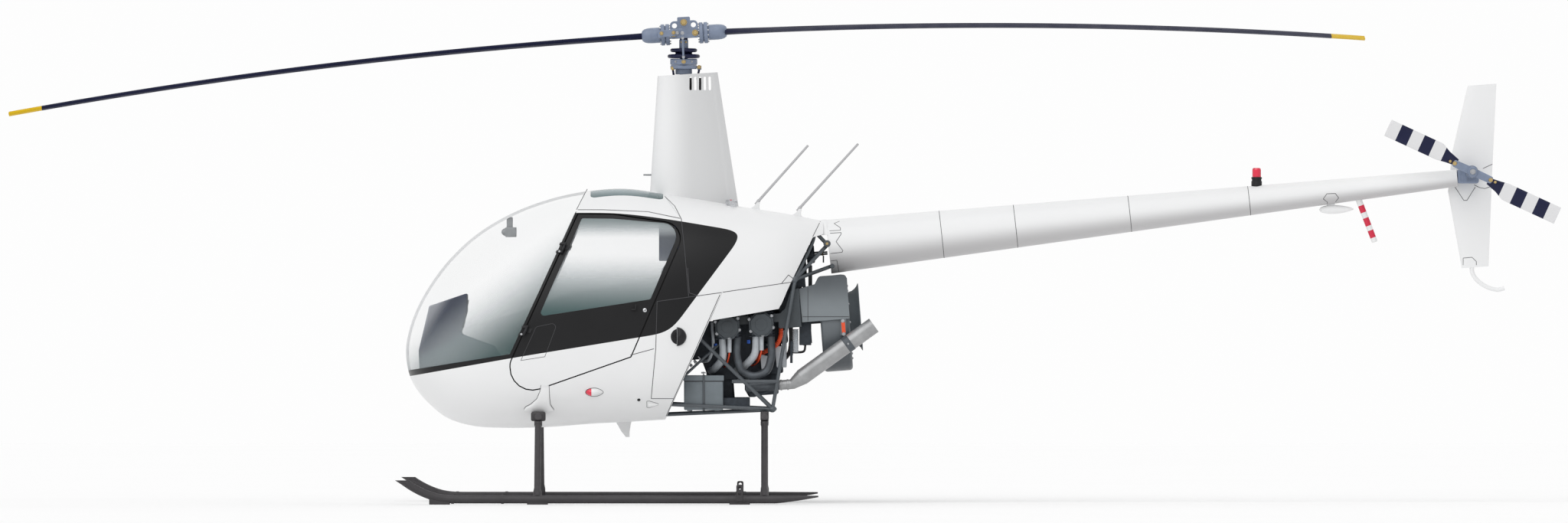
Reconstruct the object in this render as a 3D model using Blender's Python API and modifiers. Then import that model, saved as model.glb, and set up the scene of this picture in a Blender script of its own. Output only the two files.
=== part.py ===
"""A light two-seat piston helicopter, parked on its skids with its nose towards -X.

Metres, +Z up, +Y starboard. Every table counts x aft from the main rotor's mast and z up from the
floor; the empty "helicopter" then moves the whole machine so that the middle of its outer box is x = 0.
"""

import math

import bmesh
import bpy
import numpy as np
from mathutils import Matrix, Vector

# Driving dimensions
MAST_X = -0.5685
FLOOR_TOP = 0.524
SEAT_TOP = 0.785
WALL = 0.015
GLASS = 0.006
SEAT_GAP = 0.0003
DOOR_GAP = 0.007
PORT, STARBOARD = -1, 1

ROTOR_RADIUS = 3.835
ROTOR_DROOP = 0.239
ROTOR_TILT = math.radians(3.2)
MAIN_CHORD = 0.183
TEETER_Z = 2.713
MAST_RADIUS = 0.0225

TAIL_HUB = Vector((4.452, -0.185, 1.869))
TAIL_ROTOR_RADIUS = 0.537
TAIL_ROTOR_ANGLE = math.radians(24.8)
TAIL_CHORD = 0.10

SKID_Y = 0.965
SKID_RADIUS = 0.02275
SKID_Z = 0.02925
STRUT_RADIUS = 0.019
CROSS_TUBE_Z = 0.489
FRONT_TUBE_X, REAR_TUBE_X = -0.816, 0.457

BOOM_FRONT = Vector((0.818, 0.0, 1.446))
BOOM_REAR = Vector((4.369, 0.0, 1.834))
BOOM_FRONT_RADIUS, BOOM_REAR_RADIUS = 0.1525, 0.048
BOOM_SKIN = 0.004

CRANK = Vector((0.343, 0.0, 1.001))
CRANK_TILT = math.radians(4.3)
FRAME_TUBE = 0.011

# Outlines in side view: x, z and the radius that rounds the corner
WINDSHIELD = ((-1.70, 0.732, 0), (-0.977, 0.836, 0), (-0.531, 1.80, 0), (-1.70, 1.80, 0))
ROOF = (
    (-0.5997, 1.652, 0), (-0.531, 1.80, 0), (-0.10, 1.85, 0), (-0.108, 1.733, 0),
    (-0.014, 1.603, 0), (-0.20, 1.641, 0), (-0.45, 1.652, 0),
)
COWL = (
    (-0.108, 1.733, 0), (-0.10, 1.85, 0), (0.788, 1.75, 0), (0.788, 1.485, 0), (0.690, 1.441, 0),
    (0.544, 1.092, 0), (0.149, 1.029, 0), (0.219, 1.189, 0), (0.030, 1.1647, 0), (-0.014, 1.603, 0),
)
CABIN = (
    (-1.75, 0.30, 0), (-0.180, 0.30, 0), (0.219, 1.189, 0), (0.030, 1.1647, 0), (-0.014, 1.603, 0),
    (-0.20, 1.641, 0), (-0.45, 1.652, 0), (-0.5997, 1.652, 0), (-0.977, 0.836, 0), (-1.75, 0.7247, 0),
)
DOOR = (
    (-0.597, 1.636, 0.012), (-0.40, 1.634, 0), (0.030, 1.570, 0.10),
    (-0.292, 0.823, 0.012), (-0.985, 0.580, 0.13), (-0.978, 0.795, 0.08),
)
DOOR_WINDOW = (
    (-0.572, 1.606, 0.012), (-0.40, 1.604, 0), (-0.006, 1.571, 0.075),
    (-0.185, 1.150, 0.018), (-0.813, 1.053, 0.018),
)
STRUT_COVER = (
    (-0.806, 0.660, 0), (-0.836, 0.588, 0.05), (-0.895, 0.540, 0), (-0.889, 0.5256, 0),
    (-0.806, 0.5187, 0.02), (-0.730, 0.530, 0), (-0.7536, 0.562, 0.01), (-0.755, 0.660, 0),
)
FIREWALL = (
    (-0.135, 0.455, 0), (0.178, 1.152, 0), (0.010, 1.148, 0), (-0.075, 1.710, 0),
    (-0.067, 1.710, 0), (0.018, 1.1565, 0), (0.190, 1.1605, 0), (-0.123, 0.455, 0),
)
CONSOLE = (
    (-1.38, 0.5243, 0), (-1.47, 0.86, 0.02), (-1.43, 1.100, 0.02), (-1.22, 1.186, 0), (-1.216, 1.154, 0),
    (-1.257, 0.955, 0.02), (-1.069, 0.887, 0.02), (-1.03, 0.83, 0.01), (-1.05, 0.5243, 0),
)
SEAT_BACK = (
    (-0.158, 0.7855, 0.01), (-0.100, 1.360, 0.025), (-0.030, 1.360, 0.02),
    (-0.030, 1.140, 0.02), (-0.095, 0.7855, 0.01),
)
# The sheet-metal shroud over the cylinders, in the engine's own frame
SHROUD = (
    (-0.175, 0.006, 0), (-0.175, 0.056, 0), (0.205, 0.056, 0), (0.235, 0.080, 0), (0.275, 0.185, 0),
    (0.3217, 0.188, 0), (0.3217, -0.031, 0), (0.191, -0.031, 0), (0.191, 0.006, 0),
)
# The port skylight in plan: x, y and the corner's radius
SKYLIGHT = (
    (-0.525, -0.232, 0.03), (-0.115, -0.232, 0.03), (-0.115, -0.070, 0.03), (-0.525, -0.070, 0.03),
)
# The door's hinge line stands outside the skin; its two hinges are this far apart along it
HINGE_UPPER = Vector((-0.675, 0.495, 1.440))
HINGE_LOWER = Vector((-0.888, 0.583, 0.974))
KNUCKLE_RADIUS = 0.007
KNUCKLE_HALF = 0.016
# Cabin floor, the box under the seats, its compartments and the seats: x and z, or x from and to
FLOOR = ((-1.40, 0.509, 0), (-0.1127, 0.509, 0), (-0.106, FLOOR_TOP, 0), (-1.40, FLOOR_TOP, 0))
SEAT_BOX = ((-0.66, 0.515, 0), (-0.110, 0.515, 0), (0.0105, SEAT_TOP, 0), (-0.66, SEAT_TOP, 0))
COMPARTMENT_X = (-0.625, -0.195)
COMPARTMENT_Y = (0.085, 0.410)
COMPARTMENT_Z = (0.540, 0.80)
CUSHION_LOW = (-0.650, -0.435, 0.7855)
CUSHION_HIGH = (-0.172, -0.060, 0.870)
PEDAL_X = -1.20
PEDAL_Y = (-0.315, -0.195, 0.195, 0.315)
# Outlines turned round an axis: radius and height, or radius and distance along the axis
BEACON_PROFILE = (
    (0.0, 1.891), (0.014, 1.889), (0.023, 1.880), (0.026, 1.862),
    (0.026, 1.832), (0.030, 1.830), (0.030, 1.76), (0.0, 1.76),
)
POD_PROFILE = (
    (0.0, 0.103), (0.012, 0.098), (0.024, 0.075), (0.024, -0.085), (0.014, -0.103), (0.0, -0.103),
)
FAN_DRUM_PROFILE = (
    (0.0, 0.594), (0.250, 0.594), (0.265, 0.588), (0.271, 0.573),
    (0.271, 0.451), (0.265, 0.436), (0.250, 0.430), (0.0, 0.430),
)
FAN_DUCT = ((0.322, -0.008, 0), (0.322, 0.188, 0), (0.586, 0.188, 0.02), (0.592, -0.008, 0))
BELLMOUTH_PROFILE = (
    (0.186, 0.655), (0.190, 0.655), (0.160, 0.632), (0.145, 0.610), (0.142, 0.560),
    (0.132, 0.560), (0.134, 0.612), (0.152, 0.637), (0.186, 0.655),
)
FAN_RING_PROFILE = ((0.160, 0.058), (0.215, 0.058), (0.215, 0.054), (0.160, 0.054), (0.160, 0.058))
TAIL_SKID = (
    (4.457, 0.065, 1.37), (4.460, 0.065, 1.296), (4.575, 0.065, 1.205),
    (4.603, 0.065, 1.203), (4.642, 0.065, 1.209),
)
BATTERY_LOW = (0.003, -0.36, 0.5254)
BATTERY_HIGH = (0.224, -0.16, 0.720)
# The hub's side plates, and the pitch horns, in the head's own frame
HUB_PLATE = (
    (-0.036, 0.031, 0), (0.036, 0.031, 0), (0.085, -0.030, 0),
    (0.078, -0.089, 0), (-0.078, -0.089, 0), (-0.085, -0.030, 0),
)
PITCH_HORN = ((0.110, 0.03, -0.064), (0.110, 0.130, -0.064), (0.085, 0.160, -0.060), (0.028, 0.165, -0.060))
FIN = (
    (4.434, 2.359, 0.01), (4.596, 2.372, 0.01), (4.575, 1.907, 0), (4.570, 1.783, 0), (4.553, 1.334, 0.01),
    (4.399, 1.320, 0.01), (4.320, 1.772, 0.02), (4.343, 1.961, 0.02),
)

# The fuselage's cross-sections: x, bottom, top, half width, height of the widest place, and how
# square the section is above and below that place (2 is an ellipse)
HULL_TIP = (-1.569, 0.855)
HULL = (
    (-1.553, 0.735, 0.965, 0.125, 0.860, 2.00, 2.0),
    (-1.515, 0.652, 1.078, 0.235, 0.870, 2.00, 2.1),
    (-1.440, 0.562, 1.218, 0.345, 0.880, 2.00, 2.3),
    (-1.330, 0.477, 1.366, 0.425, 0.900, 2.00, 2.6),
    (-1.180, 0.433, 1.508, 0.490, 0.920, 2.05, 3.0),
    (-0.980, 0.423, 1.630, 0.535, 0.940, 2.15, 3.4),
    (-0.750, 0.429, 1.717, 0.557, 0.950, 2.30, 3.6),
    (-0.500, 0.448, 1.766, 0.560, 0.950, 2.40, 3.6),
    (-0.356, 0.455, 1.775, 0.560, 0.960, 2.45, 3.6),
    (-0.110, 0.469, 1.746, 0.550, 0.980, 2.50, 3.6),
    (0.050, 0.474, 1.723, 0.525, 1.020, 2.50, 3.4),
    (0.300, 0.620, 1.676, 0.470, 1.080, 2.50, 3.0),
    (0.550, 0.900, 1.637, 0.385, 1.200, 2.40, 2.5),
    (0.800, 1.290, 1.589, 0.178, 1.440, 2.15, 2.1),
)
HULL_SIDES = 24

# The mast fairing's cross-sections: height, leading edge, trailing edge, half thickness
FAIRING = ((1.64, -0.198, 0.315, 0.105), (2.05, -0.171, 0.250, 0.090), (2.46, -0.144, 0.187, 0.075))
FAIRING_TOP = ((-0.30, 2.400), (0.30, 2.439))

# Tubes of the steel frame behind the cabin, port side: (x, distance from the middle, z) along each
FRAME_TUBES = (
    ((-0.118, 0.400, 0.560), (0.502, 0.360, 0.530)),
    ((-0.125, 0.200, 0.4985), (0.505, 0.200, 0.5265)),
    ((0.070, 0.420, 0.950), (0.502, 0.360, 0.530)),
    (
        (0.502, 0.360, 0.530), (0.628, 0.330, 1.261), (0.728, 0.205, 1.440),
        (0.760, 0.150, 1.480), (0.80, 0.12, 1.49),
    ),
    ((0.273, 0.389, 0.687), (0.528, 0.356, 0.687)),
    ((0.628, 0.330, 1.261), (0.833, 0.085, 1.336)),
    ((0.628, 0.330, 1.261), (0.810, 0.120, 1.455)),
)
# Tubes that cross the machine: x, half length, z
FRAME_CROSS_TUBES = ((0.502, 0.360, 0.530), (0.300, 0.385, 0.687), (0.628, 0.330, 1.261))

# Skid shoes on the floor: front x, rear x, height over the front edge, height over the rear edge
SHOES = ((-1.423, -1.306, 0.055, 0.035), (-0.874, -0.757, 0.018, 0.018), (0.260, 0.376, 0.018, 0.018))
SKID_PATH = (
    (-1.575, 0.137), (-1.510, 0.094), (-1.441, 0.060), (-1.380, 0.040), (-1.310, 0.0305), (-1.250, SKID_Z),
    (0.523, SKID_Z),
)
SKID_TAIL = (0.761, 0.0455)

# Main blade: distance from the teeter bolt, chord, thickness, twist in degrees
BLADE_SECTIONS = (
    (0.235, 0.070, 0.050, 6.0), (0.330, 0.110, 0.036, 6.0), (0.480, MAIN_CHORD, 0.024, 5.5),
    (0.900, MAIN_CHORD, 0.022, 5.0), (1.400, MAIN_CHORD, 0.022, 4.5), (1.900, MAIN_CHORD, 0.022, 4.0),
    (2.400, MAIN_CHORD, 0.022, 3.5), (2.900, MAIN_CHORD, 0.022, 3.0), (3.400, MAIN_CHORD, 0.022, 2.5),
    (ROTOR_RADIUS, MAIN_CHORD, 0.022, 2.0),
)
TAIL_BLADE_SECTIONS = (
    (0.1303, 0.045, 0.024, 0.0), (0.165, 0.066, 0.018, 0.0), (0.215, TAIL_CHORD, 0.014, 0.0),
    (TAIL_ROTOR_RADIUS, TAIL_CHORD, 0.012, 0.0),
)
# Symmetric aerofoil: place along the chord from the leading edge, half thickness as a share of it
AEROFOIL = ((0.0, 0.0), (0.06, 0.30), (0.16, 0.45), (0.32, 0.50), (0.60, 0.36), (0.85, 0.15), (1.0, 0.02))


def clear_scene():
    for obj in list(bpy.data.objects):
        bpy.data.objects.remove(obj)
    for collection in list(bpy.data.collections):
        bpy.data.collections.remove(collection)


def new_collection(name):
    collection = bpy.data.collections.new(name)
    bpy.context.scene.collection.children.link(collection)
    return collection


clear_scene()
PARTS = new_collection("light_helicopter")


def new_material(name, colour, roughness, metallic=0.0, alpha=1.0):
    made = bpy.data.materials.new(name)
    made.use_nodes = True
    shader = made.node_tree.nodes["Principled BSDF"]
    shader.inputs["Base Color"].default_value = (*colour, 1.0)
    shader.inputs["Roughness"].default_value = roughness
    shader.inputs["Metallic"].default_value = metallic
    shader.inputs["Alpha"].default_value = alpha
    made.diffuse_color = (*colour, alpha)
    return made


WHITE = new_material("white_paint", (0.86, 0.86, 0.86), 0.25)
BLACK = new_material("black_trim", (0.02, 0.02, 0.02), 0.4)
TINTED = new_material("tinted_glass", (0.03, 0.03, 0.035), 0.05, alpha=0.6)
CLEAR = new_material("clear_glass", (0.75, 0.78, 0.80), 0.05, alpha=0.25)
NAVY = new_material("navy_paint", (0.012, 0.015, 0.045), 0.3)
HUB_BLUE = new_material("blue_grey_steel", (0.20, 0.24, 0.32), 0.4, 0.3)
GEAR_DARK = new_material("dark_gear_paint", (0.045, 0.040, 0.045), 0.5)
FRAME_GREY = new_material("grey_frame_paint", (0.10, 0.12, 0.13), 0.45)
ENGINE_DARK = new_material("dark_engine_metal", (0.035, 0.045, 0.055), 0.5, 0.5)
EXHAUST_STEEL = new_material("exhaust_steel", (0.38, 0.38, 0.40), 0.4, 0.8)
SCROLL_GREY = new_material("grey_scroll", (0.17, 0.20, 0.22), 0.45)
GREY_TRIM = new_material("grey_trim", (0.30, 0.30, 0.31), 0.5)
RED_LENS = new_material("red_lens", (0.60, 0.02, 0.07), 0.1)
SEAT_FABRIC = new_material("seat_fabric", (0.07, 0.07, 0.08), 0.8)


def add_shape(bm, name="shape"):
    """A closed mesh object made from the bmesh, with its faces turned outwards."""
    bmesh.ops.recalc_face_normals(bm, faces=bm.faces)
    if bm.calc_volume(signed=True) < 0:
        bmesh.ops.reverse_faces(bm, faces=bm.faces)
    mesh = bpy.data.meshes.new(name)
    bm.to_mesh(mesh)
    bm.free()
    obj = bpy.data.objects.new(name, mesh)
    PARTS.objects.link(obj)
    return obj


def box(low, high, bevel=0.0):
    bm = bmesh.new()
    bmesh.ops.create_cube(bm, size=1.0)
    size = Vector(high) - Vector(low)
    bmesh.ops.scale(bm, vec=size, verts=bm.verts)
    bmesh.ops.translate(bm, vec=Vector(low) + size / 2, verts=bm.verts)
    if bevel:
        bmesh.ops.bevel(bm, geom=bm.edges, offset=bevel, segments=2, profile=0.5, affect="EDGES")
    return add_shape(bm)


def bar(start, end, radius, end_radius=None, sides=12):
    """A round bar or a cone between two points."""
    start, end = Vector(start), Vector(end)
    along = end - start
    bm = bmesh.new()
    turn = along.to_track_quat("Z", "Y").to_matrix().to_4x4()
    bmesh.ops.create_cone(
        bm, cap_ends=True, segments=sides, radius1=radius,
        radius2=radius if end_radius is None else end_radius, depth=along.length,
        matrix=Matrix.Translation(start + along / 2) @ turn,
    )
    return add_shape(bm)


def ball(centre, radii, segments=12, rings=8):
    bm = bmesh.new()
    bmesh.ops.create_uvsphere(
        bm, u_segments=segments, v_segments=rings, radius=1.0,
        matrix=Matrix.Translation(centre) @ Matrix.Diagonal((*radii, 1.0)),
    )
    return add_shape(bm)


def tube(points, radius, bevel_resolution=2):
    """A tube along straight runs between the points, as a mesh with its caps welded on."""
    data = bpy.data.curves.new("tube", "CURVE")
    data.dimensions = "3D"
    data.bevel_depth = radius
    data.bevel_resolution = bevel_resolution
    data.use_fill_caps = True
    spline = data.splines.new("POLY")
    spline.points.add(len(points) - 1)
    for point, place in zip(spline.points, points):
        point.co = (*place, 1.0)
    curve = bpy.data.objects.new("tube", data)
    PARTS.objects.link(curve)
    graph = bpy.context.evaluated_depsgraph_get()
    mesh = bpy.data.meshes.new_from_object(curve.evaluated_get(graph))
    bpy.data.objects.remove(curve)
    bm = bmesh.new()
    bm.from_mesh(mesh)
    bmesh.ops.remove_doubles(bm, verts=bm.verts, dist=1e-5)
    return add_shape(bm)


def turned(profile, steps=24):
    """The profile (radius, z), from top to bottom, turned once round the Z axis."""
    mesh = bpy.data.meshes.new("turned")
    points = [(radius, 0.0, z) for radius, z in profile]
    edges = [(i, i + 1) for i in range(len(points) - 1)]
    if points[0] == points[-1]:
        points.pop()
        edges[-1] = (len(points) - 1, 0)
    mesh.from_pydata(points, edges, [])
    obj = bpy.data.objects.new("turned", mesh)
    PARTS.objects.link(obj)
    screw = obj.modifiers.new("turn", "SCREW")
    screw.steps = screw.render_steps = steps
    screw.use_merge_vertices = True
    screw.merge_threshold = 1e-5
    bm = bmesh.new()
    bm.from_mesh(baked(obj).data)
    bpy.data.objects.remove(obj)
    return add_shape(bm)


def moved(obj, matrix):
    obj.data.transform(matrix)
    return obj


def along_x(obj, x=0.0, y=0.0, z=0.0):
    """A shape turned about Z is laid along +X and moved to its place."""
    return moved(obj, Matrix.Translation((x, y, z)) @ Matrix.Rotation(math.pi / 2, 4, "Y"))


def baked(obj):
    """The object with its modifiers applied."""
    graph = bpy.context.evaluated_depsgraph_get()
    mesh = bpy.data.meshes.new_from_object(obj.evaluated_get(graph))
    obj.modifiers.clear()
    obj.data = mesh
    return obj


def combined(operation, base, others):
    for other in others:
        join = base.modifiers.new(operation.lower(), "BOOLEAN")
        join.operation = operation
        join.object = other
    baked(base)
    for other in others:
        bpy.data.objects.remove(other)
    return base


def union(base, *others):
    return combined("UNION", base, others)


def cut(base, *others):
    return combined("DIFFERENCE", base, others)


def common(base, *others):
    return combined("INTERSECT", base, others)


def copy_of(obj):
    twin = obj.copy()
    twin.data = obj.data.copy()
    PARTS.objects.link(twin)
    return twin


def mirrored(obj):
    """A copy of the shape on the other side of the middle plane."""
    twin = copy_of(obj)
    twin.data.transform(Matrix.Diagonal((1, -1, 1, 1)))
    twin.data.flip_normals()
    return twin


def rounded(corners, grow=0.0, steps=5):
    """The outline through the corners, each turned by an arc, with every edge moved out by grow."""
    places = [Vector(corner[:2]) for corner in corners]
    count = len(places)
    area = sum(a.x * b.y - b.x * a.y for a, b in zip(places, places[1:] + places[:1]))
    side = math.copysign(1.0, area)
    ways = [(places[(i + 1) % count] - places[i]).normalized() for i in range(count)]
    outs = [Vector((way.y, -way.x)) * side for way in ways]
    outline = []
    for i, (place, corner) in enumerate(zip(places, corners)):
        before, after = outs[i - 1], outs[i]
        place = place + (before + after) * grow / (1 + before.dot(after))
        turn = ways[i - 1].angle_signed(ways[i])
        convex = turn * side < 0
        radius = corner[2] + (grow if convex else -grow)
        if corner[2] == 0 or radius <= 0:
            outline.append(place)
            continue
        start = place - ways[i - 1] * radius * math.tan(abs(turn) / 2)
        centre = start - before * radius * (1 if convex else -1)
        arm = start - centre
        for step in range(steps + 1):
            spin = Matrix.Rotation(-turn * step / steps, 2)
            outline.append(centre + spin @ arm)
    return outline


def prism(corners, low, high, grow=0.0, plan=False):
    """The outline in side view (x, z) pushed from y = low to high, or in plan (x, y) from z = low to high."""
    bm = bmesh.new()
    outline = rounded(corners, grow)
    if plan:
        verts = [bm.verts.new((p.x, p.y, low)) for p in outline]
        push = Vector((0, 0, high - low))
    else:
        verts = [bm.verts.new((p.x, low, p.y)) for p in outline]
        push = Vector((0, high - low, 0))
    bm.faces.new(verts)
    made = bmesh.ops.extrude_face_region(bm, geom=bm.faces[:])["geom"]
    bmesh.ops.translate(bm, vec=push, verts=[item for item in made if isinstance(item, bmesh.types.BMVert)])
    return add_shape(bm)


def loft(rings, tip=None):
    """A closed skin over rings of equally many points; a tip closes the first end in one point.

    Each four-sided patch is split the same way every time, and evenly on both sides, so that two
    lofts over the same stations keep an even gap.
    """
    bm = bmesh.new()
    layers = [[bm.verts.new(point) for point in ring] for ring in rings]
    count = len(layers[0])
    for one, two in zip(layers, layers[1:]):
        for i in range(count):
            j = (i + 1) % count
            if count // 4 <= i < count - count // 4:
                bm.faces.new((one[i], one[j], two[i]))
                bm.faces.new((one[j], two[j], two[i]))
            else:
                bm.faces.new((one[i], one[j], two[j]))
                bm.faces.new((one[i], two[j], two[i]))
    bm.faces.new(layers[-1])
    if tip is None:
        bm.faces.new(layers[0])
    else:
        point = bm.verts.new(tip)
        for i in range(count):
            bm.faces.new((layers[0][i], layers[0][(i + 1) % count], point))
    return add_shape(bm)


def hull(grow=0.0, extra_length=0.0):
    """The fuselage's outer form, every wall moved out by grow."""
    rings = []
    nose = HULL_TIP[0]
    for x, bottom, top, half_width, widest, top_power, bottom_power in HULL:
        x -= grow * max(0.0, 1.0 - (x - nose) / 0.35)
        if x > 0.79:
            x += extra_length
        ring = []
        for angle in np.radians(np.arange(HULL_SIDES) * 360.0 / HULL_SIDES):
            across, up = math.cos(angle), math.sin(angle)
            power = top_power if up >= 0 else bottom_power
            height = (top - widest if up >= 0 else widest - bottom) + grow
            y = (half_width + grow) * math.copysign(abs(across) ** (2 / power), across)
            z = widest + height * math.copysign(abs(up) ** (2 / power), up)
            ring.append((x, y, z))
        rings.append(ring)
    return loft(rings, (nose - grow, 0.0, HULL_TIP[1]))


def aerofoil_ring(place, chord, thickness, degrees):
    """Aerofoil across +X at the place, with its leading edge towards +Y and turned up by the twist."""
    upper = [((0.25 - share) * chord, height * thickness) for share, height in AEROFOIL]
    lower = [(y, -z) for y, z in upper[:0:-1]]
    turn = math.radians(degrees)
    return [
        (
            place[0],
            place[1] + y * math.cos(turn) - z * math.sin(turn),
            place[2] + y * math.sin(turn) + z * math.cos(turn),
        )
        for y, z in upper + lower
    ]


def part(obj, name, look, parent):
    """The finished sub-part: named, coloured, smooth where it is round, and carried by its parent."""
    obj.name = obj.data.name = name
    obj.data.materials.clear()
    obj.data.materials.append(look)
    obj.data.shade_smooth()
    obj.data.set_sharp_from_angle(angle=math.radians(35))
    obj.parent = parent
    return obj


def joint_empty(name, place, parent=None, tilt=0.0):
    empty = bpy.data.objects.new(name, None)
    empty.empty_display_size = 0.1
    PARTS.objects.link(empty)
    empty.location = place
    empty.rotation_euler = (0.0, tilt, 0.0)
    empty.parent = parent
    return empty


def both_sides(name, obj, look, parents):
    """The port piece and its twin to starboard, each on its own parent."""
    twin = mirrored(obj)
    part(obj, name + "_left", look, parents[0])
    part(twin, name + "_right", look, parents[1])


def skin(cutter, wall=WALL):
    """The fuselage wall inside the cutter."""
    return common(cut(hull(), hull(-wall, extra_length=0.05)), cutter)


def make_cabin(airframe):
    shell = skin(prism(CABIN, -0.8, 0.8, -SEAT_GAP))
    cover = prism(STRUT_COVER, -0.528, -0.30)
    covers = union(cover, mirrored(cover))
    lights = []
    for side in (PORT, STARBOARD):
        lights.append(ball((-0.4985, side * 0.515, 0.625), (0.048, 0.030, 0.022)))
        lights.append(ball((-0.023, side * 0.520, 0.940), (0.048, 0.030, 0.050)))
    antenna = prism(
        ((-0.391, 0.470, 0), (-0.292, 0.470, 0), (-0.306, 0.371, 0), (-0.327, 0.371, 0)), -0.006, 0.006
    )
    outside = cut(union(covers, *lights, antenna), hull(-WALL + 0.004))
    shell = union(shell, outside)
    opening = prism(DOOR, -1.0, 1.0)
    tube_ends = [(FRONT_TUBE_X, y, CROSS_TUBE_Z) for y in (-0.7, 0.7)]
    tunnel = bar(*tube_ends, 0.0193 + SEAT_GAP, sides=16)
    shell = cut(shell, opening, tunnel)
    for side in (PORT, STARBOARD):
        shell = union(shell, *hinge_knuckles(side))
    part(shell, "cabin_shell", WHITE, airframe)

    strip = prism(WINDSHIELD, -0.018, 0.018, -SEAT_GAP)
    joined = box((-0.620, -0.018, 1.60), (-0.50, 0.018, 1.85))
    over = prism(ROOF, -0.8, 0.8, -SEAT_GAP)
    roof = skin(union(over, strip, joined))
    compass = common(box((-1.030, -0.030, 1.500), (-0.945, 0.030, 1.65)), hull(-GLASS - 0.002))
    skylight = prism(SKYLIGHT, 1.5, 1.9, plan=True)
    roof = cut(union(roof, compass), skylight, mirrored(skylight))
    part(roof, "cabin_roof", WHITE, airframe)
    pane = skin(prism(SKYLIGHT, 1.5, 1.9, -SEAT_GAP, True), GLASS)
    both_sides("skylight", pane, TINTED, (airframe, airframe))
    half = common(prism(WINDSHIELD, -0.8, 0.8, -SEAT_GAP), box((-2, -0.9, 0), (1, -0.0186, 2)))
    both_sides("windshield", skin(half, GLASS), CLEAR, (airframe, airframe))


def hinge_places(side):
    flip = Matrix.Diagonal((1, side, 1))
    upper, lower = flip @ HINGE_UPPER, flip @ HINGE_LOWER
    return upper, lower, (upper - lower).normalized()


def hinge_arm(side, centre, axis, start, end, reach):
    """A knuckle round the hinge line between two heights, with an arm to the skin."""
    knuckle = bar(centre + axis * start, centre + axis * end, KNUCKLE_RADIUS)
    middle = centre + axis * (start + end) / 2
    arm = bar(middle, middle + Vector((reach, -side * 0.060, 0.0)), 0.005, sides=8)
    return union(knuckle, arm)


def hinge_knuckles(side):
    """The fixed halves of the hinges, with their arms forward to the pillar."""
    upper, lower, axis = hinge_places(side)
    made = []
    for centre in (upper, lower):
        for sign in (-1, 1):
            near, far = KNUCKLE_HALF + 0.0006, KNUCKLE_HALF + 0.016
            piece = hinge_arm(side, centre, axis, sign * near, sign * far, -0.026)
            made.append(cut(piece, hull(-WALL + 0.004), prism(WINDSHIELD, -0.8, 0.8, SEAT_GAP)))
    return made


def make_doors(empties):
    outline = prism(DOOR, -1.0, -0.05, -DOOR_GAP)
    door = skin(outline)
    door = cut(door, prism(DOOR_WINDOW, -1.0, 0.0))
    upper, lower, axis = hinge_places(PORT)
    arms = [hinge_arm(PORT, centre, axis, -KNUCKLE_HALF, KNUCKLE_HALF, 0.022) for centre in (upper, lower)]
    arms = [cut(arm, hull(-WALL + 0.004)) for arm in arms]
    latch = box((-0.275, -0.580, 1.094), (-0.235, -0.535, 1.112))
    latch = cut(latch, hull(-WALL + 0.004))
    door = union(door, *arms, latch)
    window = skin(prism(DOOR_WINDOW, -1.0, -0.05, -SEAT_GAP), GLASS)
    for piece, name, look in ((door, "door", WHITE), (window, "door_window", TINTED)):
        twin = mirrored(piece)
        for obj, side_name, empty in ((piece, "left", empties[0]), (twin, "right", empties[1])):
            moved(obj, Matrix.Translation(-empty.location))
            part(obj, f"{name}_{side_name}", look, empty)


def make_cowl_and_fairing(airframe):
    cowl = skin(prism(COWL, -0.8, 0.8, -SEAT_GAP))
    cap = cut(bar((0.27, -0.10, 1.60), (0.27, -0.10, 1.707), 0.033, sides=16), hull(-WALL + 0.004))
    part(union(cowl, cap), "upper_cowl", WHITE, airframe)

    rings = []
    for z, front, rear, half in FAIRING:
        shares = np.concatenate([np.linspace(0, 1, 9), np.linspace(1, 0, 9)[1:-1]])
        ring = []
        for number, share in enumerate(shares):
            if share < 0.35:
                width = half * math.sqrt(1 - ((0.35 - share) / 0.35) ** 2)
            else:
                width = half * (1 - ((share - 0.35) / 0.65) ** 1.8) + 0.004 * (share > 0.9)
            sign = 1 if number < 9 else -1
            ring.append((front + share * (rear - front), sign * max(width, 0.0), z))
        rings.append(ring)
    top_cut = prism(
        (*[(x, z + 0.0005, 0) for x, z in FAIRING_TOP], (0.30, 2.6, 0), (-0.30, 2.6, 0)), -0.3, 0.3
    )
    bore = bar((0, 0, 1.9495), (0, 0, 2.6), MAST_RADIUS + 0.001, sides=24)
    probe = bar((-0.228, 0, 1.852), (-0.15, 0, 1.852), 0.005, sides=8)
    fairing = union(loft(rings), probe)
    fairing = cut(fairing, hull(SEAT_GAP), top_cut, bore)
    part(fairing, "mast_fairing", WHITE, airframe)


def inside(obj, clearance):
    """The shape trimmed to the cabin's inner wall."""
    return common(obj, hull(-WALL - clearance))


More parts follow.
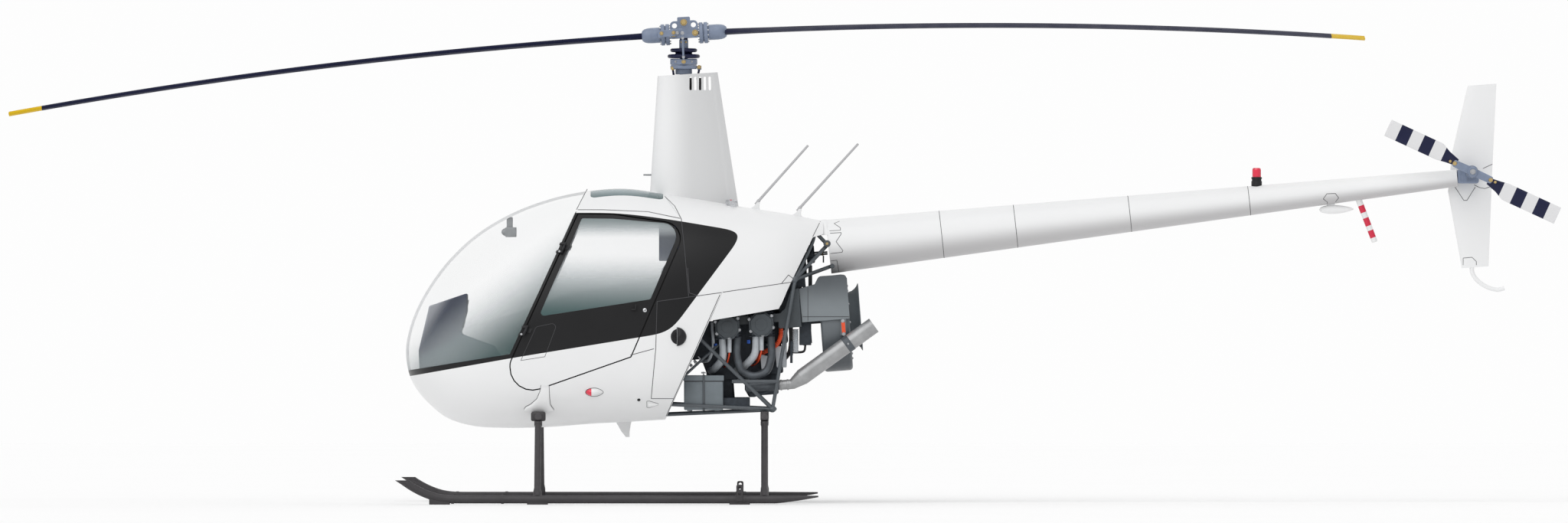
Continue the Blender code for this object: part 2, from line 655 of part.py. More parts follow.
def make_cabin_inside(airframe, seat_empties):
    floor = prism(FLOOR, -0.7, 0.7)
    seats = prism(SEAT_BOX, -0.7, 0.7)
    seats = inside(seats, 0.0075)
    for side in (PORT, STARBOARD):
        inner, outer = sorted(side * y for y in COMPARTMENT_Y)
        low, high = zip(COMPARTMENT_X, (inner, outer), COMPARTMENT_Z)
        seats = cut(seats, box(low, high))
    part(union(inside(floor, 0.0005), seats), "cabin_floor", GREY_TRIM, airframe)
    part(inside(prism(FIREWALL, -0.7, 0.7), 0.0005), "firewall", GREY_TRIM, airframe)
    tunnel = bar((PEDAL_X, -0.3, 0.590), (PEDAL_X, 0.3, 0.590), 0.0135)
    part(cut(inside(prism(CONSOLE, -0.14, 0.14), 0.002), tunnel), "instrument_console", GREY_TRIM, airframe)

    back = prism(SEAT_BACK, -0.44, -0.055)
    both_sides("seat_back", back, SEAT_FABRIC, (airframe, airframe))
    cushion = box(CUSHION_LOW, CUSHION_HIGH, bevel=0.02)
    twin = mirrored(cushion)
    for obj, name, empty in ((cushion, "left", seat_empties[0]), (twin, "right", seat_empties[1])):
        moved(obj, Matrix.Translation(-empty.location))
        part(obj, "seat_cushion_" + name, SEAT_FABRIC, empty)

    stick = tube(((-0.72, 0, FLOOR_TOP + 0.002), (-0.70, 0, 0.75), (-0.74, 0, 1.02)), 0.014)
    yoke = bar((-0.74, -0.28, 1.02), (-0.74, 0.28, 1.02), 0.010)
    grips = [bar((-0.74, y, 0.955), (-0.75, y, 1.085), 0.014) for y in (-0.28, 0.28)]
    part(union(stick, yoke, *grips), "cyclic_stick", BLACK, airframe)
    for name, y in (("left", -0.463), ("centre", 0.0)):
        lever = tube(((-0.30, y, 0.7935), (-0.34, y, 0.823), (-0.60, y, 0.905)), 0.010)
        grip = bar((-0.50, y, 0.8704), (-0.615, y, 0.910), 0.014)
        part(union(lever, grip), "collective_lever_" + name, BLACK, airframe)
    crossbar = bar((PEDAL_X, -0.37, 0.59), (PEDAL_X, 0.37, 0.59), 0.010)
    pieces = []
    for y in PEDAL_Y:
        pieces.append(bar((PEDAL_X, y, FLOOR_TOP + SEAT_GAP), (PEDAL_X, y, 0.60), 0.009))
        pieces.append(box((PEDAL_X - 0.035, y - 0.045, 0.60), (PEDAL_X - 0.015, y + 0.045, 0.71)))
        pieces.append(bar((PEDAL_X, y, 0.595), (PEDAL_X - 0.026, y, 0.62), 0.009))
    part(union(crossbar, *pieces), "pedals", BLACK, airframe)


def boom_cone(grow=0.0, front=0.0):
    """The tail boom's outer cone, moved out by grow and longer in front."""
    along = (BOOM_REAR - BOOM_FRONT).normalized()
    start = BOOM_FRONT - along * front
    return bar(start, BOOM_REAR + along * grow, BOOM_FRONT_RADIUS + grow, BOOM_REAR_RADIUS + grow, sides=24)


def make_tail(airframe):
    along = (BOOM_REAR - BOOM_FRONT).normalized()
    ends = (BOOM_FRONT - along * 0.05, BOOM_REAR - along * 0.02)
    hollow = bar(*ends, BOOM_FRONT_RADIUS - BOOM_SKIN, BOOM_REAR_RADIUS - BOOM_SKIN, sides=24)
    part(cut(boom_cone(), hollow), "tail_boom", WHITE, airframe)

    fin = prism(FIN, 0.053, 0.077)
    part(union(fin, tube(TAIL_SKID, 0.013)), "tail_fin", NAVY, airframe)
    plane = loft([
        [(-x, y, z) for y, x, z in aerofoil_ring((station, -4.375, 1.800), 0.270, 0.026, 0.0)]
        for station in (0.0773, 0.720)
    ])
    part(plane, "stabilizer", WHITE, airframe)

    case = box((4.362, -0.050, 1.802), (4.500, 0.0527, 1.886), bevel=0.012)
    output = bar((4.452, 0.0, 1.869), (4.452, TAIL_HUB.y + 0.063, 1.869), 0.030, 0.024, sides=16)
    part(cut(union(case, output), boom_cone(SEAT_GAP)), "tail_gearbox", HUB_BLUE, airframe)

    lamp = moved(turned(BEACON_PROFILE, 16), Matrix.Translation((3.237, 0, 0)))
    part(cut(lamp, boom_cone(SEAT_GAP)), "beacon", RED_LENS, airframe)
    post = box((3.632, -0.010, 1.66), (3.681, 0.010, 1.80))
    pod = along_x(turned(POD_PROFILE, 12), 3.693, 0, 1.655)
    part(cut(union(post, pod), boom_cone(SEAT_GAP)), "tail_antenna", GREY_TRIM, airframe)
    guard = bar((3.795, 0, 1.760), (3.900, 0, 1.470), 0.018)
    part(cut(guard, boom_cone(SEAT_GAP)), "tail_guard", RED_LENS, airframe)


# Whip antennas on the cowl: name, base front x, base rear x, base top z, whip root, whip tip (x, z)
WHIPS = (
    ("front", 0.335, 0.461, 1.690, (0.405, 1.685), (0.703, 2.019)),
    ("rear", 0.578, 0.703, 1.652, (0.640, 1.648), (0.986, 2.028)),
)


def make_whips(airframe):
    for name, front, rear, top, root, tip in WHIPS:
        leaf = ((front, 1.55, 0), (rear, 1.55, 0), (rear - 0.02, top - 0.005, 0), (front + 0.03, top, 0))
        base = prism(leaf, -0.012, 0.012)
        whip = bar((root[0], 0, root[1]), (tip[0], 0, tip[1]), 0.006, 0.003, sides=8)
        part(cut(union(base, whip), hull(SEAT_GAP)), "whip_antenna_" + name, BLACK, airframe)


def make_frame(airframe):
    tubes = []
    for points in FRAME_TUBES:
        for side in (PORT, STARBOARD):
            tubes.append(tube([(x, side * y, z) for x, y, z in points], FRAME_TUBE))
    for x, half, z in FRAME_CROSS_TUBES:
        tubes.append(bar((x, -half, z), (x, half, z), FRAME_TUBE, sides=8))
    frame = union(tubes[0], *tubes[1:])
    grown = prism(FIREWALL, -0.7, 0.7, 2 * SEAT_GAP)
    ahead = prism(((-0.30, 0.40, 0), (-0.125, 0.455, 0), (0.185, 1.155, 0), (-0.30, 1.20, 0)), -0.7, 0.7)
    frame = cut(frame, grown, ahead, boom_cone(SEAT_GAP))
    lower = common(hull(2 * SEAT_GAP), box((-0.5, -0.8, 0.3), (-0.062, 0.8, 0.7)))
    part(cut(frame, lower), "tube_frame", FRAME_GREY, airframe)


def make_engine(power, airframe):
    """Flat four-cylinder engine, in the crankshaft's own frame: +X aft along the shaft."""
    case = box((-0.165, -0.110, -0.120), (0.240, 0.110, 0.100), bevel=0.015)
    pieces = [
        box((-0.200, -0.130, -0.283), (0.200, 0.130, -0.100), bevel=0.008),
        box((0.010, -0.080, -0.400), (0.165, 0.080, -0.270), bevel=0.01),
        box((-0.235, -0.110, -0.445), (-0.085, 0.110, -0.200), bevel=0.01),
        bar((0.200, 0, 0), (0.560, 0, 0), 0.020, sides=16),
        bar((0.247, 0, 0), (0.262, 0, 0), 0.190, sides=32),
    ]
    for side in (PORT, STARBOARD):
        for x in (-0.0955, 0.0955):
            pieces.append(bar((x, side * 0.09, 0), (x, side * 0.355, 0), 0.064, sides=16))
            cover = bar((0, 0, 0), (0, side * 0.050, 0), 0.0725, sides=8)
            turn = Matrix.Rotation(math.pi / 8, 4, "Y")
            pieces.append(moved(cover, Matrix.Translation((x, side * 0.350, 0)) @ turn))
            pieces.append(
                tube(
                    (
                        (x - 0.022, side * 0.310, -0.05), (x - 0.022, side * 0.310, -0.13),
                        (x - 0.045, side * 0.260, -0.19), (x - 0.080, side * 0.115, -0.235),
                    ),
                    0.021,
                )
            )
        bend = [
            (0.063 + 0.092 * math.cos(angle), side * 0.310, -0.2055 + 0.092 * math.sin(angle))
            for angle in np.radians(np.linspace(180, 360, 9))
        ]
        riser = [(0.063 - 0.092, side * 0.310, -0.04), *bend, (0.063 + 0.092, side * 0.310, -0.04)]
        pieces.append(tube(riser, 0.020))
        pieces.append(prism(SHROUD, *sorted((side * 0.145, side * 0.302))))
        low, high = sorted((side * 0.10, side * 0.14))
        pieces.append(box((-0.075, low, -0.295), (-0.015, high, -0.270)))
    part(union(case, *pieces), "engine", ENGINE_DARK, power)

    drum = along_x(turned(FAN_DRUM_PROFILE, 32), 0, 0, -0.025)
    ducts = []
    for side in (PORT, STARBOARD):
        low, high = sorted((side * 0.15, side * 0.285))
        ducts.append(prism(FAN_DUCT, low, high))
    bell = along_x(turned(BELLMOUTH_PROFILE, 32))
    chamber = along_x(turned(((0.0, 0.580), (0.228, 0.580), (0.228, 0.445), (0.0, 0.445)), 32))
    throat = along_x(turned(((0.0, 0.700), (0.132, 0.700), (0.132, 0.560), (0.0, 0.560)), 32))
    shaft_hole = bar((0.40, 0, 0), (0.46, 0, 0), 0.035, sides=16)
    scroll = cut(union(drum, *ducts), chamber, throat, shaft_hole)
    part(union(scroll, bell), "fan_scroll", SCROLL_GREY, power)

    lower_sheave = bar((0.312, 0, 0), (0.372, 0, 0), 0.120, sides=24)
    upper_sheave = bar((0.312, 0, 0.374), (0.372, 0, 0.374), 0.120, sides=24)
    belts = box((0.322, -0.138, 0), (0.362, 0.138, 0.374))
    middle = box((0.300, -0.118, 0), (0.400, 0.118, 0.374))
    rims = [bar((0.322, 0, z), (0.362, 0, z), 0.138, sides=24) for z in (0, 0.374)]
    shaft = bar((0.12, 0, 0.374), (0.475, 0, 0.374), 0.0125, sides=12)
    loop = cut(union(belts, *rims), middle)
    drive = union(loop, lower_sheave, upper_sheave, shaft)
    crank_hole = bar((0.2, 0, 0), (0.5, 0, 0), 0.0205, sides=16)
    part(cut(drive, crank_hole), "belt_drive", BLACK, power)

    y = -0.310
    pipes = [
        bar((0.350, y, 0.6558), (0.627, y, 0.672), 0.028, sides=16),
        bar((0.615, y, 0.668), (0.672, y, 0.714), 0.030, 0.046, sides=16),
        bar((0.668, y, 0.711), (1.073, y, 1.004), 0.046, sides=16),
    ]
    mouth = bar((0.90, y, 0.879), (1.08, y, 1.0091), 0.043, sides=16)
    part(cut(union(pipes[0], *pipes[1:]), mouth), "exhaust", EXHAUST_STEEL, airframe)
    part(box(BATTERY_LOW, BATTERY_HIGH, bevel=0.004), "battery_box", SCROLL_GREY, airframe)


def make_fan(fan):
    """Fan wheel round its own axle: a back plate, vanes and a front ring."""
    hub = bar((-0.062, 0, 0), (0.02, 0, 0), 0.045, sides=16)
    plate = bar((-0.062, 0, 0), (-0.056, 0, 0), 0.215, sides=24)
    ring = along_x(turned(FAN_RING_PROFILE, 24))
    vanes = []
    for number in range(10):
        vane = box((-0.060, 0.150, -0.002), (0.056, 0.212, 0.002))
        vanes.append(moved(vane, Matrix.Rotation(math.radians(number * 36), 4, "X")))
    bore = bar((-0.1, 0, 0), (0.1, 0, 0), 0.0205, sides=16)
    part(cut(union(plate, hub, ring, *vanes), bore), "fan_wheel", ENGINE_DARK, fan)


def skid_piece():
    path = tube([(x, -SKID_Y, z) for x, z in SKID_PATH], SKID_RADIUS)
    end = SKID_PATH[-1]
    tail_end = (SKID_TAIL[0], -SKID_Y, SKID_TAIL[1])
    tail = bar((end[0] - 0.02, -SKID_Y, end[1]), tail_end, SKID_RADIUS - 0.001, 0.004)
    shoes = []
    for front, rear, front_top, rear_top in SHOES:
        outline = ((front, 0, 0), (rear, 0, 0), (rear, rear_top, 0), (front, front_top, 0))
        shoes.append(prism(outline, -SKID_Y - 0.016, -SKID_Y + 0.016))
    outline = ((0.299, 0.020, 0), (0.336, 0.020, 0), (0.336, 0.1125, 0.008), (0.299, 0.1125, 0.008))
    bracket = prism(outline, -0.993, -0.982)
    holes = [bar((0.3175, -1.1, z), (0.3175, -0.9, z), 0.009, sides=16) for z in (0.0943, 0.0606)]
    foot = box((0.299, -0.992, 0.018), (0.336, -0.975, 0.040))
    return union(path, tail, *shoes, cut(bracket, *holes), foot)


# Cross tubes: name, x, outer block (front x, rear x, inner y, outer y, bottom z, top z), strut top y
CROSS_TUBES = (
    ("front", FRONT_TUBE_X, (-0.857, -0.775, 0.466, 0.548, 0.4646, 0.5165), 0.522),
    ("rear", REAR_TUBE_X, (0.4335, 0.4805, 0.330, 0.500, 0.4640, 0.5187), 0.470),
)


def make_landing_gear(airframe):
    for name, x, block, top_y in CROSS_TUBES:
        front, rear, inner, outer, bottom, top = block
        ends = []
        for side in (PORT, STARBOARD):
            low, high = sorted((side * inner, side * outer))
            ends.append(box((front, low, bottom), (rear, high, top)))
        beam = bar((x, -outer + 0.005, CROSS_TUBE_Z), (x, outer - 0.005, CROSS_TUBE_Z), 0.019, sides=16)
        part(union(beam, *ends), "cross_tube_" + name, GEAR_DARK, airframe)
        strut = bar((x, -top_y, 0.480), (x, -SKID_Y, SKID_Z), STRUT_RADIUS, sides=16)
        collar_top = Vector((x, -SKID_Y + 0.055, SKID_Z + 0.0545))
        collar = bar(collar_top, (x, -SKID_Y, SKID_Z), STRUT_RADIUS + 0.005, sides=16)
        above = box((x - 0.2, -0.8, bottom - SEAT_GAP), (x + 0.2, 0.0, 0.7))
        sleeve = bar((x - 0.2, -SKID_Y, SKID_Z), (x + 0.2, -SKID_Y, SKID_Z), SKID_RADIUS + SEAT_GAP, sides=24)
        under = box((x - 0.2, -1.2, -0.2), (x + 0.2, -0.7, SKID_Z))
        strut = cut(union(strut, collar), above, sleeve, under)
        both_sides("strut_" + name, strut, GEAR_DARK, (airframe, airframe))
    both_sides("skid", skid_piece(), GEAR_DARK, (airframe, airframe))


def make_mast(airframe, mast):
    sleeve = bar((0, 0, 2.380), (0, 0, 2.448), 0.047, sides=24)
    ring = bar((0, 0, 2.444), (0, 0, 2.4725), 0.0755, sides=24)
    bore = bar((0, 0, 2.3), (0, 0, 2.6), MAST_RADIUS + 0.001, sides=24)
    below = prism((*[(x, z + 0.0008, 0) for x, z in FAIRING_TOP], (0.30, 2.2, 0), (-0.30, 2.2, 0)), -0.3, 0.3)
    part(cut(union(sleeve, ring), bore, below), "swashplate_lower", HUB_BLUE, airframe)

    profile = (
        (0.0, 2.735), (MAST_RADIUS, 2.735), (MAST_RADIUS, 2.564), (0.075, 2.564),
        (0.075, 2.538), (0.045, 2.536), (0.0915, 2.534), (0.0915, 2.5095),
        (MAST_RADIUS, 2.5095), (MAST_RADIUS, 1.950), (0.0, 1.950),
    )
    bolt = bar((0, -0.1, TEETER_Z), (0, 0.1, TEETER_Z), 0.0115, sides=16)
    part(cut(turned(profile), bolt), "rotor_mast", NAVY, mast)
    arms = box((-0.013, -0.0837, 2.478), (0.013, 0.0837, 2.504))
    plate = union(bar((0, 0, 2.473), (0, 0, 2.5087), 0.0765, sides=24), arms)
    bore = bar((0, 0, 2.4), (0, 0, 2.6), MAST_RADIUS + 0.0008, sides=24)
    part(cut(plate, bore), "swashplate_upper", HUB_BLUE, mast)
    for number, side in ((1, PORT), (2, STARBOARD)):
        top = Vector((side * 0.007, side * 0.165, 2.652))
        bottom = Vector((0.0, side * 0.092, 2.491))
        eyes = [ball(end, (0.008,) * 3, 8, 6) for end in (top, bottom)]
        link = union(bar(top, bottom, 0.005, sides=8), *eyes)
        part(link, f"pitch_link_{number}", BLACK, mast)


def make_rotor_head(head):
    """Hub and blades round the teeter bolt, in the head's own tilted frame."""
    plates = []
    for side in (PORT, STARBOARD):
        low, high = sorted((side * 0.045, side * 0.057))
        holes = [bar((x, -0.1, -0.016), (x, 0.1, -0.016), 0.0145, sides=12) for x in (-0.0535, 0.0535)]
        plates.append(cut(prism(HUB_PLATE, low, high), *holes))
    bolts = [bar((0, -0.078, 0), (0, 0.078, 0), 0.011, sides=16)]
    for x in (-0.061, 0.061):
        bolts.append(bar((x, -0.070, -0.062), (x, 0.070, -0.062), 0.010, sides=16))
    part(union(plates[0], plates[1], *bolts), "rotor_hub", HUB_BLUE, head)

    rings = [
        aerofoil_ring((r, 0.0, -0.064 - ROTOR_DROOP * (r / ROTOR_RADIUS) ** 2), chord, thickness, twist)
        for r, chord, thickness, twist in BLADE_SECTIONS
    ]
    blade = loft(rings)
    spindle = box((0.036, -0.0447, -0.088), (0.105, 0.0447, -0.038))
    spindle = cut(spindle, bar((0.061, -0.1, -0.062), (0.061, 0.1, -0.062), 0.0103, sides=16))
    flange = bar((0.098, 0, -0.064), (0.122, 0, -0.064), 0.063, sides=20)
    grip = bar((0.110, 0, -0.064), (0.262, 0, -0.064), 0.042, 0.034, sides=16)
    horn = tube(PITCH_HORN, 0.011)
    blade = union(blade, spindle, flange, grip, horn)
    twin = moved(copy_of(blade), Matrix.Rotation(math.pi, 4, "Z"))
    part(twin, "main_blade_1", NAVY, head)
    part(blade, "main_blade_2", NAVY, head)


def make_tail_rotor(hub):
    """Tail rotor round its shaft, in the hub's own frame: the blades lie along X."""
    shaft = bar((0, 0.063 - SEAT_GAP, 0), (0, -0.030, 0), 0.014, sides=16)
    boss = bar((0, 0.020, 0), (0, -0.024, 0), 0.028, sides=16)
    yoke = box((-0.130, -0.012, -0.022), (0.130, 0.012, 0.022), bevel=0.004)
    part(union(yoke, boss, shaft), "tail_rotor_hub", HUB_BLUE, hub)
    rings = [
        [(x, z, y) for x, y, z in aerofoil_ring((r, 0.0, 0.0), chord, thickness, twist)]
        for r, chord, thickness, twist in TAIL_BLADE_SECTIONS
    ]
    blade = loft(rings)
    twin = moved(copy_of(blade), Matrix.Rotation(math.pi, 4, "Y"))
    part(twin, "tail_blade_1", WHITE, hub)
    part(blade, "tail_blade_2", WHITE, hub)


def main():
    airframe = joint_empty("helicopter", (0, 0, 0))
    mast = joint_empty("main_rotor_axis", (0, 0, TEETER_Z), airframe)
    head = joint_empty("teeter_axis", (0, 0, 0), mast, -ROTOR_TILT)
    tail_hub = joint_empty("tail_rotor_axis", TAIL_HUB, airframe, TAIL_ROTOR_ANGLE)
    power = joint_empty("crankshaft_axis", CRANK, airframe, -CRANK_TILT)
    fan = joint_empty("fan_axis", (0.517, 0, 0), power)
    doors, seats = [], []
    for name, side in (("left", PORT), ("right", STARBOARD)):
        doors.append(joint_empty("door_hinge_" + name, hinge_places(side)[1], airframe))
        seats.append(joint_empty("seat_hinge_" + name, (-0.650, side * 0.2475, 0.7855), airframe))
    make_cabin(airframe)
    make_doors(doors)
    make_cowl_and_fairing(airframe)
    make_cabin_inside(airframe, seats)
    make_frame(airframe)
    make_engine(power, airframe)
    make_fan(fan)
    make_tail(airframe)
    make_whips(airframe)
    make_landing_gear(airframe)
    make_mast(airframe, mast)
    for obj in mast.children:
        if obj.type == "MESH":
            moved(obj, Matrix.Translation((0, 0, -TEETER_Z)))
    make_rotor_head(head)
    make_tail_rotor(tail_hub)
    airframe.location.x = MAST_X


main()
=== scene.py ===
# %% [markdown]
# A light two-seat helicopter, seen from its port side as it stands on its skids. The imported model
# gives the frame: every piece below is made in metres in that same frame, rides on one of its bodies
# and often stands for one of its plain solids. The box of the plain model is kept.

# %% The imported model
import math

import bmesh
import bpy
import numpy as np
from mathutils import Matrix, Vector


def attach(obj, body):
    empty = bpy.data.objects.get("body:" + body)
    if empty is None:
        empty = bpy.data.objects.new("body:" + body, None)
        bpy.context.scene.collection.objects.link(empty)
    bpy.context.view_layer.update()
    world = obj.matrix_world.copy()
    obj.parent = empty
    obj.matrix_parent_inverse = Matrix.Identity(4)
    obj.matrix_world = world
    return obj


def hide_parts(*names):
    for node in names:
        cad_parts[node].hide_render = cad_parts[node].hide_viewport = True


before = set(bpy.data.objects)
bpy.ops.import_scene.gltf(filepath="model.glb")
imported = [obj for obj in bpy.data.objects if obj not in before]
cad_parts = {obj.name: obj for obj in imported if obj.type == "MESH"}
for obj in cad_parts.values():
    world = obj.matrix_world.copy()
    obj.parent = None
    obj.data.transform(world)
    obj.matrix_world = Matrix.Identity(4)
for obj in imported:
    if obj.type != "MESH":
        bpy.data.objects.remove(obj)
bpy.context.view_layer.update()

# %% [markdown]
# The picture is a side view with hardly any perspective, so the camera is a very long lens a long way
# off. One pixel of a 2048 pixel wide frame is then 4.326 mm on the middle plane. Lengths along the
# machine are given as stations, measured from the mast; the frame's own origin lies a little behind it.

# %% Camera
STATION = 0.5685
PIXEL = 0.004326
FRAME_WIDTH = 2048 * PIXEL
LENS, SENSOR = 500.0, 36.0
CAMERA_PLACE = (-0.002, -FRAME_WIDTH * LENS / SENSOR, 1.3627)

camera_data = bpy.data.cameras.new("side_camera")
camera_data.lens = LENS
camera_data.sensor_width = SENSOR
camera_data.clip_end = 400.0
camera = bpy.data.objects.new("side_camera", camera_data)
camera.location = CAMERA_PLACE
camera.rotation_euler = (math.radians(90), 0, 0)
bpy.context.scene.collection.objects.link(camera)
bpy.context.scene.camera = camera
print("frame width", round(FRAME_WIDTH, 3))

# %% [markdown]
# The light is a bright, even studio: a white room all round, a very wide soft lamp high on the near
# side and a weaker one behind. White paint on white needs some shade to be read, so the room is seen
# brighter than it shines, and the lamps, which come from above, leave the belly grey. Colours are
# shown as they are, without a film curve.

# %% Light
WORLD_LIGHT, WORLD_SEEN = 0.5, 0.985
LAMPS = (
    # name, direction it comes from, strength, how wide it looks in degrees
    ("key_lamp", (-0.45, -1.0, 1.15), 1.52, 70.0),
    ("back_lamp", (0.5, 1.0, 1.3), 0.75, 90.0),
)

world = bpy.data.worlds.new("studio")
world.use_nodes = True
tree = world.node_tree
seen = tree.nodes.new("ShaderNodeLightPath").outputs["Is Camera Ray"]
strength = tree.nodes.new("ShaderNodeMapRange")
strength.inputs["To Min"].default_value = WORLD_LIGHT
strength.inputs["To Max"].default_value = WORLD_SEEN
tree.links.new(seen, strength.inputs["Value"])
tree.nodes["Background"].inputs["Color"].default_value = (1.0, 1.0, 1.0, 1.0)
tree.links.new(strength.outputs[0], tree.nodes["Background"].inputs["Strength"])
bpy.context.scene.world = world
bpy.context.scene.view_settings.view_transform = "Standard"
for name, direction, power, width in LAMPS:
    lamp_data = bpy.data.lights.new(name, "SUN")
    lamp_data.energy = power
    lamp_data.angle = math.radians(width)
    lamp = bpy.data.objects.new(name, lamp_data)
    lamp.rotation_euler = Vector(direction).to_track_quat("Z", "Y").to_euler()
    bpy.context.scene.collection.objects.link(lamp)
print("lamps", len(LAMPS))

# %% [markdown]
# A finish is a Principled shader whose colour, roughness and surface come from noise read at the
# object's own coordinates. Every object here sits at the origin, so those coordinates are metres in
# the machine's frame, and a painted edge can be given as a line in side view. One small helper adds a
# node and wires whatever it is given: a number goes on the socket and an output is linked to it.

# %% Helpers for finishes
BUMP_DEPTH = 0.002


def node(tree, kind, values=None, output=0, **settings):
    """Add a node, set or link its inputs, and give back one of its outputs."""
    made = tree.nodes.new(kind)
    for key, value in settings.items():
        setattr(made, key, value)
    for key, value in (values or {}).items():
        if isinstance(value, bpy.types.NodeSocket):
            tree.links.new(value, made.inputs[key])
        else:
            made.inputs[key].default_value = value
    return made.outputs[output]


def maths(tree, operation, *values):
    return node(tree, "ShaderNodeMath", dict(enumerate(values)), operation=operation)


def place_of(tree):
    """The point's station, distance to starboard and height, as three outputs."""
    split = tree.nodes.new("ShaderNodeSeparateXYZ")
    tree.links.new(node(tree, "ShaderNodeTexCoord", output="Object"), split.inputs[0])
    return maths(tree, "ADD", split.outputs[0], STATION), split.outputs[1], split.outputs[2]


def noise(tree, scale, detail=3.0):
    """Noise of about -0.5 to 0.5, with a grain of 1 / scale metres."""
    place = node(tree, "ShaderNodeTexCoord", output="Object")
    made = node(tree, "ShaderNodeTexNoise", {"Vector": place, "Scale": scale, "Detail": detail})
    return maths(tree, "SUBTRACT", made, 0.5)


def eased(tree, value, low, high, end=1.0):
    """A share that goes smoothly from 0 to the end as the value goes from low to high."""
    levels = {0: value, 1: low, 2: high, 4: end}
    return node(tree, "ShaderNodeMapRange", levels, interpolation_type="SMOOTHSTEP")


def between(tree, share, first, second):
    """A colour that goes from the first to the second as the share goes from 0 to 1."""
    colours = {"Factor": share, "A": first, "B": second}
    mix = tree.nodes.new("ShaderNodeMix")
    mix.data_type = "RGBA"
    mix.clamp_factor = True
    for key, value in colours.items():
        socket = [s for s in mix.inputs if s.name == key and s.enabled][0]
        if isinstance(value, bpy.types.NodeSocket):
            tree.links.new(value, socket)
        else:
            socket.default_value = value if key == "Factor" else (*value[:3], 1.0)
    return [s for s in mix.outputs if s.enabled][0]


def finish(name, colour, roughness=0.4, shift=0.06, grain=18.0, bump=0.05, bump_grain=300.0,
           tint=None, **sockets):
    """A procedural finish: colour and roughness drift with noise, and fine noise roughens the surface.

    tint(tree, base) may paint a pattern, or painted light and shade, over the base colour.
    """
    material = bpy.data.materials.new(name)
    material.use_nodes = True
    tree = material.node_tree
    shader = tree.nodes["Principled BSDF"]
    for key, value in sockets.items():
        shader.inputs[key.replace("_", " ")].default_value = value
    drift = maths(tree, "MULTIPLY_ADD", noise(tree, grain), 2.0, 0.5)
    low = [value * (1 - shift) for value in colour]
    high = [min(1.0, value * (1 + shift)) for value in colour]
    base = between(tree, drift, low, high)
    if tint:
        base = tint(tree, base)
    tree.links.new(base, shader.inputs["Base Color"])
    rough = maths(tree, "MULTIPLY_ADD", noise(tree, grain * 2.3), roughness * 0.5, roughness)
    tree.links.new(rough, shader.inputs["Roughness"])
    fine = noise(tree, bump_grain, 2.0)
    bumps = {"Strength": bump, "Distance": BUMP_DEPTH, "Height": fine}
    normal = node(tree, "ShaderNodeBump", bumps)
    tree.links.new(normal, shader.inputs["Normal"])
    return material


print("finish helpers ready")

# %% [markdown]
# The floor is a wide pale sheet. It is as light as the world behind it, so that its far edge is not
# seen, and only the soft shadow under the skids shows where it lies.

# %% Floor
FLOOR_HALF = 40.0


def as_mesh(name, points, faces):
    mesh = bpy.data.meshes.new(name)
    mesh.from_pydata(np.asarray(points, float).reshape(-1, 3).tolist(), [], faces)
    return mesh


floor_corners = np.array([(-1, -1, 0), (1, -1, 0), (1, 1, 0), (-1, 1, 0)]) * FLOOR_HALF
floor = bpy.data.objects.new("floor", as_mesh("floor", floor_corners, [(0, 1, 2, 3)]))
bpy.context.scene.collection.objects.link(floor)
floor_paint = finish("studio_floor", (0.95, 0.95, 0.95), 0.9, 0.005, 0.6, 0.0, Specular_IOR_Level=0.0)
floor.data.materials.append(floor_paint)
print("floor", 2 * FLOOR_HALF, "m wide")

# %% [markdown]
# Nearly all the pieces are rings of points carried along something: a tube along its path, a turned
# part round its axis, a fuselage along its length. So one helper turns a table of rings into faces,
# and a few more make the rings. A shape is a pair, points and faces, and a piece joins some shapes.

# %% Helpers for shapes
def skin_over(rings, caps=True):
    """Faces over a (rows, columns) grid of points: each cell gives one face between two rows, the
    last column joins the first, and a flat face closes each end."""
    rings = np.asarray(rings, float)
    rows, columns = rings.shape[:2]
    index = np.arange(rows * columns).reshape(rows, columns)
    after = np.roll(index, -1, axis=1)
    cells = np.stack([index[:-1], after[:-1], after[1:], index[1:]], axis=-1).reshape(-1, 4)
    faces = cells.tolist()
    if caps:
        faces += [index[0][::-1].tolist(), index[-1].tolist()]
    return rings.reshape(-1, 3), faces


def moved(shape, matrix):
    """The shape with each point multiplied by the matrix."""
    matrix = np.array(matrix)
    return shape[0] @ matrix[:3, :3].T + matrix[:3, 3], shape[1]


def placed(shapes, matrix):
    return [moved(shape, matrix) for shape in shapes]


def mirrored(shapes):
    """The shapes on the other side of the middle plane: y changes its sign, faces run backwards."""
    return [(points * (1, -1, 1), [face[::-1] for face in faces]) for points, faces in shapes]


def both(*shapes):
    return [*shapes, *mirrored(shapes)]


SIDES = (("left", list), ("right", mirrored))


def unit(vectors):
    return vectors / np.maximum(np.linalg.norm(vectors, axis=-1, keepdims=True), 1e-9)


def distance(start, end):
    return float(np.linalg.norm(np.subtract(end, start)))


def travelled_along(points):
    """How far each point lies along the path through all of them."""
    return np.concatenate([[0], np.cumsum(np.linalg.norm(np.diff(points, axis=0), axis=1))])


def smooth_path(points, step=0.012):
    """A cubic curve through the points, read at even steps: each piece starts and ends along the
    line between its neighbours."""
    points = np.asarray(points, float)
    travelled = travelled_along(points)
    slopes = np.gradient(points, travelled, axis=0)
    return hermite(points, slopes, travelled, max(3, int(travelled[-1] / step)))


def hermite(rows, slopes, travelled, count):
    """Cubic pieces through the rows with the given slopes, at count even steps of the way travelled."""
    at = np.linspace(0, travelled[-1], count)
    i = np.clip(np.searchsorted(travelled, at, side="right") - 1, 0, len(rows) - 2)
    gap = (travelled[i + 1] - travelled[i])[:, None]
    u = (at - travelled[i])[:, None] / gap
    start = (1 + 2 * u) * (1 - u) ** 2 * rows[i] + u * (1 - u) ** 2 * gap * slopes[i]
    end = u * u * (3 - 2 * u) * rows[i + 1] + u * u * (u - 1) * gap * slopes[i + 1]
    return start + end


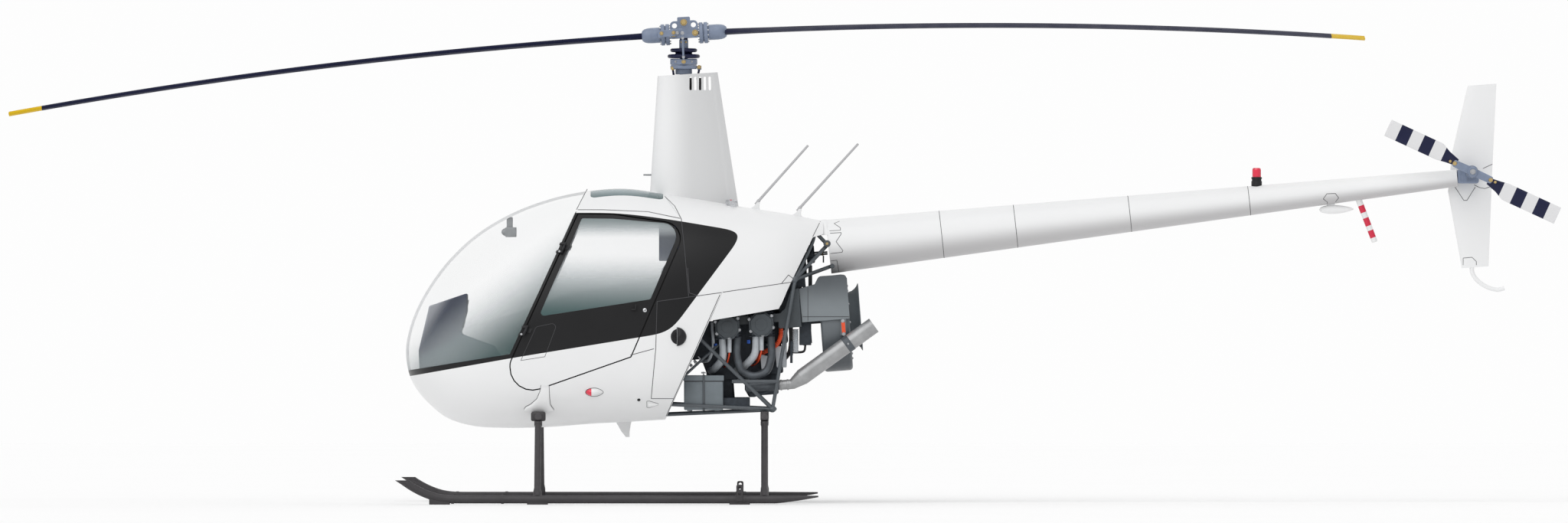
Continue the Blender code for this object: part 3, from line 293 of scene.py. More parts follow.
def bezier(first, corner, last, count):
    """A curve from first to last that leaves towards the corner and arrives from it: the three
    points weighed by (1 - t)^2, 2 t (1 - t) and t^2."""
    t = np.linspace(0, 1, count)[:, None]
    return (1 - t) ** 2 * first + 2 * t * (1 - t) * corner + t**2 * last


def columns_at(table, at):
    """The table's columns after its first, read at values of the first one, each as a tall array."""
    return [np.interp(at, table[:, 0], column)[:, None] for column in table.T[1:]]


def around(radius, count, first=0.0):
    """Pairs on a circle at even angles, of which the first is given in degrees."""
    turn = np.radians(first + np.arange(count) * 360 / count)
    return radius * np.stack([np.cos(turn), np.sin(turn)], axis=1)


SPARE_WAYS = np.array([(0, 0, 1), (1, 0, 0), (0, 1, 0), (0.6, 0, 0.8), (0, 0.6, 0.8), (0.6, 0.8, 0)])


def tube(points, radius, sides=20, bend=None):
    """A round tube: a circle of the radius carried along the path, square to it. The circle starts
    square to whichever spare way the path never runs along, so that it doesn't twist. With a bend,
    each corner of the path is first rounded off over that length."""
    path = np.asarray(points, float)
    if bend:
        legs = unit(np.diff(path, axis=0))
        pieces = [path[:1]]
        for corner, before, after in zip(path[1:-1], legs[:-1], legs[1:]):
            pieces.append(bezier(corner - before * bend, corner, corner + after * bend, 9))
        path = np.concatenate([*pieces, path[-1:]])
    radii = np.broadcast_to(np.asarray(radius, float), len(path))[:, None, None]
    ways = unit(np.gradient(path, axis=0))
    spare = SPARE_WAYS[np.abs(ways @ SPARE_WAYS.T).max(axis=0).argmin()]
    side = unit(np.cross(ways, spare))
    up = np.cross(side, ways)
    turn = np.linspace(0, 2 * np.pi, sides, endpoint=False)
    rings = path[:, None] + radii * (
        np.cos(turn)[None, :, None] * side[:, None] + np.sin(turn)[None, :, None] * up[:, None]
    )
    return skin_over(rings)


def turned(profile, start=(0, 0, 0), way=(0, 0, 1), steps=40):
    """A turned part: each (radius, distance) of the profile becomes a circle round the axis that
    starts at start and runs along way."""
    way = unit(np.asarray(way, float))
    spare = (1.0, 0.0, 0.0) if abs(way[2]) > 0.9 else (0.0, 0.0, 1.0)
    side = unit(np.cross(way, spare))
    up = np.cross(side, way)
    turn = np.linspace(0, 2 * np.pi, steps, endpoint=False)
    circle = np.cos(turn)[:, None] * side + np.sin(turn)[:, None] * up
    profile = np.asarray(profile, float)
    rings = np.asarray(start, float) + profile[
        :, 1, None, None,
    ] * way + profile[:, 0, None, None] * circle
    return skin_over(rings)


def rod(start, end, radius, end_radius=None, bevel=None, steps=24):
    """A round bar between two points with its rims turned down."""
    length = distance(start, end)
    end_radius = radius if end_radius is None else end_radius
    bevel = min(0.12 * radius, 0.2 * length) if bevel is None else bevel
    rims = ((radius - bevel, 0), (radius, bevel))
    end_rims = ((end_radius, length - bevel), (end_radius - bevel, length))
    return turned((*rims, *end_rims), start, np.subtract(end, start), steps)


def ring_profile(inner, outer, low, high, bevel=0.002):
    """The profile of a ring for turned: a closed outline with its two outer edges turned down."""
    return (
        (inner, low), (outer - bevel, low), (outer, low + bevel), (outer, high - bevel),
        (outer - bevel, high), (inner, high), (inner, low),
    )


def block(low, high, radius=0.004, steps=4):
    """A box with round edges: a ball of the radius, pulled apart at its middle planes."""
    low, high = np.minimum(low, high), np.maximum(low, high)
    half = (high - low) / 2
    radius = min(radius, *(half * 0.98))
    quarter = np.linspace(0, np.pi / 2, steps + 1)
    round_turn = np.concatenate([quarter + number * np.pi / 2 for number in range(4)])
    lift = np.concatenate([quarter - np.pi / 2, quarter])
    signs_x = np.repeat((1, -1, -1, 1), steps + 1)
    signs_y = np.repeat((1, 1, -1, -1), steps + 1)
    signs_z = np.repeat((-1, 1), steps + 1)
    ball = np.stack(np.broadcast_arrays(
        np.cos(lift)[:, None] * np.cos(round_turn), np.cos(lift)[:, None] * np.sin(round_turn),
        np.sin(lift)[:, None] + 0 * round_turn,
    ), axis=-1)
    signs = np.stack(np.broadcast_arrays(signs_x[None], signs_y[None], signs_z[:, None]), axis=-1)
    return skin_over((low + high) / 2 + signs * (half - radius) + ball * radius)


ARC_STEPS = 6


def rounded(corners, grow=0.0):
    """An outline through corners (a, b, radius): each corner is an arc that touches both edges, and
    every edge is moved out by grow."""
    places = np.array([corner[:2] for corner in corners], float)
    radii = [corner[2] if len(corner) > 2 else 0.0 for corner in corners]
    ways = unit(np.roll(places, -1, axis=0) - places)
    area = np.sum(places[:, 0] * np.roll(places[:, 1], -1) - np.roll(places[:, 0], -1) * places[:, 1])
    outs = np.stack([ways[:, 1], -ways[:, 0]], axis=1) * np.sign(area)
    outline = []
    for i, place in enumerate(places):
        way, out = ways[i - 1], outs[i - 1]
        place = place + (out + outs[i]) * grow / (1 + out @ outs[i])
        turn = math.atan2(way[0] * ways[i][1] - way[1] * ways[i][0], way @ ways[i])
        convex = turn * np.sign(area) > 0
        radius = radii[i] + (grow if convex else -grow)
        if radii[i] == 0 or radius <= 0:
            outline.append(place)
            continue
        start = place - way * radius * math.tan(abs(turn) / 2)
        centre = start - out * radius * (1 if convex else -1)
        for share in np.linspace(0, 1, ARC_STEPS + 1):
            cosine, sine = math.cos(turn * share), math.sin(turn * share)
            arm = start - centre
            outline.append(centre + (arm[0] * cosine - arm[1] * sine, arm[0] * sine + arm[1] * cosine))
    return np.array(outline)


def plate(corners, low, high, axis="y", bevel=0.0, grow=0.0):
    """A flat plate: the outline pushed along an axis from low to high, its rims stepped in by the
    bevel. The outline is read as x and z for the y axis, x and y for z, and y and z for x."""
    levels = ((low, -bevel), (low + bevel, 0.0), (high - bevel, 0.0), (high, -bevel))
    if not bevel:
        levels = ((low, 0), (high, 0))
    rings = []
    for level, inset in levels:
        outline = rounded(corners, grow + inset)
        other = np.full(len(outline), level)
        columns = {"y": (outline[:, 0], other, outline[:, 1]), "z": (outline[:, 0], outline[:, 1], other),
                   "x": (other, outline[:, 0], outline[:, 1])}[axis]
        rings.append(np.stack(columns, axis=1))
    return skin_over(rings)


def frame_at(origin, degrees):
    """The place of a tilted sub-assembly: turned about Y, then moved to its origin."""
    return Matrix.Translation(origin) @ Matrix.Rotation(math.radians(degrees), 4, "Y")


def bolt(place, way, radius=0.008, height=0.006):
    """A hexagon head on its washer; the way points out of the surface."""
    place, way = np.asarray(place, float), unit(np.asarray(way, float))
    rim = radius * 1.25
    washer = turned(((0, -0.001), (rim, -0.001), (rim, 0.0015), (0, 0.0015)), place, way, 20)
    head_profile = (
        (0, 0.0015), (radius, 0.0015), (radius, height * 0.8), (radius * 0.85, height), (0, height),
    )
    return [washer, turned(head_profile, place, way, 6)]


def bolts(places, way, radius, height):
    return [shape for place in places for shape in bolt(place, way, radius, height)]


SHARP_ANGLE = math.radians(32)


def tidy(mesh):
    """Doubles merged, faces turned outwards, round parts smooth, and stations made frame x."""
    build = bmesh.new()
    build.from_mesh(mesh)
    bmesh.ops.remove_doubles(build, verts=build.verts, dist=2e-6)
    bmesh.ops.dissolve_degenerate(build, edges=build.edges, dist=1e-7)
    bmesh.ops.translate(build, vec=(-STATION, 0, 0), verts=build.verts)
    bmesh.ops.recalc_face_normals(build, faces=build.faces)
    build.to_mesh(mesh)
    build.free()
    mesh.shade_smooth()
    mesh.set_sharp_from_angle(angle=SHARP_ANGLE)


def piece(name, groups, body="airframe", replaces=(), span=None):
    """An object of shapes, each group (finish, shapes) with its own finish, that rides on a body."""
    points, faces, looks, finishes, spans = [], [], [], [], []
    for look, shapes in groups:
        finishes.append(look)
        for shape in shapes:
            base = sum(map(len, points))
            points.append(shape[0])
            faces += [[corner + base for corner in face] for face in shape[1]]
            looks += [len(finishes) - 1] * len(shape[1])
            spans.append(shape[2] if len(shape) > 2 else np.zeros(len(shape[0])))
    mesh = as_mesh(name, np.concatenate(points), faces)
    mesh.polygons.foreach_set("material_index", looks)
    if span:
        mesh.attributes.new(span, "FLOAT", "POINT").data.foreach_set("value", np.concatenate(spans))
    for look in finishes:
        mesh.materials.append(look)
    tidy(mesh)
    return finished(bpy.data.objects.new(name, mesh), body, replaces)


def finished(obj, body="airframe", replaces=()):
    """The object is put in the scene, rides on its body and stands for its plain solids."""
    if obj.name not in bpy.context.scene.collection.objects:
        bpy.context.scene.collection.objects.link(obj)
    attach(obj, body)
    if replaces:
        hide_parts(*replaces)
    print(f"{obj.name}: {len(obj.data.polygons)} faces on {body}")
    return obj


print("shape helpers ready")

# %% [markdown]
# The paint is gloss white, with a black field that runs from a narrow stripe under the windshield,
# over the doors' lower half, to a rounded point on the cowl. On the real machine it is masked and
# sprayed. Here the field is made of lines in side view: a point is black when it lies above the
# lower lines, below the upper ones and in front of the slanted one. A smooth minimum of those
# distances, or a smooth maximum at the bend of the lower edge, rounds the corners. Panels that are
# cut apart then still carry one unbroken field.

# %% Paint
WHITE_PAINT = (0.83, 0.834, 0.838)
BLACK_PAINT = (0.0135, 0.0135, 0.0145)
FIELD_LINES = (
    # from (station, height) to (station, height), with the black field on the left of the way
    ((-1.547, 0.7155), (-0.959, 0.8205)),
    ((-0.959, 0.8205), (-0.156, 0.951)),
    ((-0.0456, 1.004), (0.284, 1.448)),
    ((0.2508, 1.5447), (-0.131, 1.6095)),
    ((-0.146, 1.6125), (-0.38, 1.637)),
    ((-0.4, 1.637), (-0.611, 1.637)),
)
# how each line after the first is joined to those before it: the operation and its distance
CORNER_ROUNDS = (
    ("SMOOTH_MAX", 0.004), ("SMOOTH_MIN", 0.1), ("SMOOTH_MIN", 0.14), ("SMOOTH_MIN", 0.02),
    ("SMOOTH_MIN", 0.02),
)
EDGE_SHARPNESS = 900.0


def left_of(tree, x, z, start, end):
    """How far a point lies to the left of the line from start to end."""
    run = np.subtract(end, start)
    run = run / np.linalg.norm(run)
    level = maths(tree, "MULTIPLY", z, float(run[0]))
    offset = float(run[1] * start[0] - run[0] * start[1])
    return maths(tree, "ADD", maths(tree, "MULTIPLY_ADD", x, float(-run[1]), offset), level)


def black_field(tree, base):
    x, _, z = place_of(tree)
    inside = None
    for (start, end), corner in zip(FIELD_LINES, (None, *CORNER_ROUNDS)):
        depth = left_of(tree, x, z, start, end)
        inside = depth if inside is None else maths(tree, corner[0], inside, depth, corner[1])
    edge = maths(tree, "MULTIPLY_ADD", inside, EDGE_SHARPNESS, 0.5)
    return between(tree, edge, base, BLACK_PAINT)


gloss = {"Specular_IOR_Level": 0.22}


def white_finish(name, roughness=0.32, tint=None):
    return finish(name, WHITE_PAINT, roughness, 0.012, 2.5, 0.01, 260.0, tint=tint, **gloss)


white_paint = white_finish("white_paint")
body_paint = white_finish("body_paint", tint=black_field)
black_paint = finish("black_paint", BLACK_PAINT, 0.35, 0.15, 6.0, 0.02, **gloss)
seam_line = finish("seam_line", (0.05, 0.05, 0.055), 0.6, 0.1)
lining = finish("cabin_lining", (0.3, 0.31, 0.33), 0.75, 0.08, 30.0, 0.25, 900.0)
print("paints", white_paint.name, body_paint.name)

# %% [markdown]
# The fuselage is one egg-like form that all the cabin panels and the cowl are cut from. At each
# station its section is a superellipse, an ellipse whose power is raised so that the sides stand
# fuller, with one power above the widest line and one below. The table gives those sections; between
# them every column is joined by a smooth cubic, which is how a loftsman springs a batten.

# %% Fuselage form
HULL = np.array([
    # station, bottom, top, half width, widest height, power above, power below
    (-1.569, 0.855, 0.855, 0.0, 0.855, 2.0, 2.0), (-1.553, 0.735, 0.965, 0.125, 0.86, 2.0, 2.0),
    (-1.515, 0.652, 1.078, 0.235, 0.87, 2.0, 2.1), (-1.44, 0.562, 1.218, 0.345, 0.88, 2.0, 2.3),
    (-1.33, 0.477, 1.366, 0.425, 0.9, 2.0, 2.6), (-1.18, 0.433, 1.508, 0.49, 0.92, 2.05, 3.0),
    (-0.98, 0.423, 1.63, 0.535, 0.94, 2.15, 3.4), (-0.75, 0.429, 1.717, 0.557, 0.95, 2.3, 3.6),
    (-0.5, 0.448, 1.766, 0.56, 0.95, 2.4, 3.6), (-0.356, 0.455, 1.775, 0.56, 0.96, 2.45, 3.6),
    (-0.11, 0.469, 1.746, 0.55, 0.98, 2.5, 3.6), (0.05, 0.474, 1.723, 0.525, 1.02, 2.5, 3.4),
    (0.3, 0.62, 1.676, 0.47, 1.08, 2.5, 3.0), (0.55, 0.9, 1.637, 0.385, 1.2, 2.4, 2.5),
    (0.8, 1.29, 1.589, 0.178, 1.44, 2.15, 2.1),
])
HULL_ROWS, HULL_COLUMNS = 130, 112
WALL, GLASS = 0.015, 0.006

hull_way = travelled_along(HULL[:, :4])
hull_slopes = np.gradient(HULL, hull_way, axis=0)
hull_slopes[0, 0] = 0.0
hull_fine = hermite(HULL, hull_slopes, hull_way, 1200)
hull_fine[:, 3] = np.maximum(hull_fine[:, 3], 0.0)


def hull_points(rows, columns):
    """Section points: across = half width * cos^(2/n), up = height * sin^(2/n), both with their sign."""
    angles = np.linspace(0, 2 * np.pi, columns, endpoint=False)
    station, bottom, top, half, widest, above, below = rows.T[:, :, None]
    across, up = np.cos(angles)[None], np.sin(angles)[None]
    power = np.where(up >= 0, above, below)
    height = np.where(up >= 0, top - widest, widest - bottom)
    y = half * np.sign(across) * np.abs(across) ** (2 / power)
    z = widest + height * np.sign(up) * np.abs(up) ** (2 / power)
    return np.stack([station + 0 * y, y, z], axis=-1)


def hull_shell(wall, depth=0.0):
    """A closed shell of even thickness: the outer rings from nose to tail, moved in by the depth along
    their normals, then the same rings moved in by the wall as well, back to the nose."""
    rows = hermite(HULL, hull_slopes, hull_way, HULL_ROWS)
    rows[:, 3] = np.maximum(rows[:, 3], 0.0)
    outer = hull_points(rows, HULL_COLUMNS)
    along = np.gradient(outer, axis=0)
    around = np.roll(outer, -1, axis=1) - np.roll(outer, 1, axis=1)
    normals = unit(np.cross(around, along))
    normals[0] = (-1.0, 0.0, 0.0)
    inner = outer - normals * (depth + wall)
    outer = outer - normals * depth
    inner[:, :, 0] = np.maximum(inner[:, :, 0], HULL[0, 0] + depth + wall)
    outer[:, :, 0] = np.maximum(outer[:, :, 0], HULL[0, 0] + depth)
    return skin_over(np.concatenate([outer, inner[::-1]]), caps=False)


def hull_side(x, z, lift=0.0):
    """The port skin's points and outward normals at stations x and heights z, lifted off by lift."""
    def y_at(x, z):
        row = np.stack([np.interp(x, hull_fine[:, 0], hull_fine[:, i]) for i in range(7)])
        upper = z >= row[4]
        height = np.where(upper, row[2] - row[4], row[4] - row[1])
        power = np.where(upper, row[5], row[6])
        share = np.clip(np.abs(z - row[4]) / np.maximum(height, 1e-6), 0, 1)
        return -row[3] * (1 - share**power) ** (1 / power)

    x, z = np.asarray(x, float), np.asarray(z, float)
    step = 0.004
    slope_x = (y_at(x + step, z) - y_at(x - step, z)) / (2 * step)
    slope_z = (y_at(x, z + step) - y_at(x, z - step)) / (2 * step)
    normals = unit(np.stack([slope_x, -np.ones_like(x), slope_z], axis=-1))
    return np.stack([x, y_at(x, z), z], axis=-1) + normals * lift, normals


print("fuselage width", round(2 * HULL[:, 3].max(), 3))

# %% [markdown]
# Each panel is the part of that shell inside an outline drawn in side view, so the outlines below are
# the real panel joints. A Boolean with a straight prism cuts it out, which keeps the wall's full
# thickness and gives every window and door the same curve as the skin round it. Inner faces, the
# ones that look towards the middle of the cabin, get the lining instead of the paint.

# %% Panel outlines and the cutting helper
WINDSHIELD = ((-1.7, 0.7253), (-0.977, 0.8416), (-0.531, 1.8), (-1.7, 1.8))
ROOF = (
    (-0.5997, 1.652), (-0.531, 1.8), (-0.1, 1.85), (-0.108, 1.733), (-0.014, 1.603), (-0.2, 1.641),
    (-0.45, 1.652),
)
COWL = (
    (-0.108, 1.733), (-0.1, 1.85), (0.788, 1.75), (0.788, 1.516), (0.729, 1.4986), (0.607, 1.247),
    (0.5376, 1.096), (0.149, 1.029),
    (0.219, 1.189), (0.03, 1.1647), (-0.014, 1.603),
)
CABIN = (
    (-1.75, 0.3), (-0.18, 0.3), (0.219, 1.189), (0.03, 1.1647), (-0.014, 1.603), (-0.2, 1.641),
    (-0.45, 1.652),
    (-0.5997, 1.652), (-0.977, 0.8416), (-1.75, 0.7173),
)
DOOR = (
    (-0.597, 1.636, 0.012), (-0.4, 1.634, 0), (0.03, 1.57, 0.1), (-0.292, 0.823, 0.012),
    (-0.985, 0.58, 0.13),
    (-0.978, 0.795, 0.08),
)
DOOR_WINDOW = (
    (-0.572, 1.606, 0.012), (-0.4, 1.604, 0), (-0.006, 1.571, 0.075), (-0.185, 1.15, 0.018),
    (-0.813, 1.053, 0.018),
)
SKYLIGHT = ((-0.525, -0.232, 0.03), (-0.115, -0.232, 0.03), (-0.115, -0.07, 0.03), (-0.525, -0.07, 0.03))
DOOR_GAP = 0.007
SEAT_GAP = 0.0003


def points_of(mesh):
    points = np.empty(len(mesh.vertices) * 3)
    mesh.vertices.foreach_get("co", points)
    return points.reshape(-1, 3)


def faces_of(mesh):
    return [list(face.vertices) for face in mesh.polygons]


def loose(name, shape):
    """A shape as an object that only serves to cut or to be cut."""
    obj = bpy.data.objects.new(name, as_mesh(name, *shape))
    bpy.context.scene.collection.objects.link(obj)
    build = bmesh.new()
    build.from_mesh(obj.data)
    bmesh.ops.remove_doubles(build, verts=build.verts, dist=1e-6)
    bmesh.ops.recalc_face_normals(build, faces=build.faces)
    build.to_mesh(obj.data)
    build.free()
    return obj


def carved(shape, within=(), without=()):
    """The part of the shape that lies within the first tools and not within the others."""
    base = loose("blank", shape)
    tools = []
    for operation, others in (("INTERSECT", within), ("DIFFERENCE", without)):
        for other in others:
            tools.append(loose("cutter", other))
            change = base.modifiers.new(operation, "BOOLEAN")
            change.operation = operation
            change.object = tools[-1]
    graph = bpy.context.evaluated_depsgraph_get()
    mesh = bpy.data.meshes.new_from_object(base.evaluated_get(graph))
    for obj in (base, *tools):
        bpy.data.objects.remove(obj)
    made = points_of(mesh), faces_of(mesh)
    bpy.data.meshes.remove(mesh)
    return made


def cut(shape, *tools):
    return carved(shape, without=tools)


def line_inside(obj, look):
    """Faces whose normal looks towards the cabin's middle line get the lining: the sign of the dot
    product of the normal and the way out from that line tells inner faces from outer ones."""
    mesh = obj.data
    mesh.materials.append(look)
    middles, normals = np.empty(len(mesh.polygons) * 3), np.empty(len(mesh.polygons) * 3)
    looks = np.empty(len(mesh.polygons), int)
    mesh.polygons.foreach_get("center", middles)
    mesh.polygons.foreach_get("normal", normals)
    mesh.polygons.foreach_get("material_index", looks)
    middles, normals = middles.reshape(-1, 3), normals.reshape(-1, 3)
    station = np.clip(middles[:, 0] + STATION, -1.1, 0.4)
    heart = np.stack([station - STATION, 0 * station, np.interp(station, (-1.1, 0.4), (0.95, 1.25))], 1)
    inward = (normals * unit(middles - heart)).sum(1) < -0.35
    looks[inward & (looks == 0)] = len(mesh.materials) - 1
    mesh.polygons.foreach_set("material_index", looks)
    return obj


thick_shell = hull_shell(WALL)
glass_shell = hull_shell(GLASS)
print("shell faces", len(thick_shell[1]))

# %% [markdown]
# The lower body, the roof and the cowl come out of the same thick shell. The doors' openings are cut
# from the body, the skylights from the roof. A strip down the middle of the windshield joins the roof
# to the nose, as on the real cabin, where it holds the two panes' inner edges.

# %% Fixed body panels
def slab(corners, half=0.9, grow=-SEAT_GAP):
    """A prism through the whole cabin, as wide on both sides of the middle plane."""
    return plate(corners, -half, half, grow=grow)


def side_slab(corners, grow):
    """A prism through the port side only."""
    return plate(corners, -1.0, -0.05, grow=grow)


def skylight_prism(grow=0.0):
    return plate(SKYLIGHT, 1.5, 1.9, "z", grow=grow)


CROSS_TUBE, TUNNEL_RADIUS = (-0.816, 0.489), 0.0196
tunnel_profile = ((0.0, 0.0), (TUNNEL_RADIUS, 0.0), (TUNNEL_RADIUS, 1.4), (0.0, 1.4))
tunnel = turned(tunnel_profile, (CROSS_TUBE[0], -0.7, CROSS_TUBE[1]), (0, 1, 0), 24)
body_shape = carved(thick_shell, [slab(CABIN)], [slab(DOOR, 1.0, 0.0), tunnel])
roof_shape = carved(thick_shell, [slab(ROOF)], both(skylight_prism()))
strip_shape = carved(thick_shell, [slab(WINDSHIELD, 0.018)])
cowl_shape = carved(thick_shell, [slab(COWL)])
print("cut panels", [len(shape[1]) for shape in (body_shape, roof_shape, strip_shape, cowl_shape)])

# %% [markdown]
# A door is the same shell inside the door's outline, a running gap smaller than the opening, with its
# window cut out. It rides on its own hinge body, so it is an object of its own on each side.

# %% Doors and glass
door_shape = carved(thick_shell, [side_slab(DOOR, -DOOR_GAP)], [slab(DOOR_WINDOW, 1.0, 0.0)])
door_window = carved(glass_shell, [side_slab(DOOR_WINDOW, -SEAT_GAP)])
port_half = plate(((-2, -2), (1, -2), (1, -0.0186), (-2, -0.0186)), 0.0, 2.0, "z")
pane_shape = carved(glass_shell, [slab(WINDSHIELD), port_half])
skylight_shape = carved(glass_shell, [skylight_prism(-SEAT_GAP)])
# painted shade: a black strip lies behind each door's gap, so that the gap reads dark and the white room does
# not show through it
GAP_SHADE_DEPTH, GAP_SHADE_WALL = 0.021, 0.003
gap_shade_shell = hull_shell(GAP_SHADE_WALL, GAP_SHADE_DEPTH)
gap_shade_shape = carved(gap_shade_shell, [side_slab(DOOR, 0.014)], [slab(DOOR, 1.0, -0.02)])
print("cut panes", [len(shape[1]) for shape in (door_shape, door_window, pane_shape, skylight_shape)])

# %% [markdown]
# The panes are acrylic with a grey teal tint, seen low down. Above it a pale band is painted for the
# sky's reflection, where the pane is also nearly clear, and on the door panes painted shade darkens
# the top again. The paint is a ramp over the height, and the pane lets through part of the light
# behind it, so that the cabin shows dimly, as it does in the picture.

# %% Glass finish
def glass(name, low, high, pale, deep, lean=0.0, alpha=(0.45, 0.8), top=None):
    """Acrylic whose colour runs from its deep tint at the low height to a pale painted sky reflection at
    the high one; lean tilts the ramp by that much height for each metre of station, and top, two
    heights and a share, paints shade over it again. The alpha is given for the pale reflection and
    for the deep tint."""
    def ramp(tree, base):
        x, _, z = place_of(tree)
        level = maths(tree, "MULTIPLY_ADD", x, lean, z)
        share = eased(tree, level, low, high)
        if top:
            share = maths(tree, "SUBTRACT", share, eased(tree, level, *top))
        shader = tree.nodes["Principled BSDF"]
        clear = node(tree, "ShaderNodeMapRange", {0: share, 3: alpha[1], 4: alpha[0]})
        tree.links.new(clear, shader.inputs["Alpha"])
        return between(tree, share, deep, base)

    return finish(name, pale, 0.08, 0.02, 4.0, 0.3, 0.0, tint=ramp, Specular_IOR_Level=0.35)


# painted reflection and shade: the pale colour high on the panes stands for the sky's reflection, and the
# door panes' top is shaded darker again
PAINTED_SKY_REFLECTION, DEEP_TINT = (0.8, 0.85, 0.87), (0.065, 0.115, 0.115)
door_glass = glass("door_glass", 1.05, 1.42, PAINTED_SKY_REFLECTION, DEEP_TINT, 0.0, (0.06, 0.92), (1.49, 1.615, 0.8))
windshield_glass = glass("windshield_glass", 1.56, 2.12, PAINTED_SKY_REFLECTION, DEEP_TINT, -0.75, (0.04, 0.66))
skylight_glass = glass("skylight_glass", 1.7, 1.8, (0.35, 0.45, 0.48), DEEP_TINT, 0.0, (0.8, 0.85))

PANELS = (
    # piece, its groups, the plain solid it stands for
    ("body_panels", [(body_paint, [body_shape])], "cabin_shell"),
    ("roof_panel", [(white_paint, [roof_shape]), (white_paint, [strip_shape])], "cabin_roof"),
    ("cowl_panel", [(body_paint, [cowl_shape])], "upper_cowl"),
)
for name, groups, solid in PANELS:
    line_inside(piece(name, groups, replaces=[solid]), lining)
# the black strips behind the door gaps stand for their shade
piece("door_gap_shade_strips", [(black_paint, both(gap_shade_shape))])
for side, flip in SIDES:
    door = f"{side}_door"
    skin = [(body_paint, flip([door_shape]))]
    line_inside(piece(f"door_skin_{side}", skin, door, [f"door_{side}"]), lining)
    panes = (
        # piece, finish, shape, body, slot, the plain solid it stands for
        ("door_pane", door_glass, door_window, door, "tinted_glass", "door_window"),
        ("windshield_pane", windshield_glass, pane_shape, "airframe", "clear_glass", "windshield"),
        ("skylight_pane", skylight_glass, skylight_shape, "airframe", "tinted_glass", "skylight"),
    )
    for name, look, pane, body, slot, solid in panes:
        piece(f"{name}_{side}", [(look, flip([pane]))], body, [f"{solid}_{side}"])

# %% [markdown]
# Joints between panels are thin dark lines in the picture: on the real skin they are narrow gaps and
# edges of filler. Each is drawn as a line in side view and carried onto the curved skin, as a flat
# strip that stands half a millimetre proud. The strip's side runs square to both the line and the
# skin's normal, so that it lies flat wherever the skin turns.

# %% Panel joints
SEAM_WIDTH, FINE_LINE = 0.0034, 0.0024
SEAM_LIFT, SEAM_STEP = 0.0006, 0.012


def seam(corners, width=SEAM_WIDTH, on=hull_side):
    """A flat strip along straight runs between the corners, laid on a skin."""
    corners = np.asarray(corners, float)[:, :2]
    at = travelled_along(corners)
    level = np.unique(np.concatenate([np.arange(0, at[-1], SEAM_STEP), at]))
    x, z = np.interp(level, at, corners[:, 0]), np.interp(level, at, corners[:, 1])
    middle, normals = on(x, z, SEAM_LIFT)
    low, _ = on(x, z, -SEAM_LIFT)
    ways = unit(np.gradient(middle, axis=0))
    side = unit(np.cross(normals, ways)) * width / 2
    return skin_over(np.stack([middle - side, middle + side, low + side, low - side], axis=1))


def closed(corners):
    outline = rounded(corners)
    return np.concatenate([outline, outline[:1]])


BODY_SEAMS = (
    ((-0.1475, 1.138), (-0.155, 0.871), (-0.181, 0.591), (-0.052, 0.591)),
    ((-0.1475, 1.138), (0.215, 1.188)), ((-0.298, 0.836), (-0.165, 0.872)),
    ((0.206, 1.176), (-0.098, 0.492)),
)
COWL_SEAMS = (
    ((0.222, 1.19), (0.614, 1.247)),
    ((0.03, 1.167), (0.0095, 1.399), (-0.012, 1.603), (-0.05, 1.676), (-0.106, 1.73)),
    ((0.554, 1.241), (0.592, 1.287), (0.6156, 1.268)), ((0.771, 1.588), (0.729, 1.503)),
    ((0.024, 1.326), (0.034, 1.186), (0.078, 1.172)),
)
ROOF_SEAMS = (
    ((-0.595, 1.655), (-0.45, 1.6545), (-0.2, 1.6435), (-0.02, 1.606)),
    ((-0.603, 1.655), (-0.545, 1.772)),
)
HATCH = ((-0.828, 0.995, 0.02), (-0.707, 1.02, 0.02), (-0.779, 0.827), (-0.914, 0.806))
body_seams = [seam(line) for line in (*BODY_SEAMS, *COWL_SEAMS, *ROOF_SEAMS)]
piece("panel_joints", [(seam_line, both(*body_seams))])
for side, flip in SIDES:
    lines = flip([seam(closed(HATCH), FINE_LINE)])
    piece(f"door_hatch_line_{side}", [(seam_line, lines)], f"{side}_door")

# %% [markdown]
# Small fittings stand on the skin: the position lamps in their teardrops, round air vents, the
# boots where the front cross tube leaves the belly, the belly aerial, a filler cap and, behind the
# windshield, a compass. Thin dark lines run round some of them. Lumps like a teardrop are a ball
# stretched along the airflow, so one function gives them all; its radius is a circle in front and
# tapers behind.

# %% Fittings on the skin
def lump(centre, half, power=2.0, front_share=0.45):
    """A ball stretched to the half sizes: the widest ring stands at front_share of its length, with a
    round nose before it and a taper, 1 - t to the power, behind it."""
    rows, columns = 28, 32
    t = np.linspace(0, 1, rows)
    t = 0.5 - 0.5 * np.cos(np.pi * t)
    nose = np.sqrt(np.clip(1 - ((front_share - t) / front_share) ** 2, 0, 1))
    behind = 1 - np.clip((t - front_share) / (1 - front_share), 0, 1) ** power
    radius = np.where(t < front_share, nose, behind)[:, None]
    turn = np.linspace(0, 2 * np.pi, columns, endpoint=False)
    x = centre[0] - half[0] + 2 * half[0] * t[:, None] + 0 * turn
    y = centre[1] + half[1] * radius * np.cos(turn)
    z = centre[2] + half[2] * radius * np.sin(turn)
    return skin_over(np.stack([x, y, z], axis=-1))


def skin_y(x, z, lift=0.0):
    return float(hull_side([x], [z], lift)[0][0, 1])


def skin_disc(x, z, radius, depth, top_radius=None):
    """A round fitting that stands square on the port skin."""
    place, normals = hull_side([x], [z])
    start = place[0] - normals[0] * 0.004
    top_radius = radius if top_radius is None else top_radius
    rim, top = depth + 0.003, depth + 0.004
    profile = ((0.0, 0.0), (radius, 0.0), (radius, rim), (top_radius, top), (0.0, top))
    return turned(profile, start, normals[0], 36)


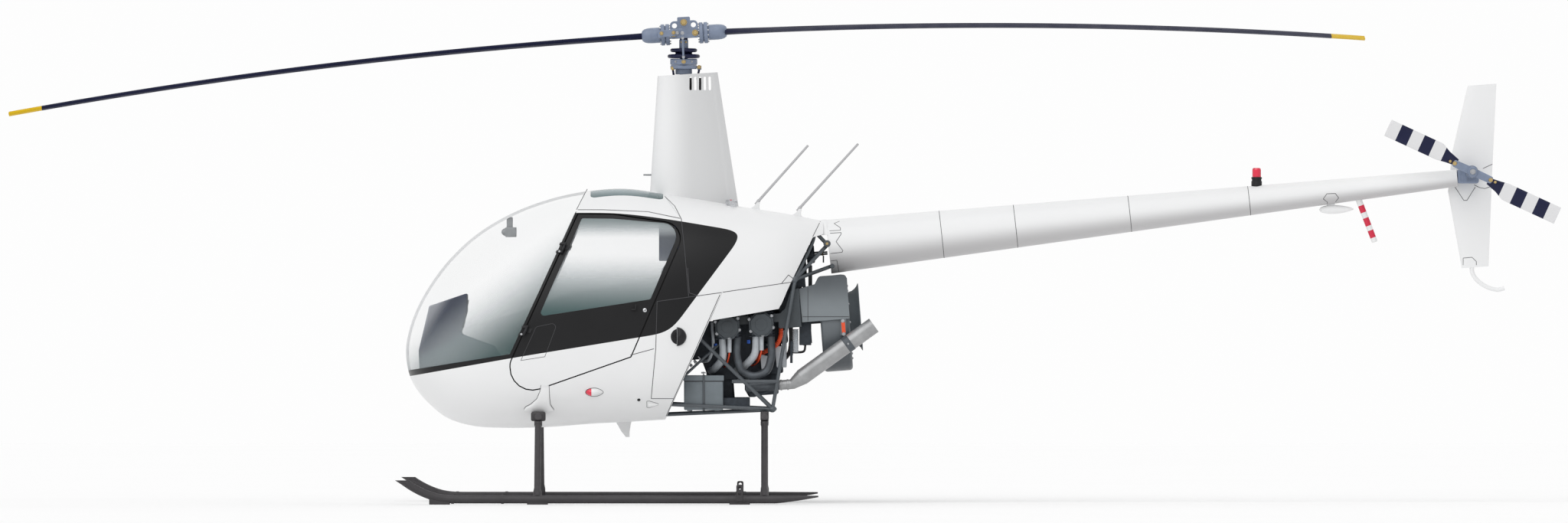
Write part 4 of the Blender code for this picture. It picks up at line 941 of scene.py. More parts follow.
RED, CLEAR_RED = (0.62, 0.022, 0.06), (0.75, 0.03, 0.07)
red_lens = finish("red_lens", CLEAR_RED, 0.12, 0.08, 60.0, 0.02, Coat_Weight=0.6)
bright_metal = finish("bright_metal", (0.62, 0.63, 0.65), 0.28, 0.08, 60.0, 0.06, 700.0, Metallic=1.0)
rubber = finish("black_rubber", (0.02, 0.02, 0.022), 0.62, 0.25, 40.0, 0.15, 600.0)
trim_black = finish(
    "trim_black", (0.016, 0.016, 0.018), 0.45, 0.2, 30.0, 0.1, 500.0, Specular_IOR_Level=0.3,
)

def on_skin(x, z):
    """The centre of a lump that stands on the port skin and is sunk into it by 4 mm."""
    return x, skin_y(x, z) + 0.004, z


LAMP, TUBE_COVER = (-0.5003, 0.6275), (-0.168, 0.559)
teardrop = lump(on_skin(*LAMP), (0.048, 0.03, 0.022), 1.7)
lens = lump(on_skin(*LAMP), (0.049, 0.0312, 0.0232), 1.7)
lens = carved(lens, [block((-0.6, -1.0, 0.5), (-0.5171, 1.0, 0.8), 0.001)])
tube_cover = lump(on_skin(*TUBE_COVER), (0.036, 0.012, 0.016), 1.3, 0.25)
line_turn = np.linspace(0, 2 * np.pi, 49)
taper = 1 - 0.3 * np.maximum(np.cos(line_turn), 0) ** 2
lamp_line = np.stack([
    LAMP[0] + 0.05 * np.cos(line_turn), LAMP[1] + 0.024 * np.sin(line_turn) * taper,
], axis=1)
COVER_LINE = (
    (-0.2055, 0.577, 0.003), (-0.19, 0.5775, 0.01), (-0.13, 0.559, 0.004), (-0.19, 0.5405, 0.01),
    (-0.2055, 0.541, 0.003),
)
BOOT_FRONT_LINE = (
    (-0.801, 0.668), (-0.8078, 0.63), (-0.8258, 0.59), (-0.86, 0.5605), (-0.888, 0.5465),
    (-0.8965, 0.534), (-0.8905, 0.525),
)
BOOT_REAR_LINE = (
    (-0.7555, 0.668), (-0.7532, 0.63), (-0.7512, 0.59), (-0.748, 0.5605), (-0.74, 0.5465), (-0.73, 0.534),
    (-0.729, 0.526),
)
outlines = (lamp_line, closed(COVER_LINE), BOOT_FRONT_LINE, BOOT_REAR_LINE)
fitting_lines = [seam(line, FINE_LINE) for line in outlines]
button = skin_disc(-0.2505, 0.5845, 0.009, 0.002)

VENT = (-0.026, 0.94)
VENT_RADIUS = 0.045
GRILLE_STEP, GRILLE_RADIUS = 0.01, 0.038
SCOOP_RADIUS, SCOOP_BACK = 0.052, -0.01
vent_ring = skin_disc(*VENT, VENT_RADIUS, 0.003, 0.042)
place, normals = hull_side([VENT[0]], [VENT[1]])
vent_frame = Vector(normals[0]).to_track_quat("Z", "Y").to_matrix().to_4x4()
vent_frame.translation = Vector(place[0])
mouth_turn = np.linspace(-np.pi / 2, np.pi / 2, 24)


def scoop(radius, height):
    """Half a dome whose mouth looks forward: at r times the radius and the angle a it stands
    height * sqrt(1 - r^2) * cos(a)^0.3 high."""
    r = np.linspace(0.0, 1.0, 14)[:, None]
    a = mouth_turn[None]
    rise = height * np.sqrt(1 - r**2) * np.cos(a) ** 0.3
    top = np.stack([r * radius * np.cos(a), r * radius * np.sin(a), 0.003 + rise], axis=-1)
    below = top * (1, 1, 0)
    return skin_over(np.concatenate([top, below[::-1]]), caps=False)


grille_places = [(GRILLE_STEP * i - 0.034, GRILLE_STEP * j - 0.02) for i in range(4) for j in range(5)]
grille = [
    rod((x, y, 0.003), (x, y, 0.008), 0.0038, steps=6) for x, y in grille_places
    if math.hypot(x, y) < GRILLE_RADIUS
]
scoop_place = vent_frame @ Matrix.Translation((SCOOP_BACK, 0, 0))
across, out = SCOOP_RADIUS * np.sin(mouth_turn), np.cos(mouth_turn)
lip_path = np.stack([SCOOP_RADIUS * out, across, 0.004 + 0 * out], axis=1)
mouth_path = np.stack([0 * out - 0.002, across, 0.004 + 0.02 * out], axis=1)
scoop_lips = [moved(tube(line, 0.0012, 8), scoop_place) for line in (lip_path, mouth_path)]
vent_scoop = moved(scoop(SCOOP_RADIUS, 0.022), scoop_place)
vent_parts = [vent_ring, vent_scoop, *placed(grille, vent_frame)]

BOOT = np.array([
    # height, front station, rear station, outer reach past the skin
    (0.668, -0.8, -0.757, 0.0), (0.63, -0.806, -0.755, 0.006), (0.59, -0.824, -0.753, 0.013),
    (0.56, -0.858, -0.75, 0.019),
    (0.545, -0.886, -0.742, 0.021), (0.534, -0.894, -0.732, 0.021), (0.527, -0.889, -0.7305, 0.019),
    (0.519, -0.85, -0.745, 0.012),
])


def boot():
    """The cover over the cross tube's end: at each height a flat oval stands on the skin, from the
    front station to the rear one, and reaches out by the last column."""
    count, steps = 40, np.arange(float(len(BOOT)))
    rows = hermite(BOOT, np.gradient(BOOT, steps, axis=0), steps, count)
    turn = np.linspace(0, 2 * np.pi, count, endpoint=False)
    middle, half = (rows[:, 1] + rows[:, 2]) / 2, (rows[:, 2] - rows[:, 1]) / 2
    x = middle[:, None] + half[:, None] * np.sign(np.cos(turn)) * np.abs(np.cos(turn)) ** 0.7
    z = np.repeat(rows[:, :1], count, axis=1)
    skin, normals = hull_side(x.ravel(), z.ravel())
    reach = (rows[:, 3:4] * (0.5 + 0.5 * np.sin(turn))).ravel() - 0.003
    return skin_over((skin + normals * reach[:, None]).reshape(count, count, 3))


BELLY_AERIAL = (
    (-0.391, 0.47), (-0.292, 0.47), (-0.3, 0.44), (-0.306, 0.4), (-0.306, 0.371), (-0.327, 0.371),
    (-0.352, 0.402),
)
aerial = plate(BELLY_AERIAL, -0.006, 0.006, bevel=0.002)
FILLER = (0.27, -0.1)
FILLER_PROFILE = (
    (0.0, -0.04), (0.03, -0.04), (0.03, -0.019), (0.034, -0.017), (0.034, -0.006), (0.033, 0.0),
    (0.028, 0.003), (0.0, 0.003),
)
filler = turned(FILLER_PROFILE, (*FILLER, 1.707), (0.03, -0.1, 1.0), 40)
filler_mark = block((0.262, -0.118, 1.7085), (0.272, -0.084, 1.7118), 0.001)
trim_grey = finish("trim_grey", (0.28, 0.29, 0.3), 0.5, 0.08, 40.0, 0.08)
compass = [
    lump((-1.006, 0, 1.529), (0.0245, 0.027, 0.0272), 9.0, 0.98),
    block((-1.008, -0.028, 1.501), (-0.945, 0.028, 1.5565), 0.004),
    block((-1.0005, -0.008, 1.55), (-0.966, 0.008, 1.613), 0.003),
]
green_lens = finish("green_lens", (0.02, 0.45, 0.12), 0.12, 0.08, 60.0, 0.02)
piece("skin_fittings", [
    (white_paint, [*both(teardrop, tube_cover), *both(boot()), aerial]), (bright_metal, [filler]),
    (trim_grey, [*both(*scoop_lips), *compass]), (red_lens, [lens, filler_mark]),
    (green_lens, mirrored([lens])),
    (trim_black, both(*vent_parts, button)), (seam_line, both(*fitting_lines)),
])

# %% [markdown]
# Each door swings on two hinges whose knuckles stand outside the skin, on one slanted line. The
# middle knuckle and its strap belong to the door, and the outer two to the pillar, so that the door
# carries its own half when it opens. A handle and a round lock sit under the window.

# %% Door hinges and handles
HINGE_UPPER, HINGE_LOWER = (-0.675, -0.495, 1.44), (-0.888, -0.583, 0.974)
KNUCKLE_RADIUS, KNUCKLE_HALF = 0.007, 0.016
hinge_way = unit(np.subtract(HINGE_UPPER, HINGE_LOWER))


def strap(centre, start, end, reach):
    """A knuckle on the hinge line from start to end, with a flat strap from it along the skin."""
    knuckle = rod(centre + hinge_way * start, centre + hinge_way * end, KNUCKLE_RADIUS, steps=20)
    way = hinge_way * (end - start) * 0.42
    middle = centre + hinge_way * (start + end) / 2
    share = np.linspace(0, 1, 6)[:, None]
    stations = middle[0] + reach * share[:, 0]
    skin, normals = hull_side(stations, middle[2] + 0 * stations, 0.0045)
    path = np.where(share < 0.2, middle, skin)
    top, below = path + normals * 0.002, path - normals * 0.012
    rings = np.stack([top - way, top + way, below + way, below - way], axis=1)
    return [knuckle, skin_over(rings)]


PIN_SHIFT = (-0.0225, 0.0, -0.02)
near, far = KNUCKLE_HALF + 0.0006, KNUCKLE_HALF + 0.016
fixed_straps, door_straps, pins = [], [], []
for centre in (np.array(HINGE_UPPER), np.array(HINGE_LOWER)):
    pin = centre + PIN_SHIFT
    pins.append(rod(pin + (0, 0.004, 0), pin + (0, -0.004, 0), 0.0062))
    door_straps += strap(centre, -KNUCKLE_HALF, KNUCKLE_HALF, 0.034)
    fixed_straps += [*strap(centre, -far, -near, -0.03), *strap(centre, near, far, -0.03)]
piece(
    "hinge_halves_fixed", [(trim_black, both(*fixed_straps)), (bright_metal, both(*pins))],
)

LOCK, HANDLE = (-0.216, 1.089), (-0.277, 1.104)
lock_ring = skin_disc(*LOCK, 0.011, 0.002, 0.009)
lock_slot = skin_disc(*LOCK, 0.0035, 0.003)
handle_y = skin_y(*HANDLE, 0.006)
handle_parts = [
    block((-0.292, handle_y - 0.012, 1.088), (-0.264, handle_y + 0.004, 1.096), 0.003),
    block((-0.272, handle_y - 0.012, 1.088), (-0.264, handle_y + 0.004, 1.122), 0.003),
]
for side, flip in SIDES:
    piece(f"door_fittings_{side}", [
        (trim_black, flip([*door_straps, *handle_parts, lock_slot])),
        (bright_metal, flip([lock_ring])),
    ], f"{side}_door")

# %% [markdown]
# The mast stands in a tall streamlined fairing: a section with a round nose and a thin tail, carried
# upwards while it shrinks. It is a shell with real louvres, because light shows through the slots in
# the picture. The same section formula, with other sizes, would give any strut cover.

# %% Mast fairing
FAIRING = np.array([
    # height, front station, rear station, half thickness
    (1.6, -0.2, 0.321, 0.106), (2.05, -0.171, 0.25, 0.09), (2.46, -0.144, 0.187, 0.075),
])
WIDEST = 0.35
FAIRING_TOP = ((-0.3, 2.4), (0.3, 2.439))
LOUVRES = (0.039, 0.065, 0.0926, 0.119, 0.147)
LOUVRE_SPAN = (2.33, 2.4075)


def fairing_rings(inset):
    """Sections at even heights: with s from 0 at the nose to 1 at the tail, the half thickness is a
    quarter ellipse up to the widest share and then falls as 1 - t^1.8."""
    heights = np.linspace(FAIRING[0, 0], FAIRING[-1, 0], 26)
    front, rear, half = columns_at(FAIRING, heights)
    turn = np.linspace(0, 2 * np.pi, 96, endpoint=False)[None]
    s = 0.5 - 0.5 * np.cos(turn)
    nose = np.sqrt(np.clip(1 - ((WIDEST - np.minimum(s, WIDEST)) / WIDEST) ** 2, 0, 1))
    tail = 1 - (np.clip(s - WIDEST, 0, 1) / (1 - WIDEST)) ** 1.8
    thickness = np.where(s < WIDEST, nose, tail) * (half - inset) + 0.002 * (s > 0.9)
    x = front + inset + s * (rear - front - 2.5 * inset)
    y = thickness * np.where(np.sin(turn) >= 0, 1, -1)
    return np.stack([x, y, heights[:, None] + 0 * x], axis=-1)


FAIRING_WALL = 0.004
outer_rings, inner_rings = fairing_rings(0.0), fairing_rings(FAIRING_WALL)
fairing_shell = skin_over(np.concatenate([outer_rings, inner_rings[::-1], outer_rings[:1]]), caps=False)
hull_solid = skin_over(hull_points(hermite(HULL, hull_slopes, hull_way, 90), 72))
above_top = plate((*FAIRING_TOP, (0.3, 2.6), (-0.3, 2.6)), -0.3, 0.3)
low, high = LOUVRE_SPAN
slots = [
    plate([(x + shift, z, 0.0065) for shift, z in (
        (-0.0065, low), (0.0075, low), (0.006, high), (-0.008, high),
    )], -0.2, 0.2)
    for x in LOUVRES
]
fairing = cut(fairing_shell, hull_solid, above_top, *slots)
top_outline = fairing_rings(FAIRING_WALL * 0.5)[-5]
lid_rings = np.stack([top_outline * (1, 1, 0) + (0, 0, level) for level in (2.316, 2.32)])
lid = cut(skin_over(lid_rings), rod((0, 0, 2.3), (0, 0, 2.5), 0.05, steps=40))
CONTROL_RODS = ((0.039, 0.018), (0.0926, 0.02))
control_rods = [rod((x, y, 1.8), (x, y, 2.4), 0.0065) for x, y in CONTROL_RODS]
pitot = rod((-0.228, 0, 1.852), (-0.172, 0, 1.852), 0.0045, 0.0055, steps=16)


def fore_and_aft(front, rear, first, second):
    """A colour that goes from the first at the front station to the second at the rear one; on the fairing it
    is painted shade.
    """
    def tint(tree, base):
        x, _, _ = place_of(tree)
        return between(tree, eased(tree, x, front, rear), first, second)
    return tint


# painted shade: the white paint is shaded grey towards the fairing's rear
fairing_painted_shade = fore_and_aft(-0.13, 0.06, WHITE_PAINT, (0.66, 0.665, 0.67))
fairing_paint_with_shade = white_finish("fairing_paint_with_shade", 0.34, fairing_painted_shade)
piece("mast_fairing_shell", [
    (fairing_paint_with_shade, [fairing]), (trim_grey, [lid, pitot]), (trim_black, control_rods),
], replaces=["mast_fairing"])

# %% [markdown]
# Two pale grey whip aerials lean back from swept white bases on the cowl. A base is a thick leaf
# whose front edge sweeps up in a curve and whose top carries the whip in a small ferrule. Both of
# its curved edges are quadratic curves between two ends and a corner.

# %% Whip aerials
whip_paint = finish("whip_paint", (0.46, 0.46, 0.47), 0.45, 0.04, 20.0, 0.03)
FERRULE = ((0, 0.018), (0.0098, 0.018), (0.0098, 0.03), (0.008, 0.034), (0, 0.034))
WHIPS = (
    # name, base: from and to station, foot and top height, then the whip's root and tip
    ("front", 0.335, 0.461, 1.6, 1.69, (0.405, 1.685), (0.703, 2.019)),
    ("rear", 0.578, 0.703, 1.565, 1.652, (0.64, 1.648), (0.986, 2.028)),
)
for name, front, rear, low, top, (root_x, root_z), (tip_x, tip_z) in WHIPS:
    front_edge = bezier(
        (front, low + 0.055), (root_x - 0.006, top - 0.03), (root_x + 0.013, top + 0.018), 14,
    )
    rear_edge = bezier(
        (root_x + 0.026, top + 0.004), (root_x + 0.01, top - 0.045), (rear, low + 0.045), 14,
    )
    leaf = [*front_edge.tolist(), *rear_edge.tolist(), (rear, low), (front, low)]
    base = plate(leaf, -0.009, 0.009, bevel=0.003)
    start, end = np.array((root_x, 0, root_z)), np.array((tip_x, 0, tip_z))
    way, length = unit(end - start), distance(start, end)
    whip_profile = (
        (0, 0), (0.0078, 0), (0.0076, 0.05), (0.0066, length - 0.004), (0.0045, length), (0, length),
    )
    whip = turned(whip_profile, start, way, 16)
    piece(f"whip_aerial_{name}", [
        (white_paint, [cut(base, hull_solid)]), (whip_paint, [whip, turned(FERRULE, start, way, 20)]),
    ], replaces=[f"whip_antenna_{name}"])

# %% [markdown]
# The tail boom is a long cone of sheet metal, rolled in five bays. Each joint is a lap that shows as
# a line, and the front bay carries a zigzag doubler where the frame's bolts pull on it. A cone is a
# circle whose radius falls with the distance along a straight axis; everything on the boom is placed
# by that distance too, and points on its side are read from the same formula.

# %% Tail boom
BOOM_FRONT, BOOM_REAR = np.array((0.818, 0.0, 1.446)), np.array((4.369, 0.0, 1.834))
BOOM_RADII = (0.1525, 0.048)
BOOM_WALL = 0.004
boom_way = unit(BOOM_REAR - BOOM_FRONT)
boom_length = distance(BOOM_FRONT, BOOM_REAR)


def boom_radius(along):
    return BOOM_RADII[0] + (BOOM_RADII[1] - BOOM_RADII[0]) * along / boom_length


def on_boom(x, z, lift=0.0):
    """The boom's port side at stations x and heights z: the circle's side at that distance along."""
    x, z = np.asarray(x, float), np.asarray(z, float)
    along = (x - BOOM_FRONT[0]) * boom_way[0] + (z - BOOM_FRONT[2]) * boom_way[2]
    up = -(x - BOOM_FRONT[0]) * boom_way[2] + (z - BOOM_FRONT[2]) * boom_way[0]
    radius = boom_radius(along)
    side = np.sqrt(np.maximum(radius**2 - up**2, 0))
    lean = unit(np.stack([-boom_way[2] + 0 * up, 0 * up, boom_way[0] + 0 * up], axis=-1))
    normals = unit(lean * up[:, None] + side[:, None] * np.array((0.0, -1.0, 0.0)))
    middle = BOOM_FRONT + along[:, None] * boom_way
    return middle + normals * (radius + lift)[:, None], normals


def boom_shade(tree, base):
    """Painted shade: grey along the boom's lower side; the height from the axis is measured in radii."""
    x, _, z = place_of(tree)
    rise, shrink = boom_way[2] / boom_way[0], (BOOM_RADII[0] - BOOM_RADII[1]) / (BOOM_REAR[0] - BOOM_FRONT[0])
    axis = maths(tree, "MULTIPLY_ADD", x, rise, BOOM_FRONT[2] - rise * BOOM_FRONT[0])
    reach = maths(tree, "MULTIPLY_ADD", x, -shrink, BOOM_RADII[0] + shrink * BOOM_FRONT[0])
    level = maths(tree, "DIVIDE", maths(tree, "SUBTRACT", z, axis), reach)
    return between(tree, eased(tree, level, -0.75, 0.15), (0.52, 0.515, 0.52), base)


def round_boom(profile, start=BOOM_FRONT, steps=72):
    return turned(profile, start, boom_way, steps)


# painted shade: the boom's white paint greys along its lower side
boom_paint_with_shade = white_finish("boom_paint_with_shade", 0.34, boom_shade)
front_lip, rear_lip = boom_radius(0) - BOOM_WALL, boom_radius(boom_length) - BOOM_WALL
boom_profile = [(boom_radius(t), t) for t in np.linspace(0, boom_length, 60)]
boom_profile += [(rear_lip, boom_length), (rear_lip, boom_length - 0.05)]
boom_profile += [(front_lip, 0.0), boom_profile[0]]
BOOM_JOINTS = (1.455, 1.873, 2.518, 3.193)
BAND_WIDTH = 0.003
bands = []
for x in BOOM_JOINTS:
    t = (x - BOOM_FRONT[0]) / boom_way[0]
    low, high = boom_radius(t) - 0.001, boom_radius(t) + 0.0005
    bands.append(round_boom([(low, t), (high, t), (high, t + BAND_WIDTH), (low, t + BAND_WIDTH)]))
UPPER_DOUBLER = (
    (0.88, 1.59), (0.849, 1.577), (0.885, 1.553), (0.885, 1.539), (0.823, 1.5355),
)
SIDE_DOUBLER = (
    (0.826, 1.522), (0.889, 1.526), (0.889, 1.5175), (0.8605, 1.4745), (0.899, 1.4243), (0.894, 1.415),
    (0.828, 1.4075),
)
FOOT_DOUBLER = ((0.83, 1.3655), (0.8647, 1.3703), (0.876, 1.306))
doublers = [seam(line, 0.003, on_boom) for line in (UPPER_DOUBLER, SIDE_DOUBLER, FOOT_DOUBLER)]
BULKHEAD = ((0, 0), (front_lip, 0), (front_lip, 0.004), (0, 0.004))
bulkhead = round_boom(BULKHEAD, BOOM_FRONT + boom_way * 0.03, 48)
COLLAR = ((0.1532, -0.06), (0.1556, -0.06), (0.1556, 0.004), (0.1532, 0.004), (0.1532, -0.06))
collar = cut(round_boom(COLLAR), block((0.6, -0.3, 1.2), (0.9, 0.3, 1.512), 0.001))
piece("boom_skin", [
    (boom_paint_with_shade, [round_boom(boom_profile), bulkhead, collar]),
    (seam_line, [*bands, *both(*doublers)]),
], replaces=["tail_boom"])

# %% [markdown]
# Fin and stabilizer are sheet-metal surfaces with a symmetric wing section. The section's thickness
# follows the classic four-digit formula: a square root at the nose and a polynomial behind it. Along
# the span the nose and tail edges are straight lines between a few heights, as the plan shows them.

# %% Fin and stabilizer
def wing_half(s):
    """Half the thickness of a unit-thick section at the share s of its chord: five times
    0.2969 sqrt(s) - 0.126 s - 0.3516 s^2 + 0.2843 s^3 - 0.1036 s^4."""
    return 5 * (0.2969 * np.sqrt(s) - 0.126 * s - 0.3516 * s**2 + 0.2843 * s**3 - 0.1036 * s**4)


def wing_section(columns=48):
    """Chord shares from tail to nose and back, and the half thickness with its sign."""
    turn = np.linspace(0, 2 * np.pi, columns, endpoint=False)
    s = 0.5 + 0.5 * np.cos(turn)
    return s, np.where(np.sin(turn) >= 0, 1, -1) * wing_half(s)


FIN_EDGES = np.array([
    # height, nose station, tail station
    (1.33, 4.3985, 4.55), (1.765, 4.32, 4.566), (1.987, 4.344, 4.576), (2.362, 4.432, 4.5945),
])
FIN_Y, FIN_THICKNESS, FIN_TILT = 0.065, 0.026, 0.012
heights = np.linspace(FIN_EDGES[0, 0], FIN_EDGES[-1, 0], 70)
nose, rear = columns_at(FIN_EDGES, heights)
s, half = wing_section()
fin = skin_over(np.stack([
    nose + s * (rear - nose), FIN_Y + half * FIN_THICKNESS + 0 * nose,
    heights[:, None] + (s - 0.5) * FIN_TILT,
], axis=-1))
STABILIZER_NOSE, STABILIZER_Z, STABILIZER_CHORD = 4.307, 1.8, 0.27
span = np.linspace(0.0773, 0.72, 30)[:, None]
stabilizer = skin_over(np.stack([
    STABILIZER_NOSE + s * STABILIZER_CHORD + 0 * span, span + 0 * s,
    STABILIZER_Z + half * 0.026 + 0 * span,
], axis=-1))


def on_fin(x, z, lift=0.0):
    """The fin's port face: flat enough there for a line to lie at one distance from its plane."""
    nose_at, rear_at = (column[:, 0] for column in columns_at(FIN_EDGES, z))
    share = np.clip((x - nose_at) / (rear_at - nose_at), 0.001, 1)
    normals = np.tile((0.0, -1.0, 0.0), (len(x), 1))
    return np.stack([x, FIN_Y - FIN_THICKNESS * wing_half(share) - lift, z], axis=-1), normals


FIN_LINES = (
    ((4.36, 1.783), (4.409, 1.708), (4.427, 1.708), (4.474, 1.783)), ((4.571, 1.913), (4.517, 1.888)),
    ((4.4675, 1.796), (4.498, 1.7805), (4.529, 1.775), (4.562, 1.7865)),
    ((4.4057, 1.342), (4.4057, 1.382), (4.455, 1.3865), (4.48, 1.363), (4.48, 1.342)),
)
fin_lines = [seam(line, 0.003, on_fin) for line in FIN_LINES]
TAIL_SKID = ((4.457, 1.37), (4.458, 1.3), (4.575, 1.207), (4.603, 1.203), (4.64, 1.212))
tail_skid = tube(smooth_path([(x, FIN_Y, z) for x, z in TAIL_SKID], 0.006), 0.0125)
stabilizer_cap = block((4.33, 0.0772, 1.794), (4.555, 0.088, 1.806), 0.003)
fin_groups = [(white_paint, [fin, tail_skid]), (seam_line, fin_lines)]
piece("fin_skin", fin_groups, replaces=["tail_fin"])
stabilizer_groups = [(white_paint, [stabilizer, stabilizer_cap])]
piece("stabilizer_skin", stabilizer_groups, replaces=["stabilizer"])

# %% [markdown]
# On the boom stand a red flashing beacon, an aerial pod under its post, and a short guard tube with
# red and white rings. The rings are painted, so their finish reads how far along the tube a point is:
# each mesh carries that distance as an attribute, which a Math node turns into bands.

# %% Boom fittings
def banded(edges, colour):
    """A tint that shows the colour between pairs of edges of the attribute called reach."""
    def tint(tree, base):
        reach = node(tree, "ShaderNodeAttribute", output="Fac", attribute_name="reach")
        total = None
        for low, high in edges:
            above = maths(tree, "GREATER_THAN", reach, low)
            inside = maths(tree, "MULTIPLY", above, maths(tree, "LESS_THAN", reach, high))
            total = inside if total is None else maths(tree, "ADD", total, inside)
        return between(tree, total, base, colour)
    return tint


def reaching(shape, start, way):
    """The shape with each point's distance along a way, for the banded finishes."""
    return shape[0], shape[1], (shape[0] - np.asarray(start, float)) @ unit(np.asarray(way, float))


BEACON = (3.237, 0, 1.76)
BEACON_BASE = (
    (0.0, 0.0), (0.03, 0.0), (0.03, 0.056), (0.027, 0.058), (0.027, 0.068), (0.03, 0.07), (0.03, 0.078),
    (0.026, 0.08), (0.0, 0.08),
)
BEACON_DOME = (
    (0.0, 0.078), (0.0245, 0.078), (0.0245, 0.118), (0.0235, 0.126), (0.02, 0.1305), (0.012, 0.132),
    (0.0, 0.132),
)
piece("beacon_lamp", [
    (trim_black, [turned(BEACON_BASE, BEACON, steps=40)]),
    (red_lens, [turned(BEACON_DOME, BEACON, steps=40)]),
], replaces=["beacon"])

POD = (3.693, 1.655)
pod_rows = np.linspace(0, 1, 30)
pod_radius = 0.0255 * np.sin(np.pi * pod_rows**0.72) ** 0.62
pod = turned(
    np.stack([pod_radius, 0.196 * pod_rows], axis=1), (POD[0] - 0.103, 0, POD[1]), (1, 0, 0.02), 32,
)
post = plate(((3.634, 1.66), (3.679, 1.66), (3.679, 1.79), (3.634, 1.79)), -0.008, 0.008, bevel=0.003)
FOOT_LINES = (
    ((3.612, 1.716), (3.636, 1.698), (3.636, 1.69)),
    ((3.612, 1.716), (3.632, 1.745), (3.68, 1.747), (3.699, 1.722), (3.682, 1.7)),
)
foot_lines = both(*[seam(line, 0.003, on_boom) for line in FOOT_LINES])
aerial_groups = [(white_paint, [pod, post]), (seam_line, foot_lines)]
piece("boom_aerial", aerial_groups, replaces=["tail_antenna"])

GUARD_START, GUARD_END = np.array((3.8015, 0.0, 1.7434)), np.array((3.905, 0.0, 1.472))
guard = rod(GUARD_START, GUARD_END, 0.018, 0.0168, 0.004, 28)
guard = reaching(guard, GUARD_START, GUARD_END - GUARD_START)
guard_red = banded(((0.069, 0.111), (0.144, 0.191), (0.219, 0.263)), RED)
guard_paint = finish("guard_paint", (0.8, 0.8, 0.8), 0.35, 0.02, 12.0, 0.02, tint=guard_red)
piece("boom_guard", [(guard_paint, [guard])], replaces=["tail_guard"], span="reach")

# %% [markdown]
# The main rotor has two blades and rocks as one on a single bolt, so blades and hub are made in the
# head's own frame, along X, and are then tilted to the way it rests. A blade is the same wing section
# again, with its chord, thickness and twist read from a short table, and it droops with the square of
# the radius, as a long thin blade does under its weight. Its tip is yellow, by the reach again.

# %% Main blades
NAVY, YELLOW = (0.0115, 0.014, 0.046), (0.658, 0.429, 0.013)
TEETER_Z, REST_TILT = 2.713, -3.2
HEAD = frame_at((0.0, 0.0, TEETER_Z), REST_TILT)
ROTOR_RADIUS, ROTOR_DROOP, BLADE_LEVEL, TIP_BAND = 3.835, 0.239, -0.064, 0.187
BLADE = np.array([
    # distance from the teeter bolt, chord, thickness, twist in degrees
    (0.23, 0.074, 0.036, 6.0), (0.33, 0.11, 0.033, 6.0), (0.48, 0.183, 0.029, 5.5),
    (0.9, 0.183, 0.028, 5.0),
    (3.835, 0.183, 0.026, 2.5),
])
TAIL_BLADE = np.array([
    (0.1, 0.04, 0.026, 0.0), (0.165, 0.066, 0.018, 0.0), (0.215, 0.1, 0.014, 0.0),
    (0.537, 0.1, 0.012, 0.0),
])


def blade_shape(sections, droop=0.0, level=0.0, rows=90):
    """Wing sections along X with the nose towards +Y: each is turned up by its twist, and sinks by
    droop * (r / radius)^2. The last ring is thinner, which rounds the tip."""
    first, last = sections[0, 0], sections[-1, 0]
    r = first + (last - first) * np.linspace(0, 1, rows) ** 1.5
    r = np.concatenate([r, [last + 0.0015]])
    chord, thick, twist = columns_at(sections, r)
    thick[-1] *= 0.45
    s, half = wing_section(44)
    across, up = (0.25 - s) * chord, half * thick
    turn = np.radians(twist)
    y = across * np.cos(turn) - up * np.sin(turn)
    z = across * np.sin(turn) + up * np.cos(turn) + level - droop * (r[:, None] / last) ** 2
    return skin_over(np.stack([r[:, None] + 0 * y, y, z], axis=-1))


navy_paint = finish("navy_paint", NAVY, 0.34, 0.12, 8.0, 0.02, **gloss)
yellow_tip = banded(((ROTOR_RADIUS - TIP_BAND, 9.0),), YELLOW)
blade_navy = [0.8 * part for part in NAVY]
blade_paint = finish(
    "main_blade_paint", blade_navy, 0.55, 0.12, 5.0, 0.03, tint=yellow_tip, Specular_IOR_Level=0.08,
)
hub_paint = finish("hub_paint", (0.195, 0.238, 0.332), 0.42, 0.1, 30.0, 0.06)
brass = finish("brass_fastener", (0.58, 0.43, 0.19), 0.35, 0.1, 60.0, 0.04, Metallic=0.8)
steel = finish("steel_fastener", (0.45, 0.46, 0.48), 0.35, 0.1, 60.0, 0.04, Metallic=0.9)


half_turn = Matrix.Rotation(math.pi, 4, "Z")
blade = blade_shape(BLADE, ROTOR_DROOP, BLADE_LEVEL)
tab_level = BLADE_LEVEL - ROTOR_DROOP * (2.95 / ROTOR_RADIUS) ** 2
tab = block((2.88, -0.16, tab_level - 0.0055), (3.03, -0.134, tab_level - 0.0035), 0.0009)
flange_profile = (
    (0.0, 0.084), (0.0575, 0.084), (0.06, 0.086), (0.06, 0.103), (0.0575, 0.105), (0.05, 0.106),
    (0.05, 0.11),
    (0.0575, 0.111), (0.06, 0.113), (0.06, 0.13), (0.0575, 0.132), (0.0, 0.132),
)
cuff_profile = (
    (0.0, 0.13), (0.0425, 0.13), (0.0435, 0.134), (0.0435, 0.188), (0.042, 0.208), (0.0375, 0.225),
    (0.029, 0.237),
    (0.015, 0.2425), (0.0, 0.2435),
)
HORN_ARM = ((0.01, -0.072, 0.006), (0.15, -0.08, 0.006), (0.15, -0.04, 0.006), (0.01, -0.034, 0.006))
FLANGE_CIRCLE = 0.053
on_axis = ((0.0, 0.0, BLADE_LEVEL), (1.0, 0.0, 0.0))
grip_parts = [
    turned(cuff_profile, *on_axis, 40), plate(HORN_ARM, 0.124, 0.148, bevel=0.003),
    block((0.112, 0.02, -0.082), (0.15, 0.14, -0.042), 0.006), turned(flange_profile, *on_axis, 48),
    block((0.036, -0.0445, -0.088), (0.105, 0.0445, -0.04), 0.006),
]
